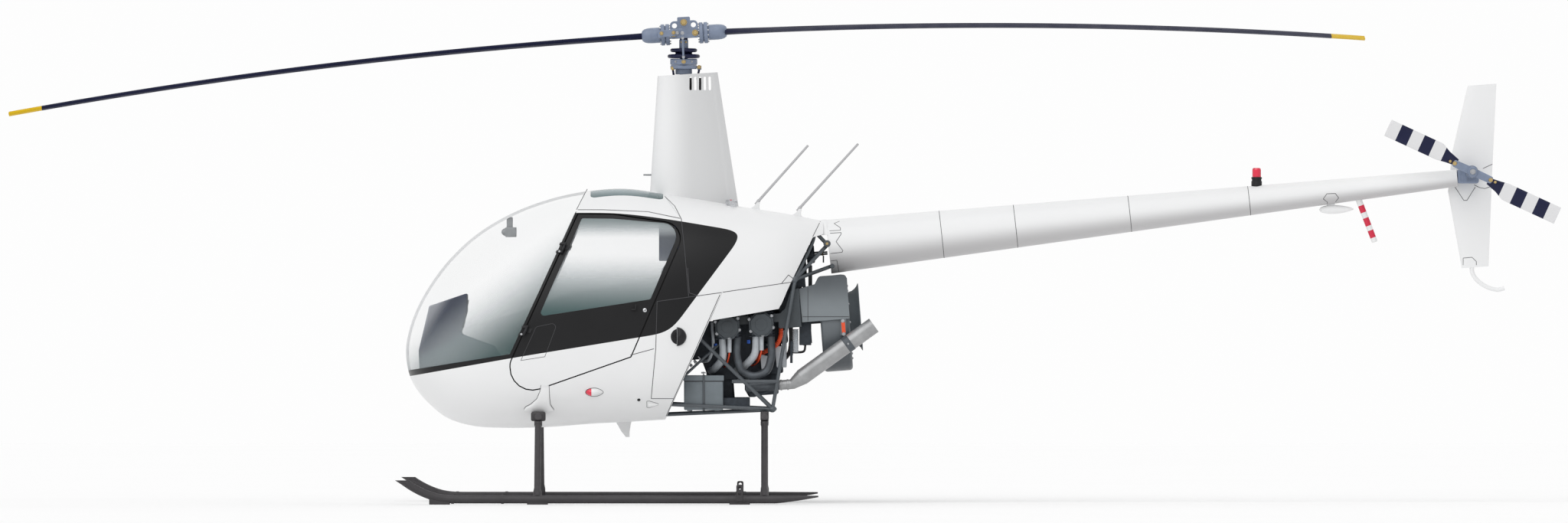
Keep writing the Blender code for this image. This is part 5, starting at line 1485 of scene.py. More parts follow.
horn_ball = rod((0.0385, 0.146, -0.058), (0.0385, 0.172, -0.058), 0.0095, bevel=0.003)
horn_bolts = bolts([(x, 0.148, -0.056) for x in (0.06, 0.128)], (0, 1, 0), 0.0085, 0.01)
flange_bolts = [
    shape for y, z in around(FLANGE_CIRCLE, 12, 15) for x, way in ((0.132, 1), (0.084, -1))
    for shape in bolt((x, y, BLADE_LEVEL + z), (way, 0, 0), 0.004, 0.007)
]
for number, turn in ((2, Matrix.Identity(4)), (1, half_turn)):
    place = HEAD @ turn
    groups = [
        (blade_paint, [(*moved(blade, place), blade[0][:, 0]), moved(tab, place)]),
        (hub_paint, placed(grip_parts, place)), (steel, placed([*flange_bolts, horn_ball], place)),
        (brass, placed(horn_bolts, place)),
    ]
    piece(f"rotor_blade_{number}", groups, "rotor_head", [f"main_blade_{number}"], "reach")

# %% [markdown]
# The hub is two plates side by side with round holes, held by the teeter bolt and one coning bolt for
# each blade. Under it the mast carries two dark boots, the swashplate's turning half with its pitch
# links, and the still half with its push rods, which end in the top of the fairing.

# %% Hub, mast and swashplate
HUB_PLATE = (
    (-0.036, 0.031, 0.007), (0.036, 0.031, 0.007), (0.036, 0.0095), (0.079, 0.0095, 0.024),
    (0.079, -0.089, 0.01),
    (-0.079, -0.089, 0.01), (-0.079, 0.0095, 0.024), (-0.036, 0.0095),
)
HUB_INNER, HUB_OUTER = 0.045, 0.057
CONING_X, CONING_Z = 0.061, -0.062
hub_holes = [rod((x, -0.1, -0.016), (x, 0.1, -0.016), 0.0145, steps=32) for x in (-0.0535, 0.0535)]
hub_plates = [
    cut(plate(HUB_PLATE, low, high, bevel=0.0015), *hub_holes)
    for low, high in ((-HUB_OUTER, -HUB_INNER), (HUB_INNER, HUB_OUTER))
]
hub_middle = block((-0.0345, -0.046, -0.034), (0.0345, 0.046, 0.024), 0.004)
hub_middle = cut(hub_middle, rod((0, 0, -0.1), (0, 0, 0.1), 0.029, steps=32))
hub_bolts = [rod((0, -0.07, 0), (0, 0.07, 0), 0.011)]
hub_bolts += [rod((x, -0.066, CONING_Z), (x, 0.066, CONING_Z), 0.01) for x in (-CONING_X, CONING_X)]
HUB_HEADS = ((0.0, 0.0, 0.015), (-CONING_X, CONING_Z, 0.014), (CONING_X, CONING_Z, 0.014))
hub_heads = [
    shape for x, z, radius in HUB_HEADS for side in (-1, 1)
    for shape in bolt((x, side * 0.058, z), (0, side, 0), radius, 0.016)
]
piece("hub_assembly", [
    (hub_paint, placed([*hub_plates, hub_middle], HEAD)), (steel, placed(hub_bolts, HEAD)),
    (brass, placed(hub_heads, HEAD)),
], "rotor_head", ["rotor_hub"])

MAST_PROFILE = (
    (0.0, 1.95), (0.0225, 1.95), (0.0225, 2.5105), (0.08, 2.5105), (0.0875, 2.513), (0.0905, 2.517),
    (0.0915, 2.522),
    (0.0905, 2.527), (0.0875, 2.531), (0.08, 2.5335), (0.05, 2.5345), (0.046, 2.54), (0.05, 2.5445),
    (0.066, 2.545),
    (0.0725, 2.5475), (0.0752, 2.5515), (0.076, 2.556), (0.0752, 2.5605), (0.0725, 2.5645),
    (0.066, 2.567), (0.036, 2.568),
    (0.0225, 2.569), (0.0225, 2.733), (0.0205, 2.735), (0.0, 2.735),
)
mast = cut(turned(MAST_PROFILE, steps=64), rod((0, -0.1, TEETER_Z), (0, 0.1, TEETER_Z), 0.0115))
SLEEVE_RADIUS = 0.0255
SLEEVE = (
    (0.0224, 2.5685), (SLEEVE_RADIUS, 2.569), (SLEEVE_RADIUS, 2.614), (0.024, 2.616), (0.0224, 2.616),
    (0.0224, 2.5685),
)
sleeve_bolts = [
    shape for side in (-1, 1) for x in (-0.012, 0.012)
    for shape in bolt(
        (x, side * math.sqrt(SLEEVE_RADIUS**2 - x**2), 2.602), (x, side * 0.0225, 0), 0.0045, 0.006,
    )
]
piece("mast_and_boots", [
    (navy_paint, [mast]), (hub_paint, [turned(SLEEVE, steps=48)]), (brass, sleeve_bolts),
], "rotor_shaft", ["rotor_mast"])

ARM_Z = 2.491
upper_plate = turned(ring_profile(0.0233, 0.0765, 2.4735, 2.508, 0.004), steps=64)
lower_plate = turned(ring_profile(0.0235, 0.0755, 2.45, 2.472, 0.004), steps=64)
lower_sleeve = turned(ring_profile(0.0235, 0.047, 2.42, 2.45), steps=48)
arms = block((-0.012, -0.092, 2.48), (0.012, 0.092, 2.502), 0.004)
arms = cut(arms, rod((0, 0, 2.4), (0, 0, 2.6), 0.0233, steps=32))
side_places = [(x, side * math.sqrt(0.076**2 - x**2)) for x in (-0.045, 0.045) for side in (-1, 1)]
side_bolts = [
    shape for x, y in side_places for shape in bolt((x, y, ARM_Z), (x, y, 0), 0.006, 0.006)
]
arm_bolts = [
    shape for side in (-1, 1) for shape in bolt((0.0, side * 0.104, ARM_Z), (0, side, 0), 0.0096, 0.01)
]
piece("swashplate_turning", [
    (hub_paint, [upper_plate, arms]), (steel, side_bolts), (brass, arm_bolts),
], "rotor_shaft", ["swashplate_upper"])
NUT = ((0, 0), (0.0085, 0), (0.0085, 0.012), (0, 0.012))
for number, side in ((1, -1), (2, 1)):
    top, bottom = np.array((side * 0.007, side * 0.165, 2.652)), np.array((0.0, side * 0.0975, ARM_Z))
    link = rod(bottom, top, 0.0058, steps=20)
    joints = (
        (bottom - (0, 0.006 * side, 0.008), bottom + (0, 0.006 * side, 0.01)),
        (top - (0, 0.006, 0), top + (0, 0.006, 0)),
    )
    ends = [rod(*joint, 0.0105, bevel=0.003) for joint in joints]
    nuts = [turned(NUT, bottom + (top - bottom) * share, top - bottom, 6) for share in (0.14, 0.8)]
    groups = [(hub_paint, [link]), (steel, [*ends, *nuts])]
    piece(f"pitch_rod_{number}", groups, "rotor_shaft", [f"pitch_link_{number}"])
rods, ears = [], []
for x, y in ((-0.062, -0.03), (-0.062, 0.03), (0.088, 0.0)):
    rods.append(rod((x * 0.86, y, 2.391), (x, y, 2.452), 0.0062))
    ears.append(block((x - 0.012, y - 0.009, 2.446), (x + 0.012, y + 0.009, 2.469), 0.003))
EAR_BOLTS = ((-0.062, -0.039, 2.454), (0.087, -0.009, 2.461))
ear_bolts = bolts(EAR_BOLTS, (0, -1, 0), 0.0092, 0.008)
piece("swashplate_still", [
    (hub_paint, [lower_plate, lower_sleeve, *ears]), (navy_paint, rods), (brass, ear_bolts),
], replaces=["swashplate_lower"])

# %% [markdown]
# The tail rotor is built the same way in its own frame: a yoke on the gearbox's shaft and two blades
# with wide white and navy bands, again by their reach from the hub. The gearbox behind it is a small
# casting with cooling fins, a round bearing cap and a filler plug.

# %% Tail rotor and gearbox
TAIL_X, TAIL_Z = 4.452, 1.869
TAIL_HUB = frame_at((TAIL_X, -0.185, TAIL_Z), 24.8)
TAIL_BANDS = ((0.19, 0.264), (0.331, 0.402), (0.471, 0.6))
white_bands = banded(TAIL_BANDS, (0.72, 0.72, 0.73))
tail_paint = finish("tail_blade_paint", NAVY, 0.34, 0.1, 8.0, 0.02, tint=white_bands, **gloss)
swap_axes = Matrix(((1, 0, 0, 0), (0, 0, 1, 0), (0, 1, 0, 0), (0, 0, 0, 1)))
flat_blade = moved(blade_shape(TAIL_BLADE, rows=50), swap_axes)
yoke = plate((
    (-0.122, -0.02, 0.012), (-0.03, -0.022), (0.03, -0.022), (0.122, -0.02, 0.012), (0.122, 0.02, 0.012),
    (0.03, 0.022),
    (-0.03, 0.022), (-0.122, 0.02, 0.012),
), -0.0115, 0.0115, bevel=0.002)
BOSS = ((0, -0.024), (0.024, -0.024), (0.027, -0.021), (0.027, 0.02), (0, 0.02))
boss = turned(BOSS, way=(0, 1, 0), steps=40)
tail_shaft = rod((0, 0.0627, 0), (0, -0.03, 0), 0.014)
nut = bolt((0, -0.03, 0), (0, -1, 0), 0.013, 0.012)
root_bolts = [
    *bolt((0.112, -0.0115, 0), (0, -1, 0), 0.0095, 0.007),
    *bolt((0.14, -0.0115, 0), (0, -1, 0), 0.0065, 0.007),
]
for number, turn in ((2, 0.0), (1, math.pi)):
    place = TAIL_HUB @ Matrix.Rotation(turn, 4, "Y")
    piece(f"tail_rotor_blade_{number}", [
        (tail_paint, [(*moved(flat_blade, place), flat_blade[0][:, 0])]),
        (brass, placed(root_bolts, place)),
    ], "tail_rotor", [f"tail_blade_{number}"], "reach")
piece("tail_hub_yoke", [
    (hub_paint, placed([yoke, boss], TAIL_HUB)), (steel, placed([tail_shaft, *nut], TAIL_HUB)),
], "tail_rotor", ["tail_rotor_hub"])

CAP = ((0, 0.0), (0.036, 0.0), (0.036, 0.012), (0.03, 0.016), (0.027, 0.07), (0.024, 0.0735), (0, 0.0735))
gear_case = block((4.3695, -0.048, 1.8035), (4.492, 0.048, 1.884), 0.014)
gear_fins = [
    block((4.385 + 0.013 * i, -0.05, 1.812), (4.389 + 0.013 * i, 0.05, 1.886), 0.001) for i in range(8)
]
output_cap = turned(CAP, (TAIL_X, -0.048, TAIL_Z), (0, -1, 0), 40)
cap_places = [(TAIL_X + x, -0.06, TAIL_Z + z) for x, z in around(0.031, 6, 30)]
piece("tail_gearbox_case", [
    (hub_paint, [gear_case, *gear_fins, output_cap]),
    (steel, bolts(cap_places, (0, -1, 0), 0.0035, 0.004)),
    (brass, bolt((4.405, 0.0, 1.884), (0, 0, 1), 0.011, 0.012)),
], replaces=["tail_gearbox"])

# %% [markdown]
# The landing gear is two skid tubes, four struts and two cross tubes. Each skid is one tube whose
# front end bends up and is cut off level, with wear shoes below and a bracket for the ground wheels.

# %% Landing gear
SKID_Y, SKID_RADIUS, SKID_Z = 0.965, 0.02275, 0.02925
SKID_PATH = (
    (-1.64, 0.18), (-1.575, 0.137), (-1.51, 0.094), (-1.441, 0.06), (-1.38, 0.04), (-1.31, 0.0305),
    (-1.25, SKID_Z),
)
SKID_CUT = 0.136
SHOE_HALF = 0.016
SHOES = (
    # front and rear station, height at the front and at the rear
    (-1.423, -1.306, 0.055, 0.035), (-0.874, -0.757, 0.018, 0.018), (0.26, 0.376, 0.018, 0.018),
)
gear_paint = finish("gear_paint", (0.036, 0.033, 0.036), 0.5, 0.15, 14.0, 0.05, 400.0)
nose_path = smooth_path([(x, -SKID_Y, z) for x, z in SKID_PATH], 0.02)
run = [(x, -SKID_Y, SKID_Z) for x in np.linspace(-1.2, 0.515, 30)]
taper = np.linspace(0, 1, 16)[1:]
taper_path = [(0.515 + 0.244 * t, -SKID_Y, SKID_Z + 0.0165 * t**1.3) for t in taper]
even_radii = np.full(len(nose_path) + len(run), SKID_RADIUS)
radii = np.concatenate([even_radii, SKID_RADIUS * (1 - 0.8 * taper**1.25)])
skid = tube(np.concatenate([nose_path, run, taper_path]), radii, 32)
skid = cut(skid, block((-1.75, -1.05, SKID_CUT), (-1.45, -0.88, 0.3), 0.001))
shoes = [
    plate(
        ((front, 0.0), (rear, 0.0), (rear, rear_top), (front, front_top)),
        -SKID_Y - SHOE_HALF, -SKID_Y + SHOE_HALF, bevel=0.003,
    )
    for front, rear, front_top, rear_top in SHOES
]
BRACKET = ((0.299, 0.0205), (0.336, 0.0205), (0.336, 0.1125, 0.01), (0.299, 0.1125, 0.01))
bracket_holes = [rod((0.3175, -1.1, z), (0.3175, -0.9, z), 0.009, steps=32) for z in (0.0943, 0.0606)]
bracket = cut(plate(BRACKET, -0.993, -0.982, bevel=0.0015), *bracket_holes)
bracket_foot = block((0.299, -0.992, 0.018), (0.336, -0.975, 0.04), 0.003)
clamp = [
    turned(ring_profile(0.0228, 0.0252, 0.0, 0.016, 0.0008), (x, -SKID_Y, SKID_Z), (1, 0, 0), 32)
    for x in (0.292, 0.334, -1.3, -1.02)
]
skid_parts = [skid, *shoes, bracket, bracket_foot, *clamp]
for side, flip in SIDES:
    groups = [(gear_paint, flip(skid_parts))]
    piece(f"skid_tube_{side}", groups, replaces=[f"skid_{side}"])

disc_paint = finish("disc_paint", (0.06, 0.056, 0.06), 0.45, 0.15, 30.0, 0.05, 400.0)
BEAM_Z = CROSS_TUBE[1]
CROSS_TUBES = (
    # name, station, block at the end: front, rear, inner, outer, bottom, top, then the strut's top
    ("front", -0.816, (-0.857, -0.775, 0.466, 0.548, 0.4646, 0.5165), 0.522),
    ("rear", 0.457, (0.4335, 0.4805, 0.33, 0.5, 0.464, 0.5187), 0.47),
)
for name, x, (front, rear, inner, outer, bottom, top), top_y in CROSS_TUBES:
    beam = rod((x, -outer + 0.005, BEAM_Z), (x, outer - 0.005, BEAM_Z), 0.0188, steps=36)
    ends = both(block((front, -outer, bottom), (rear, -inner, top), 0.01))
    disc = rod((x, -outer + 0.002, BEAM_Z), (x, -outer - 0.004, BEAM_Z), 0.0195, bevel=0.002, steps=36)
    piece(f"cross_beam_{name}", [
        (gear_paint, [beam, *ends]), (disc_paint, both(disc)),
    ], replaces=[f"cross_tube_{name}"])
    head, foot = np.array((x, -top_y, 0.48)), np.array((x, -SKID_Y, SKID_Z))
    length = distance(head, foot)
    profile = (
        (0.0, 0.0), (0.0225, 0.0), (0.0225, 0.052), (0.0215, 0.056), (0.019, 0.058),
        (0.019, length - 0.09), (0.0205, length - 0.08), (0.0235, length - 0.06), (0.024, length - 0.01),
        (0.0, length - 0.01),
    )
    strut = turned(profile, head, foot - head, 36)
    sleeve = rod((x - 0.2, -SKID_Y, SKID_Z), (x + 0.2, -SKID_Y, SKID_Z), SKID_RADIUS + SEAT_GAP, steps=40)
    above = block((x - 0.2, -0.8, bottom - SEAT_GAP), (x + 0.2, 0.0, 0.7), 0.001)
    strut = cut(strut, sleeve, above)
    for side, flip in SIDES:
        groups = [(gear_paint, flip([strut]))]
        piece(f"leg_{name}_{side}", groups, replaces=[f"strut_{name}_{side}"])

# %% [markdown]
# Behind the cabin the engine hangs in a frame of thin steel tubes. The tubes are given as corner
# points on the port side and mirrored. Their front ends are cut off along the slanted wall that
# closes the cabin, and short collars and bolts stand where tubes meet and where the boom is fixed.

# %% Tube frame
FRAME_TUBES = (
    ((-0.118, 0.4, 0.56), (0.502, 0.36, 0.53)), ((-0.125, 0.2, 0.4985), (0.505, 0.2, 0.5265)),
    ((0.07, 0.42, 0.95), (0.502, 0.36, 0.53)),
    ((0.502, 0.36, 0.53), (0.628, 0.33, 1.261), (0.728, 0.175, 1.47), (0.742, 0.14, 1.53)),
    ((0.742, 0.14, 1.53), (0.8045, 0.125, 1.465)),
    ((0.273, 0.389, 0.687), (0.528, 0.356, 0.687)), ((0.628, 0.33, 1.261), (0.833, 0.085, 1.336)),
    ((0.628, 0.33, 1.261), (0.81, 0.12, 1.455)),
)
FRAME_CROSS_TUBES = ((0.502, 0.36, 0.53), (0.3, 0.385, 0.687), (0.628, 0.33, 1.261))
FRAME_TUBE = 0.0105
MOUNT = (0.8095, -0.156, 1.4634)
frame_paint = finish("frame_paint", (0.082, 0.094, 0.105), 0.42, 0.12, 20.0, 0.05)
ahead = plate(((-0.3, 0.4), (-0.1225, 0.455), (0.1905, 1.1605), (-0.3, 1.2)), -0.7, 0.7)
BOOM_END = ((0.0, -0.002), (0.153, -0.002), (0.153, 0.0), (0.15, 0.1), (0.0, 0.1))
boom_solid = round_boom(BOOM_END, steps=48)
near_tubes = [
    cut(tube([(x, -y, z) for x, y, z in points], FRAME_TUBE, 18, bend=0.03), ahead, boom_solid)
    for points in FRAME_TUBES
]
cross_tubes = [rod((x, -half, z), (x, half, z), FRAME_TUBE) for x, half, z in FRAME_CROSS_TUBES]
collars = [
    lump((0.628, -0.33, 1.261), (0.02, 0.018, 0.02), front_share=0.5),
    lump((0.502, -0.36, 0.53), (0.024, 0.018, 0.018), front_share=0.5),
    rod(MOUNT, (0.8095, -0.105, 1.4634), 0.02, bevel=0.003),
    rod((0.838, -0.12, 1.3367), (0.838, -0.07, 1.3367), 0.0135),
]
mount_bolts = bolt(MOUNT, (0, -1, 0), 0.006, 0.01)
shaft = rod((0.722, 0, 1.403), (0.812, 0, 1.411), 0.0105)
shaft_nut = turned(ring_profile(0.01, 0.017, 0.0, 0.006), (0.782, 0, 1.4085), (1, 0, 0.09), 6)
posts = [
    block((0.704, -0.01, 1.22), (0.726, 0.01, 1.342), 0.004),
    rod((0.789, 0.0, 1.356), (0.789, 0.0, 1.396), 0.004),
]
piece("frame_tubes", [
    (frame_paint, [*both(*near_tubes, *collars), *cross_tubes, *posts]),
    (brass, [*both(*mount_bolts), shaft_nut]), (steel, [shaft]),
], replaces=["tube_frame"])

# %% [markdown]
# The engine is a flat four: two cylinders reach out to each side from a low crankcase. They are
# turned parts whose profile steps in and out for the cooling fins. Each head ends in an octagonal
# rocker cover with a ring of bolts, intake pipes go down inwards, and a dark exhaust pipe bends round
# below in a U. The whole engine sits a little tilted, so its parts are made in its own frame.

# %% Engine
POWER = frame_at((0.343, 0.0, 1.001), -4.3)
CYLINDERS, COVER_RADIUS = (-0.0955, 0.0955), 0.066
engine_dark = finish("engine_casting", (0.034, 0.043, 0.055), 0.5, 0.25, 40.0, 0.25, 260.0, Metallic=0.3)
shroud_paint = finish("shroud_paint", (0.046, 0.056, 0.064), 0.45, 0.15, 12.0, 0.08, 300.0)
pipe_paint = finish("intake_pipe_paint", (0.5, 0.53, 0.56), 0.42, 0.12, 30.0, 0.08)
dark_pipe = finish("exhaust_riser_metal", (0.09, 0.102, 0.115), 0.45, 0.3, 22.0, 0.12, Metallic=0.4)
flange_paint = finish("cover_flange_paint", (0.085, 0.1, 0.112), 0.45, 0.12, 30.0, 0.08)
orange_hose = finish("orange_hose", (0.8, 0.085, 0.022), 0.5, 0.12, 40.0, 0.1, 500.0)
blue_fitting = finish("blue_fitting", (0.03, 0.1, 0.42), 0.35, 0.12, 60.0, 0.05, Metallic=0.6)

BARREL_RADIUS, FIN_RADIUS, FIN_COUNT = 0.052, 0.064, 14
fin_radii = np.tile((BARREL_RADIUS, FIN_RADIUS, FIN_RADIUS, BARREL_RADIUS), FIN_COUNT)
fin_start = 0.112 + 0.0135 * np.arange(FIN_COUNT)
fins = np.stack([fin_radii, (fin_start[:, None] + (0.0, 0.002, 0.0055, 0.0075)).ravel()], axis=1)
barrel_profile = [
    (0.0, 0.09), (BARREL_RADIUS, 0.09), *fins.tolist(), (BARREL_RADIUS, 0.3), (0.0, 0.3),
]
FLANGE_BOLTS = ((-0.066, 0.034), (0.062, 0.044), (-0.062, -0.034), (0.066, -0.022), (0.004, -0.062))


def octagon(x, radius, corner, low, high, bevel):
    """An eight-sided plate at the end of the cylinder at x."""
    corners = [(x + a, b, corner) for a, b in around(radius, 8, 22.5)]
    return plate(corners, low, high, bevel=bevel)


cylinder_parts, cover_parts, cover_bolts, flanges = [], [], [], []
for x in CYLINDERS:
    cylinder_parts.append(turned(barrel_profile, (x, 0, 0), (0, -1, 0), 36))
    cylinder_parts += [
        block((x - 0.072, -0.345, z - 0.002), (x + 0.072, -0.296, z + 0.002), 0.0015)
        for z in np.linspace(-0.064, 0.064, 9)
    ]
    cylinder_parts.append(block((x - 0.06, -0.35, -0.06), (x + 0.06, -0.292, 0.06), 0.008))
    flanges.append(octagon(x, COVER_RADIUS * 1.13, 0.004, -0.362, -0.35, 0.001))
    cover_parts.append(octagon(x, COVER_RADIUS, 0.006, -0.398, -0.358, 0.004))
    cover_parts.append(octagon(x, COVER_RADIUS * 0.55, 0.006, -0.4, -0.396, 0.001))
    cover_bolts += bolts([(x + a, -0.362, b) for a, b in FLANGE_BOLTS], (0, -1, 0), 0.0072, 0.014)
RING_GEAR = ((0, 0.0), (0.186, 0.0), (0.19, 0.003), (0.19, 0.012), (0.186, 0.015), (0, 0.015))
crankcase = [
    block((-0.165, -0.11, -0.12), (0.24, 0.11, 0.1), 0.02),
    block((-0.2, -0.13, -0.283), (0.2, 0.13, -0.1), 0.012),
    block((0.01, -0.08, -0.4), (0.165, 0.08, -0.27), 0.012),
    block((-0.235, -0.11, -0.445), (-0.085, 0.11, -0.2), 0.014),
    rod((0.2, 0, 0), (0.56, 0, 0), 0.02), turned(RING_GEAR, (0.247, 0, 0), (1, 0, 0), 96),
    *[
        block((-0.16 + 0.045 * i, -0.1135, -0.105), (-0.152 + 0.045 * i, 0.1135, 0.09), 0.003)
        for i in range(9)
    ],
]
SHROUD = (
    (-0.175, 0.006, 0.006), (-0.175, 0.056, 0.012), (0.205, 0.056, 0.02), (0.235, 0.08, 0.02),
    (0.275, 0.185, 0.012), (0.3217, 0.188),
    (0.3217, -0.031), (0.191, -0.031, 0.01), (0.191, 0.006),
)
shroud = plate(SHROUD, -0.302, -0.145, bevel=0.003)
shroud_ribs = [
    block((x - 0.003, -0.3045, 0.01), (x + 0.003, -0.148, 0.054), 0.002)
    for x in (-0.12, -0.04, 0.04, 0.12)
]
case_places = [(x, -0.13, -0.118) for x in np.linspace(-0.185, 0.185, 7)]
case_bolts = both(*bolts(case_places, (0, -1, 0), 0.0055, 0.007))

PIPES = (
    # finish, radius, how it is made, then points: station, y, height
    (
        pipe_paint, 0.0215, "smooth",
        ((0.22, -0.31, 0.93), (0.22, -0.31, 0.818), (0.18, -0.25, 0.764), (0.15, -0.11, 0.745)),
    ),
    (
        pipe_paint, 0.0215, "smooth",
        ((0.41, -0.312, 0.94), (0.403, -0.312, 0.847), (0.3455, -0.25, 0.775), (0.29, -0.11, 0.745)),
    ),
    (
        dark_pipe, 0.022, "smooth",
        (
            (0.3046, -0.31, 0.94), (0.3046, -0.31, 0.812), (0.33, -0.31, 0.7455), (0.3985, -0.31, 0.718),
            (0.467, -0.31, 0.7455), (0.4925, -0.31, 0.812), (0.4925, -0.31, 0.94),
        ),
    ),
    (dark_pipe, 0.02, "smooth", ((0.3985, -0.31, 0.718), (0.3985, -0.28, 0.69), (0.44, -0.24, 0.66))),
    (pipe_paint, 0.012, "smooth", ((0.259, -0.335, 0.935), (0.259, -0.335, 0.85))),
    (pipe_paint, 0.012, "smooth", ((0.44, -0.335, 0.945), (0.44, -0.335, 0.862))),
    (
        orange_hose, 0.0045, "smooth",
        (
            (0.259, -0.335, 0.852), (0.256, -0.33, 0.828), (0.249, -0.3, 0.8), (0.235, -0.2, 0.77),
            (0.225, -0.12, 0.768),
        ),
    ),
    (
        orange_hose, 0.0045, "smooth",
        (
            (0.44, -0.335, 0.864), (0.436, -0.33, 0.842), (0.428, -0.3, 0.815), (0.4, -0.2, 0.78),
            (0.38, -0.12, 0.775),
        ),
    ),
    (
        pipe_paint, 0.009, "smooth",
        (
            (0.161, -0.3, 1.02), (0.161, -0.3, 0.85), (0.145, -0.28, 0.812), (0.112, -0.2, 0.8),
            (0.1, -0.105, 0.8),
        ),
    ),
    (
        orange_hose, 0.0125, "ribbed",
        (
            (0.55, -0.245, 1.0), (0.545, -0.25, 0.935), (0.53, -0.25, 0.9), (0.5, -0.235, 0.876),
            (0.45, -0.215, 0.848), (0.42, -0.18, 0.82), (0.4, -0.125, 0.812),
        ),
    ),
    (
        rubber, 0.006, "smooth",
        ((0.6155, -0.215, 0.85), (0.64, -0.212, 0.8495), (0.68, -0.2, 0.857), (0.687, -0.19, 0.89)),
    ),
    (
        pipe_paint, 0.0165, "ribbed",
        ((0.6305, -0.215, 0.98), (0.6305, -0.215, 0.915), (0.6305, -0.215, 0.85)),
    ),
    (
        rubber, 0.011, "ribbed",
        ((0.6, -0.2, 1.08), (0.606, -0.205, 0.96), (0.596, -0.19, 0.85), (0.56, -0.125, 0.8)),
    ),
    (
        frame_paint, 0.0075, "smooth",
        ((0.0083, -0.395, 0.7213), (0.1805, -0.33, 0.879), (0.215, -0.255, 0.91)),
    ),
)
RIB_LENGTH = 0.009


def ribbed(points, radius):
    """A hose: a smooth path whose radius swings by a tenth, once in each rib."""
    path = smooth_path(points, 0.0022)
    swing = np.sin(travelled_along(path) * 2 * np.pi / RIB_LENGTH)
    return tube(path, radius * (1 + 0.1 * swing), 16)


def pipes_of(look):
    """All pipes with this finish, on both sides of the engine."""
    return both(*[
        ribbed(points, radius) if kind == "ribbed" else tube(smooth_path(points, 0.008), radius, 18)
        for own_look, radius, kind, points in PIPES if own_look == look
    ])


valves = [
    rod((x, -0.372, z), (x - 0.012, -0.372, z + 0.016), 0.007, 0.004, steps=12)
    for x, z in ((0.046, 0.77), (0.07, 0.79), (0.094, 0.812))
]
fittings = [
    rod((0.18, -0.318, 0.9), (0.18, -0.318, 0.88), 0.01, steps=6),
    rod((0.367, -0.318, 0.921), (0.367, -0.318, 0.9), 0.01, steps=6),
]
brackets = [
    plate(
        ((0.4315, 0.84), (0.4746, 0.83), (0.4746, 0.765, 0.006), (0.44, 0.754)), -0.262, -0.13,
        bevel=0.003,
    ),
    plate(
        ((0.514, 0.89), (0.5535, 0.884), (0.545, 0.77, 0.01), (0.525, 0.757, 0.01)), -0.24, -0.115,
        bevel=0.003,
    ),
    block((0.555, -0.205, 0.765), (0.582, -0.115, 0.975), 0.006),
]
BAY_SHADE_SHEET = (
    (0.146, 1.0255), (0.045, 0.8067), (0.1, 0.811), (0.133, 0.7228), (0.2256, 0.6976), (0.38, 0.7),
    (0.38, 1.03),
)
SHROUD_SIDE = (
    (0.5376, 1.09), (0.6, 1.232), (0.652, 1.37), (0.674, 1.37), (0.69, 1.22), (0.65, 1.2176),
    (0.656, 0.995), (0.58, 0.987),
)
# painted shade: dark sheets and blocks fill the engine bay behind the pipes, where it lies in shade
bay_shade_fill = [
    plate(BAY_SHADE_SHEET, -0.14, -0.12), plate(SHROUD_SIDE, -0.23, -0.222),
    block((0.601, -0.232, 0.79), (0.6155, -0.12, 0.915), 0.002),
    block((0.653, -0.205, 0.8906), (0.7204, -0.12, 1.019), 0.004),
]
MUFFLER = (
    (0.345, 0.676, 0.012), (0.532, 0.676, 0.012), (0.525, 0.64, 0.01), (0.4, 0.598, 0.02),
    (0.37, 0.598, 0.01), (0.345, 0.64),
)
TRAY = ((0.2235, 0.5455), (0.374, 0.5455), (0.374, 0.5958, 0.006), (0.2235, 0.5958, 0.006))
muffler = plate(MUFFLER, -0.27, 0.15, bevel=0.008)
tray = plate(TRAY, -0.32, 0.18, bevel=0.003)
piece("engine_assembly", [
    (engine_dark, [
        *placed([*both(*cylinder_parts), *crankcase], POWER), muffler, tray, *both(*bay_shade_fill),
    ]),
    (flange_paint, placed(both(*flanges), POWER)),
    (shroud_paint, placed(both(*cover_parts, shroud, *shroud_ribs), POWER)),
    (steel, placed([*both(*cover_bolts), *case_bolts], POWER) + both(*valves)),
    (blue_fitting, both(*fittings)), (pipe_paint, brackets + pipes_of(pipe_paint)),
    *[(look, pipes_of(look)) for look in (dark_pipe, orange_hose, rubber, frame_paint)],
], replaces=["engine"])

# %% [markdown]
# Cooling air comes from a fan behind the engine. Its housing is a round drum with a rolled bellmouth
# at the back and a square duct on each side that leads the air forward over the cylinders. The wheel
# inside is a plate, a ring and a row of vanes, and turns on its own body with the crankshaft.

# %% Cooling fan
def vertical_shade(low, high, first, second):
    """A painted shade that goes from the first colour at the low height to the second at the high one."""
    def tint(tree, base):
        _, _, z = place_of(tree)
        share = eased(tree, z, low, high)
        drift = maths(tree, "MULTIPLY_ADD", noise(tree, 9.0), 0.25, share)
        return between(tree, drift, first, second)
    return tint


SHEET_GREY = (0.2, 0.23, 0.25)
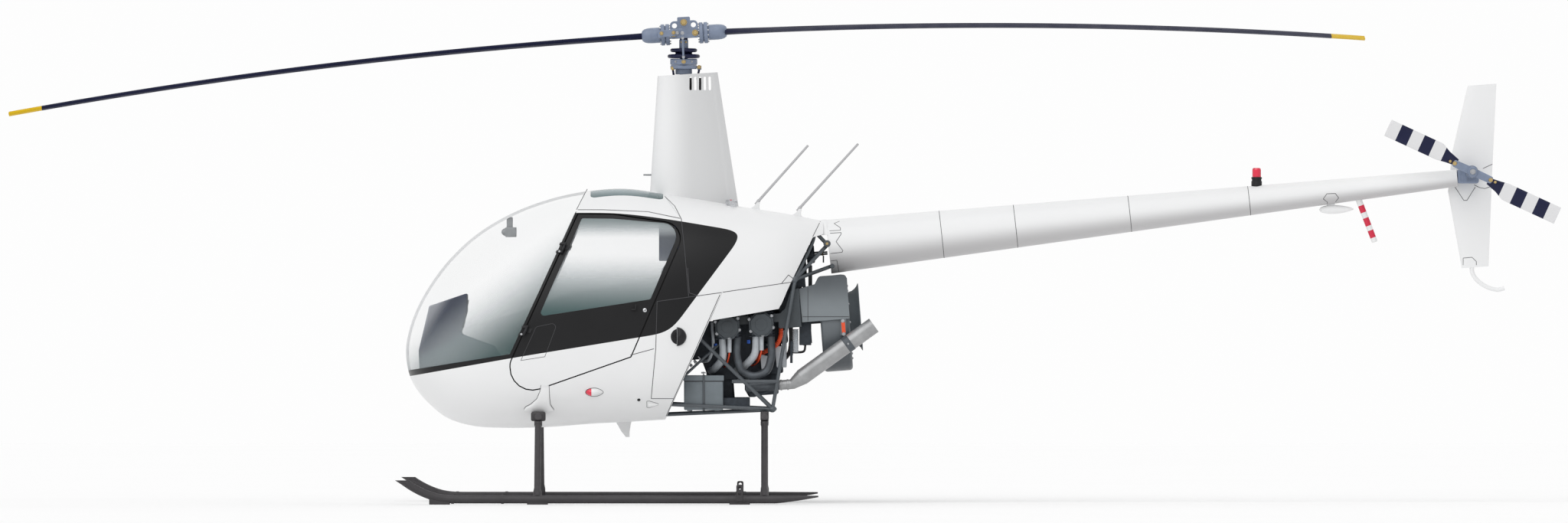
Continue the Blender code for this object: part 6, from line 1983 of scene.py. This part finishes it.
# painted shade: the drum's paint darkens towards its bottom and the ducts' towards their top
scroll_shade = vertical_shade(0.74, 1.04, (0.06, 0.07, 0.08), (0.14, 0.158, 0.172))
duct_shade = vertical_shade(1.06, 1.3, (0.205, 0.23, 0.245), (0.07, 0.08, 0.09))
scroll_paint_with_shade = finish("scroll_paint_with_shade", SHEET_GREY, 0.4, 0.1, 9.0, 0.05, 300.0, tint=scroll_shade)
duct_paint_with_shade = finish("duct_paint_with_shade", SHEET_GREY, 0.4, 0.1, 9.0, 0.05, 300.0, tint=duct_shade)
DRUM = (
    (0.0, 0.594), (0.25, 0.594), (0.259, 0.5925), (0.2655, 0.588), (0.2695, 0.582), (0.271, 0.573),
    (0.271, 0.451), (0.2695, 0.443),
    (0.2655, 0.4365), (0.259, 0.4315), (0.25, 0.43), (0.0, 0.43),
)
BELL = (
    (0.132, 0.56), (0.142, 0.56), (0.1445, 0.6), (0.15, 0.618), (0.16, 0.633), (0.174, 0.646),
    (0.19, 0.654), (0.19, 0.6575),
    (0.184, 0.658), (0.168, 0.65), (0.152, 0.637), (0.14, 0.622), (0.134, 0.6), (0.132, 0.56),
)
DUCT = (
    (0.65, 1.209), (0.74, 1.234, 0.01), (0.754, 1.263, 0.01), (0.765, 1.277, 0.02), (0.8906, 1.29, 0.015),
    (0.912, 1.281, 0.01),
    (0.921, 1.27, 0.008), (0.937, 1.0405), (0.668, 1.019),
)
DRUM_DROP = 0.025
throat = [
    rod((0.445, 0, 0), (0.58, 0, 0), 0.228, bevel=0.004, steps=64),
    rod((0.54, 0, 0), (0.7, 0, 0), 0.132, bevel=0.001, steps=64),
    rod((0.4, 0, 0), (0.46, 0, 0), 0.035),
]


def lengthwise(profile, height=0.0, steps=96):
    """A turned part on an axis along the machine, made in the engine's frame."""
    return turned(profile, (0, 0, height), (1, 0, 0), steps)


drum = moved(cut(lengthwise(DRUM, -DRUM_DROP), *throat), POWER)
ducts = both(cut(plate(DUCT, -0.285, -0.15, bevel=0.002), moved(throat[0], POWER)))
bell = moved(lengthwise(BELL), POWER)
duct_lines = both(
    block((0.7, -0.2862, 1.028), (0.7025, -0.284, 1.218), 0.0008),
    block((0.672, -0.2866, 1.05), (0.934, -0.284, 1.053), 0.0008),
)
drum_places = [(0.594, y, z - DRUM_DROP) for y, z in around(0.205, 12)]
drum_bolts = placed(bolts(drum_places, (1, 0, 0), 0.006, 0.006), POWER)
STRAP_RING = ring_profile(0.006, 0.01, -0.002, 0.002, 0.0005)
strap_ring = [
    turned(STRAP_RING, (x, -0.29, z), (0, 1, 0), 20) for x, z in ((0.898, 1.028), (0.9035, 0.954))
]
strap_band = plate(((0.889, 1.019), (0.909, 1.021), (0.914, 0.962), (0.894, 0.96)), -0.2905, -0.2865)
strap_mount = block((0.885, -0.2885, 0.945), (0.918, -0.262, 1.04), 0.002)
piece("fan_housing", [
    (scroll_paint_with_shade, [drum, bell, *both(strap_mount)]), (duct_paint_with_shade, ducts), (seam_line, duct_lines),
    (steel, [*drum_bolts, *both(*strap_ring)]), (orange_hose, both(strap_band)),
], replaces=["fan_scroll"])

FAN = POWER @ Matrix.Translation((0.517, 0, 0))
FAN_VANES = 18
FAN_DISC = (
    (0.0205, -0.062), (0.213, -0.062), (0.215, -0.06), (0.215, -0.0565), (0.045, -0.056), (0.04, -0.01),
    (0.0205, -0.006), (0.0205, -0.062),
)
VANE_MIDDLE, VANE_ANGLE = 0.181, 18
fan_ring = lengthwise(ring_profile(0.16, 0.215, 0.0545, 0.058, 0.001), steps=72)
fan_hub = lengthwise(ring_profile(0.0205, 0.045, -0.06, 0.02), steps=48)
vane_tilt = (
    Matrix.Translation((0, VANE_MIDDLE, 0)) @ Matrix.Rotation(math.radians(VANE_ANGLE), 4, "X")
    @ Matrix.Translation((0, -VANE_MIDDLE, 0))
)
vane = moved(block((-0.058, 0.15, -0.0015), (0.056, 0.212, 0.0015), 0.001), vane_tilt)
vanes = [
    moved(vane, Matrix.Rotation(math.radians(360 / FAN_VANES * i), 4, "X")) for i in range(FAN_VANES)
]
fan_bolts = bolts([(0.02, y, z) for y, z in around(0.033, 6, 30)], (1, 0, 0), 0.005, 0.006)
piece("fan_impeller", [
    (engine_dark, placed([lengthwise(FAN_DISC, steps=72), fan_ring, fan_hub, *vanes], FAN)),
    (steel, placed(fan_bolts, FAN)),
], "cooling_fan", replaces=["fan_wheel"])

# %% [markdown]
# Two belts carry the power up to the rotor's shaft. A belt is an outline round its two pulleys, and
# the pulleys are turned parts with a groove for each strand. The exhaust collects under the engine
# and leaves through one fat pipe that rises to the rear; the battery stands in its box at the front.

# %% Belts, exhaust and battery
GROOVE = ((0.128, 0.0), (0.12, 0.002), (0.12, 0.004), (0.128, 0.006))
GROOVES = [(r, 0.312 + 0.0075 * i + d) for i in range(8) for r, d in GROOVE]
PULLEY = [(0.0205, 0.31), (0.128, 0.31), *GROOVES, (0.128, 0.374), (0.0205, 0.374), (0.0205, 0.31)]
SHAFT_LIFT, BELT_RADIUS = 0.374, 0.134
lower_pulley = lengthwise(PULLEY, steps=64)
upper_pulley = lengthwise([(max(r, 0.013), d) for r, d in PULLEY], SHAFT_LIFT, 64)
half_circle = np.linspace(0, np.pi, 28)


def belt(x):
    """One belt strand: two half circles joined by straight runs, swept as a small closed section."""
    arc = np.stack([np.cos(half_circle), np.sin(half_circle)], axis=1)
    loop = np.concatenate([arc * BELT_RADIUS + (0, SHAFT_LIFT), -arc * BELT_RADIUS])
    outs = np.concatenate([arc, -arc])
    section = ((x - 0.009, -0.01), (x + 0.009, -0.01), (x + 0.009, 0.004), (x - 0.009, 0.004))
    rings = [np.stack([np.full(len(loop), a), *(loop + outs * b).T], axis=1) for a, b in section]
    return skin_over(np.stack([*rings, rings[0]]), caps=False)


drive_shaft = rod((0.12, 0, SHAFT_LIFT), (0.475, 0, SHAFT_LIFT), 0.0125)
clutch = [
    lengthwise(ring_profile(0.012, radius, low, high, 0.006), SHAFT_LIFT, 40)
    for radius, low, high in ((0.052, 0.38, 0.425), (0.038, 0.18, 0.24))
]
piece("belt_drive_assembly", [
    (rubber, placed([belt(0.331), belt(0.353)], POWER)),
    (engine_dark, placed([lower_pulley, upper_pulley, *clutch], POWER)),
    (steel, placed([drive_shaft], POWER)),
], replaces=["belt_drive"])

EXHAUST_Y = -0.31
tailpipe_paint = finish("tailpipe_metal", (0.36, 0.365, 0.37), 0.38, 0.14, 16.0, 0.08, Metallic=0.55)
LOWER_RUN = ((0.35, 0.6558), (0.45, 0.6613), (0.54, 0.6662))
LIGHT_RUN = ((0.536, 0.666), (0.575, 0.6685), (0.62, 0.672))
RUN_SLOPE = 0.055
lower_run = tube([(x, EXHAUST_Y, z) for x, z in LOWER_RUN], 0.028, 32)
light_run = tube([(x, EXHAUST_Y, z) for x, z in LIGHT_RUN], 0.0275, 32)
run_band = ring_profile(0.027, 0.0305, 0.0, 0.01, 0.001)
run_bands = [
    turned(run_band, (x, EXHAUST_Y, 0.6662 + (x - 0.54) * RUN_SLOPE), (1, 0, RUN_SLOPE), 40)
    for x in (0.545, 0.583)
]
pipe_start, pipe_end = np.array((0.672, EXHAUST_Y, 0.714)), np.array((1.073, EXHAUST_Y, 1.004))
pipe_way, pipe_length = unit(pipe_end - pipe_start), distance(pipe_start, pipe_end)
CONE = ((0, 0), (0.028, 0), (0.031, 0.016), (0.041, 0.055), (0.0455, 0.08), (0, 0.08))
cone = turned(CONE, (0.608, EXHAUST_Y, 0.6665), (0.064, 0, 0.0475), 48)
pipe_profile = (
    (0.043, 0.3), (0.03, 0.3), (0.03, -0.01), (0.0455, -0.01), (0.046, 0.0), (0.046, 0.2), (0.046, 0.297),
    (0.046, pipe_length - 0.003), (0.0465, pipe_length), (0.0435, pipe_length),
    (0.043, pipe_length - 0.004), (0.043, 0.3),
)
tailpipe = turned(pipe_profile, pipe_start, pipe_way, 56)
pipe_band = turned(ring_profile(0.0455, 0.0476, 0.298, 0.335, 0.001), pipe_start, pipe_way, 56)
clamp_bolt = bolt(pipe_start + pipe_way * 0.316 + (0, -0.0476, 0), (0, -1, 0), 0.005, 0.008)
piece("exhaust_pipe", [
    (tailpipe_paint, [tailpipe, cone, light_run, *run_bands]),
    (dark_pipe, [lower_run, pipe_band]), (steel, clamp_bolt),
], replaces=["exhaust"])

battery_paint = finish("battery_case", (0.175, 0.205, 0.225), 0.5, 0.1, 14.0, 0.1, 200.0)
LID_LEVEL = 0.689
battery = block((0.003, -0.36, 0.5254), (0.224, -0.16, LID_LEVEL), 0.008)
lid = block((-0.001, -0.364, LID_LEVEL + 0.002), (0.228, -0.156, 0.7215), 0.003)
lid_gap = block((0.002, -0.361, LID_LEVEL - 0.003), (0.225, -0.159, LID_LEVEL + 0.003), 0.001)
battery_strap = block((0.108, -0.366, 0.522), (0.1208, -0.1545, 0.724), 0.002)
wing_nut = [
    rod((0.1123, -0.3, 0.72), (0.1123, -0.3, 0.742), 0.003, steps=12),
    block((0.1, -0.302, 0.732), (0.125, -0.298, 0.7405), 0.0018),
]
feet = [block((x, -0.345, 0.52), (x + 0.03, -0.175, 0.53), 0.003) for x in (0.02, 0.175)]
piece("battery_case_parts", [
    (battery_paint, [battery, lid]), (seam_line, [lid_gap]), (frame_paint, [battery_strap, *feet]),
    (steel, wing_nut),
], replaces=["battery_box"])

# %% [markdown]
# The cabin's floor and the slanted wall behind the seats keep the plain model's shapes, which are
# right as they are, and only get a finish: carpet, whose pile is fine noise with a strong bump, and
# painted sheet. In front of the wall a trimmed panel fills the space above the seat backs.

# %% Cabin floor and rear wall
carpet = finish(
    "cabin_carpet", (0.03, 0.042, 0.062), 0.92, 0.3, 60.0, 0.8, 1400.0, Specular_IOR_Level=0.1,
)
wall_paint = finish("cabin_wall_paint", (0.048, 0.062, 0.105), 0.6, 0.12, 20.0, 0.2, 700.0)
for name, look in (("cabin_floor", carpet), ("firewall", wall_paint)):
    for material_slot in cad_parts[name].material_slots:
        material_slot.material = look
REAR_PANEL = (
    (-0.138, 1.366, 0.006), (-0.138, 1.6, 0.01), (-0.02, 1.59, 0.006), (0.004, 1.5, 0.006),
    (-0.025, 1.366, 0.006),
)
rear_panel = plate(REAR_PANEL, -0.34, 0.34, bevel=0.004)
piece("rear_wall_trim", [(wall_paint, [rear_panel])])

# %% [markdown]
# The console stands between the pilots' feet: a pedestal that leans forward, cut from its outline in
# side view. Its face carries round instruments, each a turned bezel with a dark glass, and below them
# blank plates for the radios. Its paint is navy, with painted light over it: grey along the front
# edge and a blue grey low down, as in the picture.

# %% Instrument console
CONSOLE = (
    (-1.38, 0.5246), (-1.492, 0.76, 0.02), (-1.496, 0.86, 0.02), (-1.436, 1.112, 0.015),
    (-1.22, 1.185, 0.01),
    (-1.221, 1.08, 0.1), (-1.257, 0.955, 0.02), (-1.069, 0.887, 0.02), (-1.03, 0.83, 0.01),
    (-1.05, 0.5246),
)
CONSOLE_HALF = 0.135


def console_shade(tree, base):
    """Painted light over the navy: grey along the front edge, navy behind it, and a blue grey below the
    pedestal's shoulder.
    """
    x, _, z = place_of(tree)
    lean = maths(tree, "MULTIPLY_ADD", z, -0.62, x)
    upper = between(tree, eased(tree, lean, -2.105, -2.01), (0.33, 0.34, 0.37), base)
    low = maths(tree, "MULTIPLY_ADD", x, -0.55, z)
    return between(tree, eased(tree, low, 1.6, 1.68), (0.035, 0.07, 0.095), upper)


# painted light: the navy paint pales to grey along the front edge and to blue grey below the shoulder
CONSOLE_NAVY = (0.005, 0.011, 0.042)
console_paint_with_painted_light = finish(
    "console_paint_with_painted_light", CONSOLE_NAVY, 0.5, 0.12, 20.0, 0.12, 600.0, tint=console_shade,
    Specular_IOR_Level=0.1,
)
gauge_glass = finish("gauge_glass", (0.008, 0.009, 0.011), 0.15, 0.2, 40.0, 0.0)
console_body = plate(CONSOLE, -CONSOLE_HALF, CONSOLE_HALF, bevel=0.008)
face_top, face_low = np.array((-1.2205, 0.0, 1.15)), np.array((-1.25, 0.0, 0.982))
face_way = unit(face_top - face_low)
face_out = np.cross((0.0, 1.0, 0.0), face_way)
face_out = face_out * np.sign(face_out[0])
BEZEL = (
    (0.0, -0.006), (0.0385, -0.006), (0.0385, 0.006), (0.0365, 0.0085), (0.032, 0.0085), (0.031, 0.005),
    (0.0, 0.005),
)
DIAL = ((0.0, 0.004), (0.0305, 0.004), (0.0305, 0.0062), (0.0, 0.007))
gauges, glasses = [], []
for share in (0.26, 0.76):
    for y in (-0.086, 0.0, 0.086):
        centre = face_low + (face_top - face_low) * share + (0.0, y, 0.0) - face_out * 0.002
        gauges.append(turned(BEZEL, centre, face_out, 40))
        glasses.append(turned(DIAL, centre, face_out, 32))
radios, knobs = [], []
for i in range(4):
    rise = 0.062 * i
    low, high = (-1.0505 + 0.0125 * i, -0.085, 0.56 + rise), (-1.0335 + 0.0025 * i, 0.085, 0.612 + rise)
    radios.append(block(low, high, 0.003))
    for y in (-0.065, 0.065):
        knobs.append(rod((-1.04, y, 0.586 + rise), (-1.018, y, 0.586 + rise), 0.009, steps=16))
piece("console_pedestal", [
    (console_paint_with_painted_light, [console_body]), (trim_black, [*gauges, *radios, *knobs]), (gauge_glass, glasses),
], replaces=["instrument_console"])

# %% [markdown]
# The hand controls are bent tubes with moulded grips: the cyclic stick with its rocking yoke, one
# collective lever beside each seat, and four pedals on a cross bar. A grip is a turned profile with
# three shallow finger grooves, and a rubber boot of rings closes the stick's foot.

# %% Hand and foot controls
GRIP_LENGTH = 0.13
finger_grooves = [
    (0.014 - 0.0016 * math.sin(math.pi * t * 3) ** 2, 0.012 + 0.095 * t) for t in np.linspace(0, 1, 19)
]
GRIP = [
    (0.0, 0.0), (0.012, 0.0), (0.014, 0.012), *finger_grooves, (0.013, 0.122), (0.0, GRIP_LENGTH),
]


def grip(start, end):
    """A moulded grip from start towards end: its profile is stretched to that length."""
    stretch = distance(start, end) / GRIP_LENGTH
    profile = [(radius, along * stretch) for radius, along in GRIP]
    return turned(profile, start, np.subtract(end, start), 24)


def bellows(start, way, radius, height):
    """A rubber boot: the radius falls along it and swings out at each of four folds."""
    folds = 4
    t = np.linspace(0, 1, folds * 8 + 1)
    profile = np.stack(
        [radius * (1 - 0.45 * t) * (1 + 0.1 * np.cos(t * folds * 2 * np.pi)), t * height], axis=1,
    )
    return turned([(0.0, 0.0), *profile.tolist(), (0.0, height)], start, way, 28)


stick = tube(smooth_path(((-0.72, 0, 0.526), (-0.7, 0, 0.75), (-0.74, 0, 1.02)), 0.01), 0.0135)
stick_yoke = rod((-0.74, -0.28, 1.02), (-0.74, 0.28, 1.02), 0.01)
yoke_boss = lump((-0.74, 0.0, 1.02), (0.024, 0.03, 0.022), front_share=0.5)
stick_grips = both(grip((-0.74, -0.28, 0.955), (-0.75, -0.28, 1.085)))
stick_boot = bellows((-0.72, 0, 0.525), (0.05, 0, 1), 0.045, 0.075)
piece("cyclic_control", [
    (trim_grey, [stick, stick_yoke, yoke_boss]), (rubber, [*stick_grips, stick_boot]),
], replaces=["cyclic_stick"])
LEVER_FOOT = ((0.0, 0.0), (0.016, 0.0), (0.016, 0.003), (0.012, 0.006), (0.012, 0.012), (0.0, 0.012))
for name, y in (("left", -0.463), ("centre", 0.0)):
    path = smooth_path(((-0.3, y, 0.7935), (-0.34, y, 0.823), (-0.6, y, 0.905)), 0.01)
    foot = turned(LEVER_FOOT, (-0.3, y, 0.7856), (0, 0, 1), 24)
    piece(f"collective_control_{name}", [
        (trim_grey, [tube(path, 0.0098), foot]),
        (rubber, [grip((-0.5, y, 0.8704), (-0.615, y, 0.91))]),
    ], replaces=[f"collective_lever_{name}"])
pedal_bar = rod((-1.2, -0.37, 0.59), (-1.2, 0.37, 0.59), 0.0098)
posts_and_links, pads = [], []
for y in (-0.315, -0.195, 0.195, 0.315):
    posts_and_links.append(rod((-1.2, y, 0.5245), (-1.2, y, 0.6), 0.0088))
    posts_and_links.append(rod((-1.2, y, 0.595), (-1.224, y, 0.622), 0.0088))
    pads.append(block((-1.235, y - 0.045, 0.6), (-1.218, y + 0.045, 0.71), 0.004))
    for rise in 0.013 * np.arange(7):
        low, high = (-1.219, y - 0.04, 0.612 + rise), (-1.2155, y + 0.04, 0.617 + rise)
        pads.append(block(low, high, 0.0012))
pedal_groups = [(trim_grey, [pedal_bar, *posts_and_links]), (rubber, pads)]
piece("pedal_set", pedal_groups, replaces=["pedals"])

# %% [markdown]
# The seats are padded and covered in cloth. Each pad starts as a slim rounded form that is remeshed
# to even 6 mm cells. Blender's Cloth then blows it up for twenty frames with a little pressure and no
# gravity, and no point may go further than a cap. Sewn channels come after that: a groove is a bell
# curve across the seam line. The right pads are the left ones mirrored.

# %% Seats
SEAT_NAVY = (0.016, 0.024, 0.052)
THREAD = 0.0022
VOXEL, PRESSURE, CLOTH_FRAMES = 0.006, 4.0, 20


def woven(name, colour):
    """Cloth: wave bands along the three axes give the threads, darker between them. A wave node's
    bands are 2 pi / (20 * scale) apart, so the scale follows from the thread's width."""
    def weave(tree, base):
        place = node(tree, "ShaderNodeTexCoord", output="Object")
        values = {"Vector": place, "Scale": 2 * math.pi / (20 * THREAD)}
        waves = [node(tree, "ShaderNodeTexWave", values, 1, bands_direction=way) for way in "XYZ"]
        height = maths(tree, "ADD", maths(tree, "MULTIPLY", waves[0], waves[1]), waves[2])
        share = maths(tree, "MULTIPLY", height, 0.5)
        return between(tree, share, [0.55 * part for part in colour], base)

    return finish(
        name, colour, 0.85, 0.15, 30.0, 0.5, 900.0, tint=weave, Specular_IOR_Level=0.15, Sheen_Weight=0.3,
    )


def evaluated_mesh(obj):
    return bpy.data.meshes.new_from_object(obj.evaluated_get(bpy.context.evaluated_depsgraph_get()))


def stuffed(name, shape, cap):
    """The shape remeshed and blown up: each point moves by cap * tanh(way / cap), so by less than cap."""
    pad = loose(name, shape)
    remesh = pad.modifiers.new("remesh", "REMESH")
    remesh.mode = "VOXEL"
    remesh.voxel_size = VOXEL
    pad.data = evaluated_mesh(pad)
    pad.modifiers.clear()
    start = points_of(pad.data)
    cloth = pad.modifiers.new("cloth", "CLOTH")
    cloth.settings.use_pressure = True
    cloth.settings.uniform_pressure_force = PRESSURE
    cloth.settings.effector_weights.gravity = 0.0
    for number in range(1, CLOTH_FRAMES + 1):
        bpy.context.scene.frame_set(number)
    way = points_of(evaluated_mesh(pad)) - start
    pad.modifiers.clear()
    bpy.context.scene.frame_set(1)
    length = np.linalg.norm(way, axis=1, keepdims=True)
    start = start + way * cap * np.tanh(length / cap) / np.maximum(length, 1e-9)
    faces = faces_of(pad.data)
    bpy.data.objects.remove(pad)
    return start, faces


def grooved(shape, lines, depth, width, facing):
    """Grooves along the seam lines, which lie at values of y: each point sinks by
    depth * exp(-(d / width)^2) against the face's way, where d is its distance to the nearest line
    and only the facing side takes part."""
    points = shape[0].copy()
    centre = (points.min(0) + points.max(0)) / 2
    side = np.clip(((points - centre) @ facing) / (np.ptp(points @ facing) / 2), 0, 1) ** 0.5
    away = np.abs(points[:, 1][:, None] - np.asarray(lines)[None]).min(1)
    return points - facing * (depth * np.exp(-((away / width) ** 2)) * side)[:, None], shape[1]


def rim(points, centre, level, radius):
    """Piping: round the pad at one height, the outermost point in each direction, as a thin tube."""
    count = 120
    ring = points[np.abs(points[:, 2] - level) < 0.006]
    arms = ring[:, :2] - centre[:2]
    angles = np.arctan2(arms[:, 1], arms[:, 0])
    turn = np.linspace(-np.pi, np.pi, count, endpoint=False)
    nearest = np.abs(np.angle(np.exp(1j * (angles[None] - turn[:, None])))).argmin(1)
    reach = np.linalg.norm(arms, axis=1)[nearest]
    reach = (np.roll(reach, 1) + reach + np.roll(reach, -1)) / 3
    path = np.stack([
        centre[0] + reach * np.cos(turn), centre[1] + reach * np.sin(turn), np.full(count, level),
    ], axis=1)[::-1]
    ways = unit(np.roll(path, -1, axis=0) - np.roll(path, 1, axis=0))
    up = np.array((0.0, 0.0, 1.0))
    side = np.cross(ways, up)
    circle = np.linspace(0, 2 * np.pi, 10, endpoint=False)
    wave = np.cos(circle)[None, :, None] * side[:, None] + np.sin(circle)[None, :, None] * up
    rings = path[:, None] + radius * wave
    return skin_over(np.concatenate([rings, rings[:1]]), caps=False)


seat_cloth = woven("seat_cloth", SEAT_NAVY)
piping = finish("seat_piping", (0.006, 0.009, 0.02), 0.6, 0.15, 60.0, 0.2, 800.0)
CHANNELS = (-0.337, -0.2475, -0.158)
CHANNEL_DEPTH, CHANNEL_WIDTH = 0.006, 0.007
REST, BACK_FRONT, BACK_TOP = 0.7862, -0.164, 1.362
CUSHION_LOW, CUSHION_HIGH = np.array((-0.642, -0.427, 0.79)), np.array((-0.18, -0.068, 0.856))
points, faces = stuffed("cushion", block(CUSHION_LOW, CUSHION_HIGH, 0.026, 6), 0.012)
points[:, 2] = np.maximum(points[:, 2], REST)
seat_up = np.array((0.0, 0.0, 1.0))
cushion = grooved((points, faces), CHANNELS, CHANNEL_DEPTH, CHANNEL_WIDTH, seat_up)
cushion_rim = rim(cushion[0], (CUSHION_LOW + CUSHION_HIGH) / 2, 0.846, 0.003)

BACK_LINE = (
    (-0.15, 0.7925, 0.012), (-0.112, 1.352, 0.022), (-0.038, 1.352, 0.018), (-0.04, 1.145, 0.02),
    (-0.098, 0.7925, 0.012),
)
back = stuffed("seat_back", plate(BACK_LINE, -0.432, -0.063, bevel=0.011), 0.01)
back_way = unit(np.array((-0.995, 0.0, 0.1)))
points, faces = grooved(back, CHANNELS, CHANNEL_DEPTH, CHANNEL_WIDTH, back_way)
points[:, 0] = np.maximum(points[:, 0], BACK_FRONT)
points[:, 2] = np.clip(points[:, 2], REST, BACK_TOP)
for side, flip in SIDES:
    bottom_groups = [(seat_cloth, flip([cushion])), (piping, flip([cushion_rim]))]
    back_groups = [(seat_cloth, flip([(points, faces)]))]
    pads = (
        piece(f"seat_pad_{side}", bottom_groups, f"{side}_seat", [f"seat_cushion_{side}"]),
        piece(f"seat_back_pad_{side}", back_groups, "airframe", [f"seat_back_{side}"]),
    )
    for pad in pads:
        smooth = pad.modifiers.new("smooth", "SUBSURF")
        smooth.levels = 1
        smooth.render_levels = 1
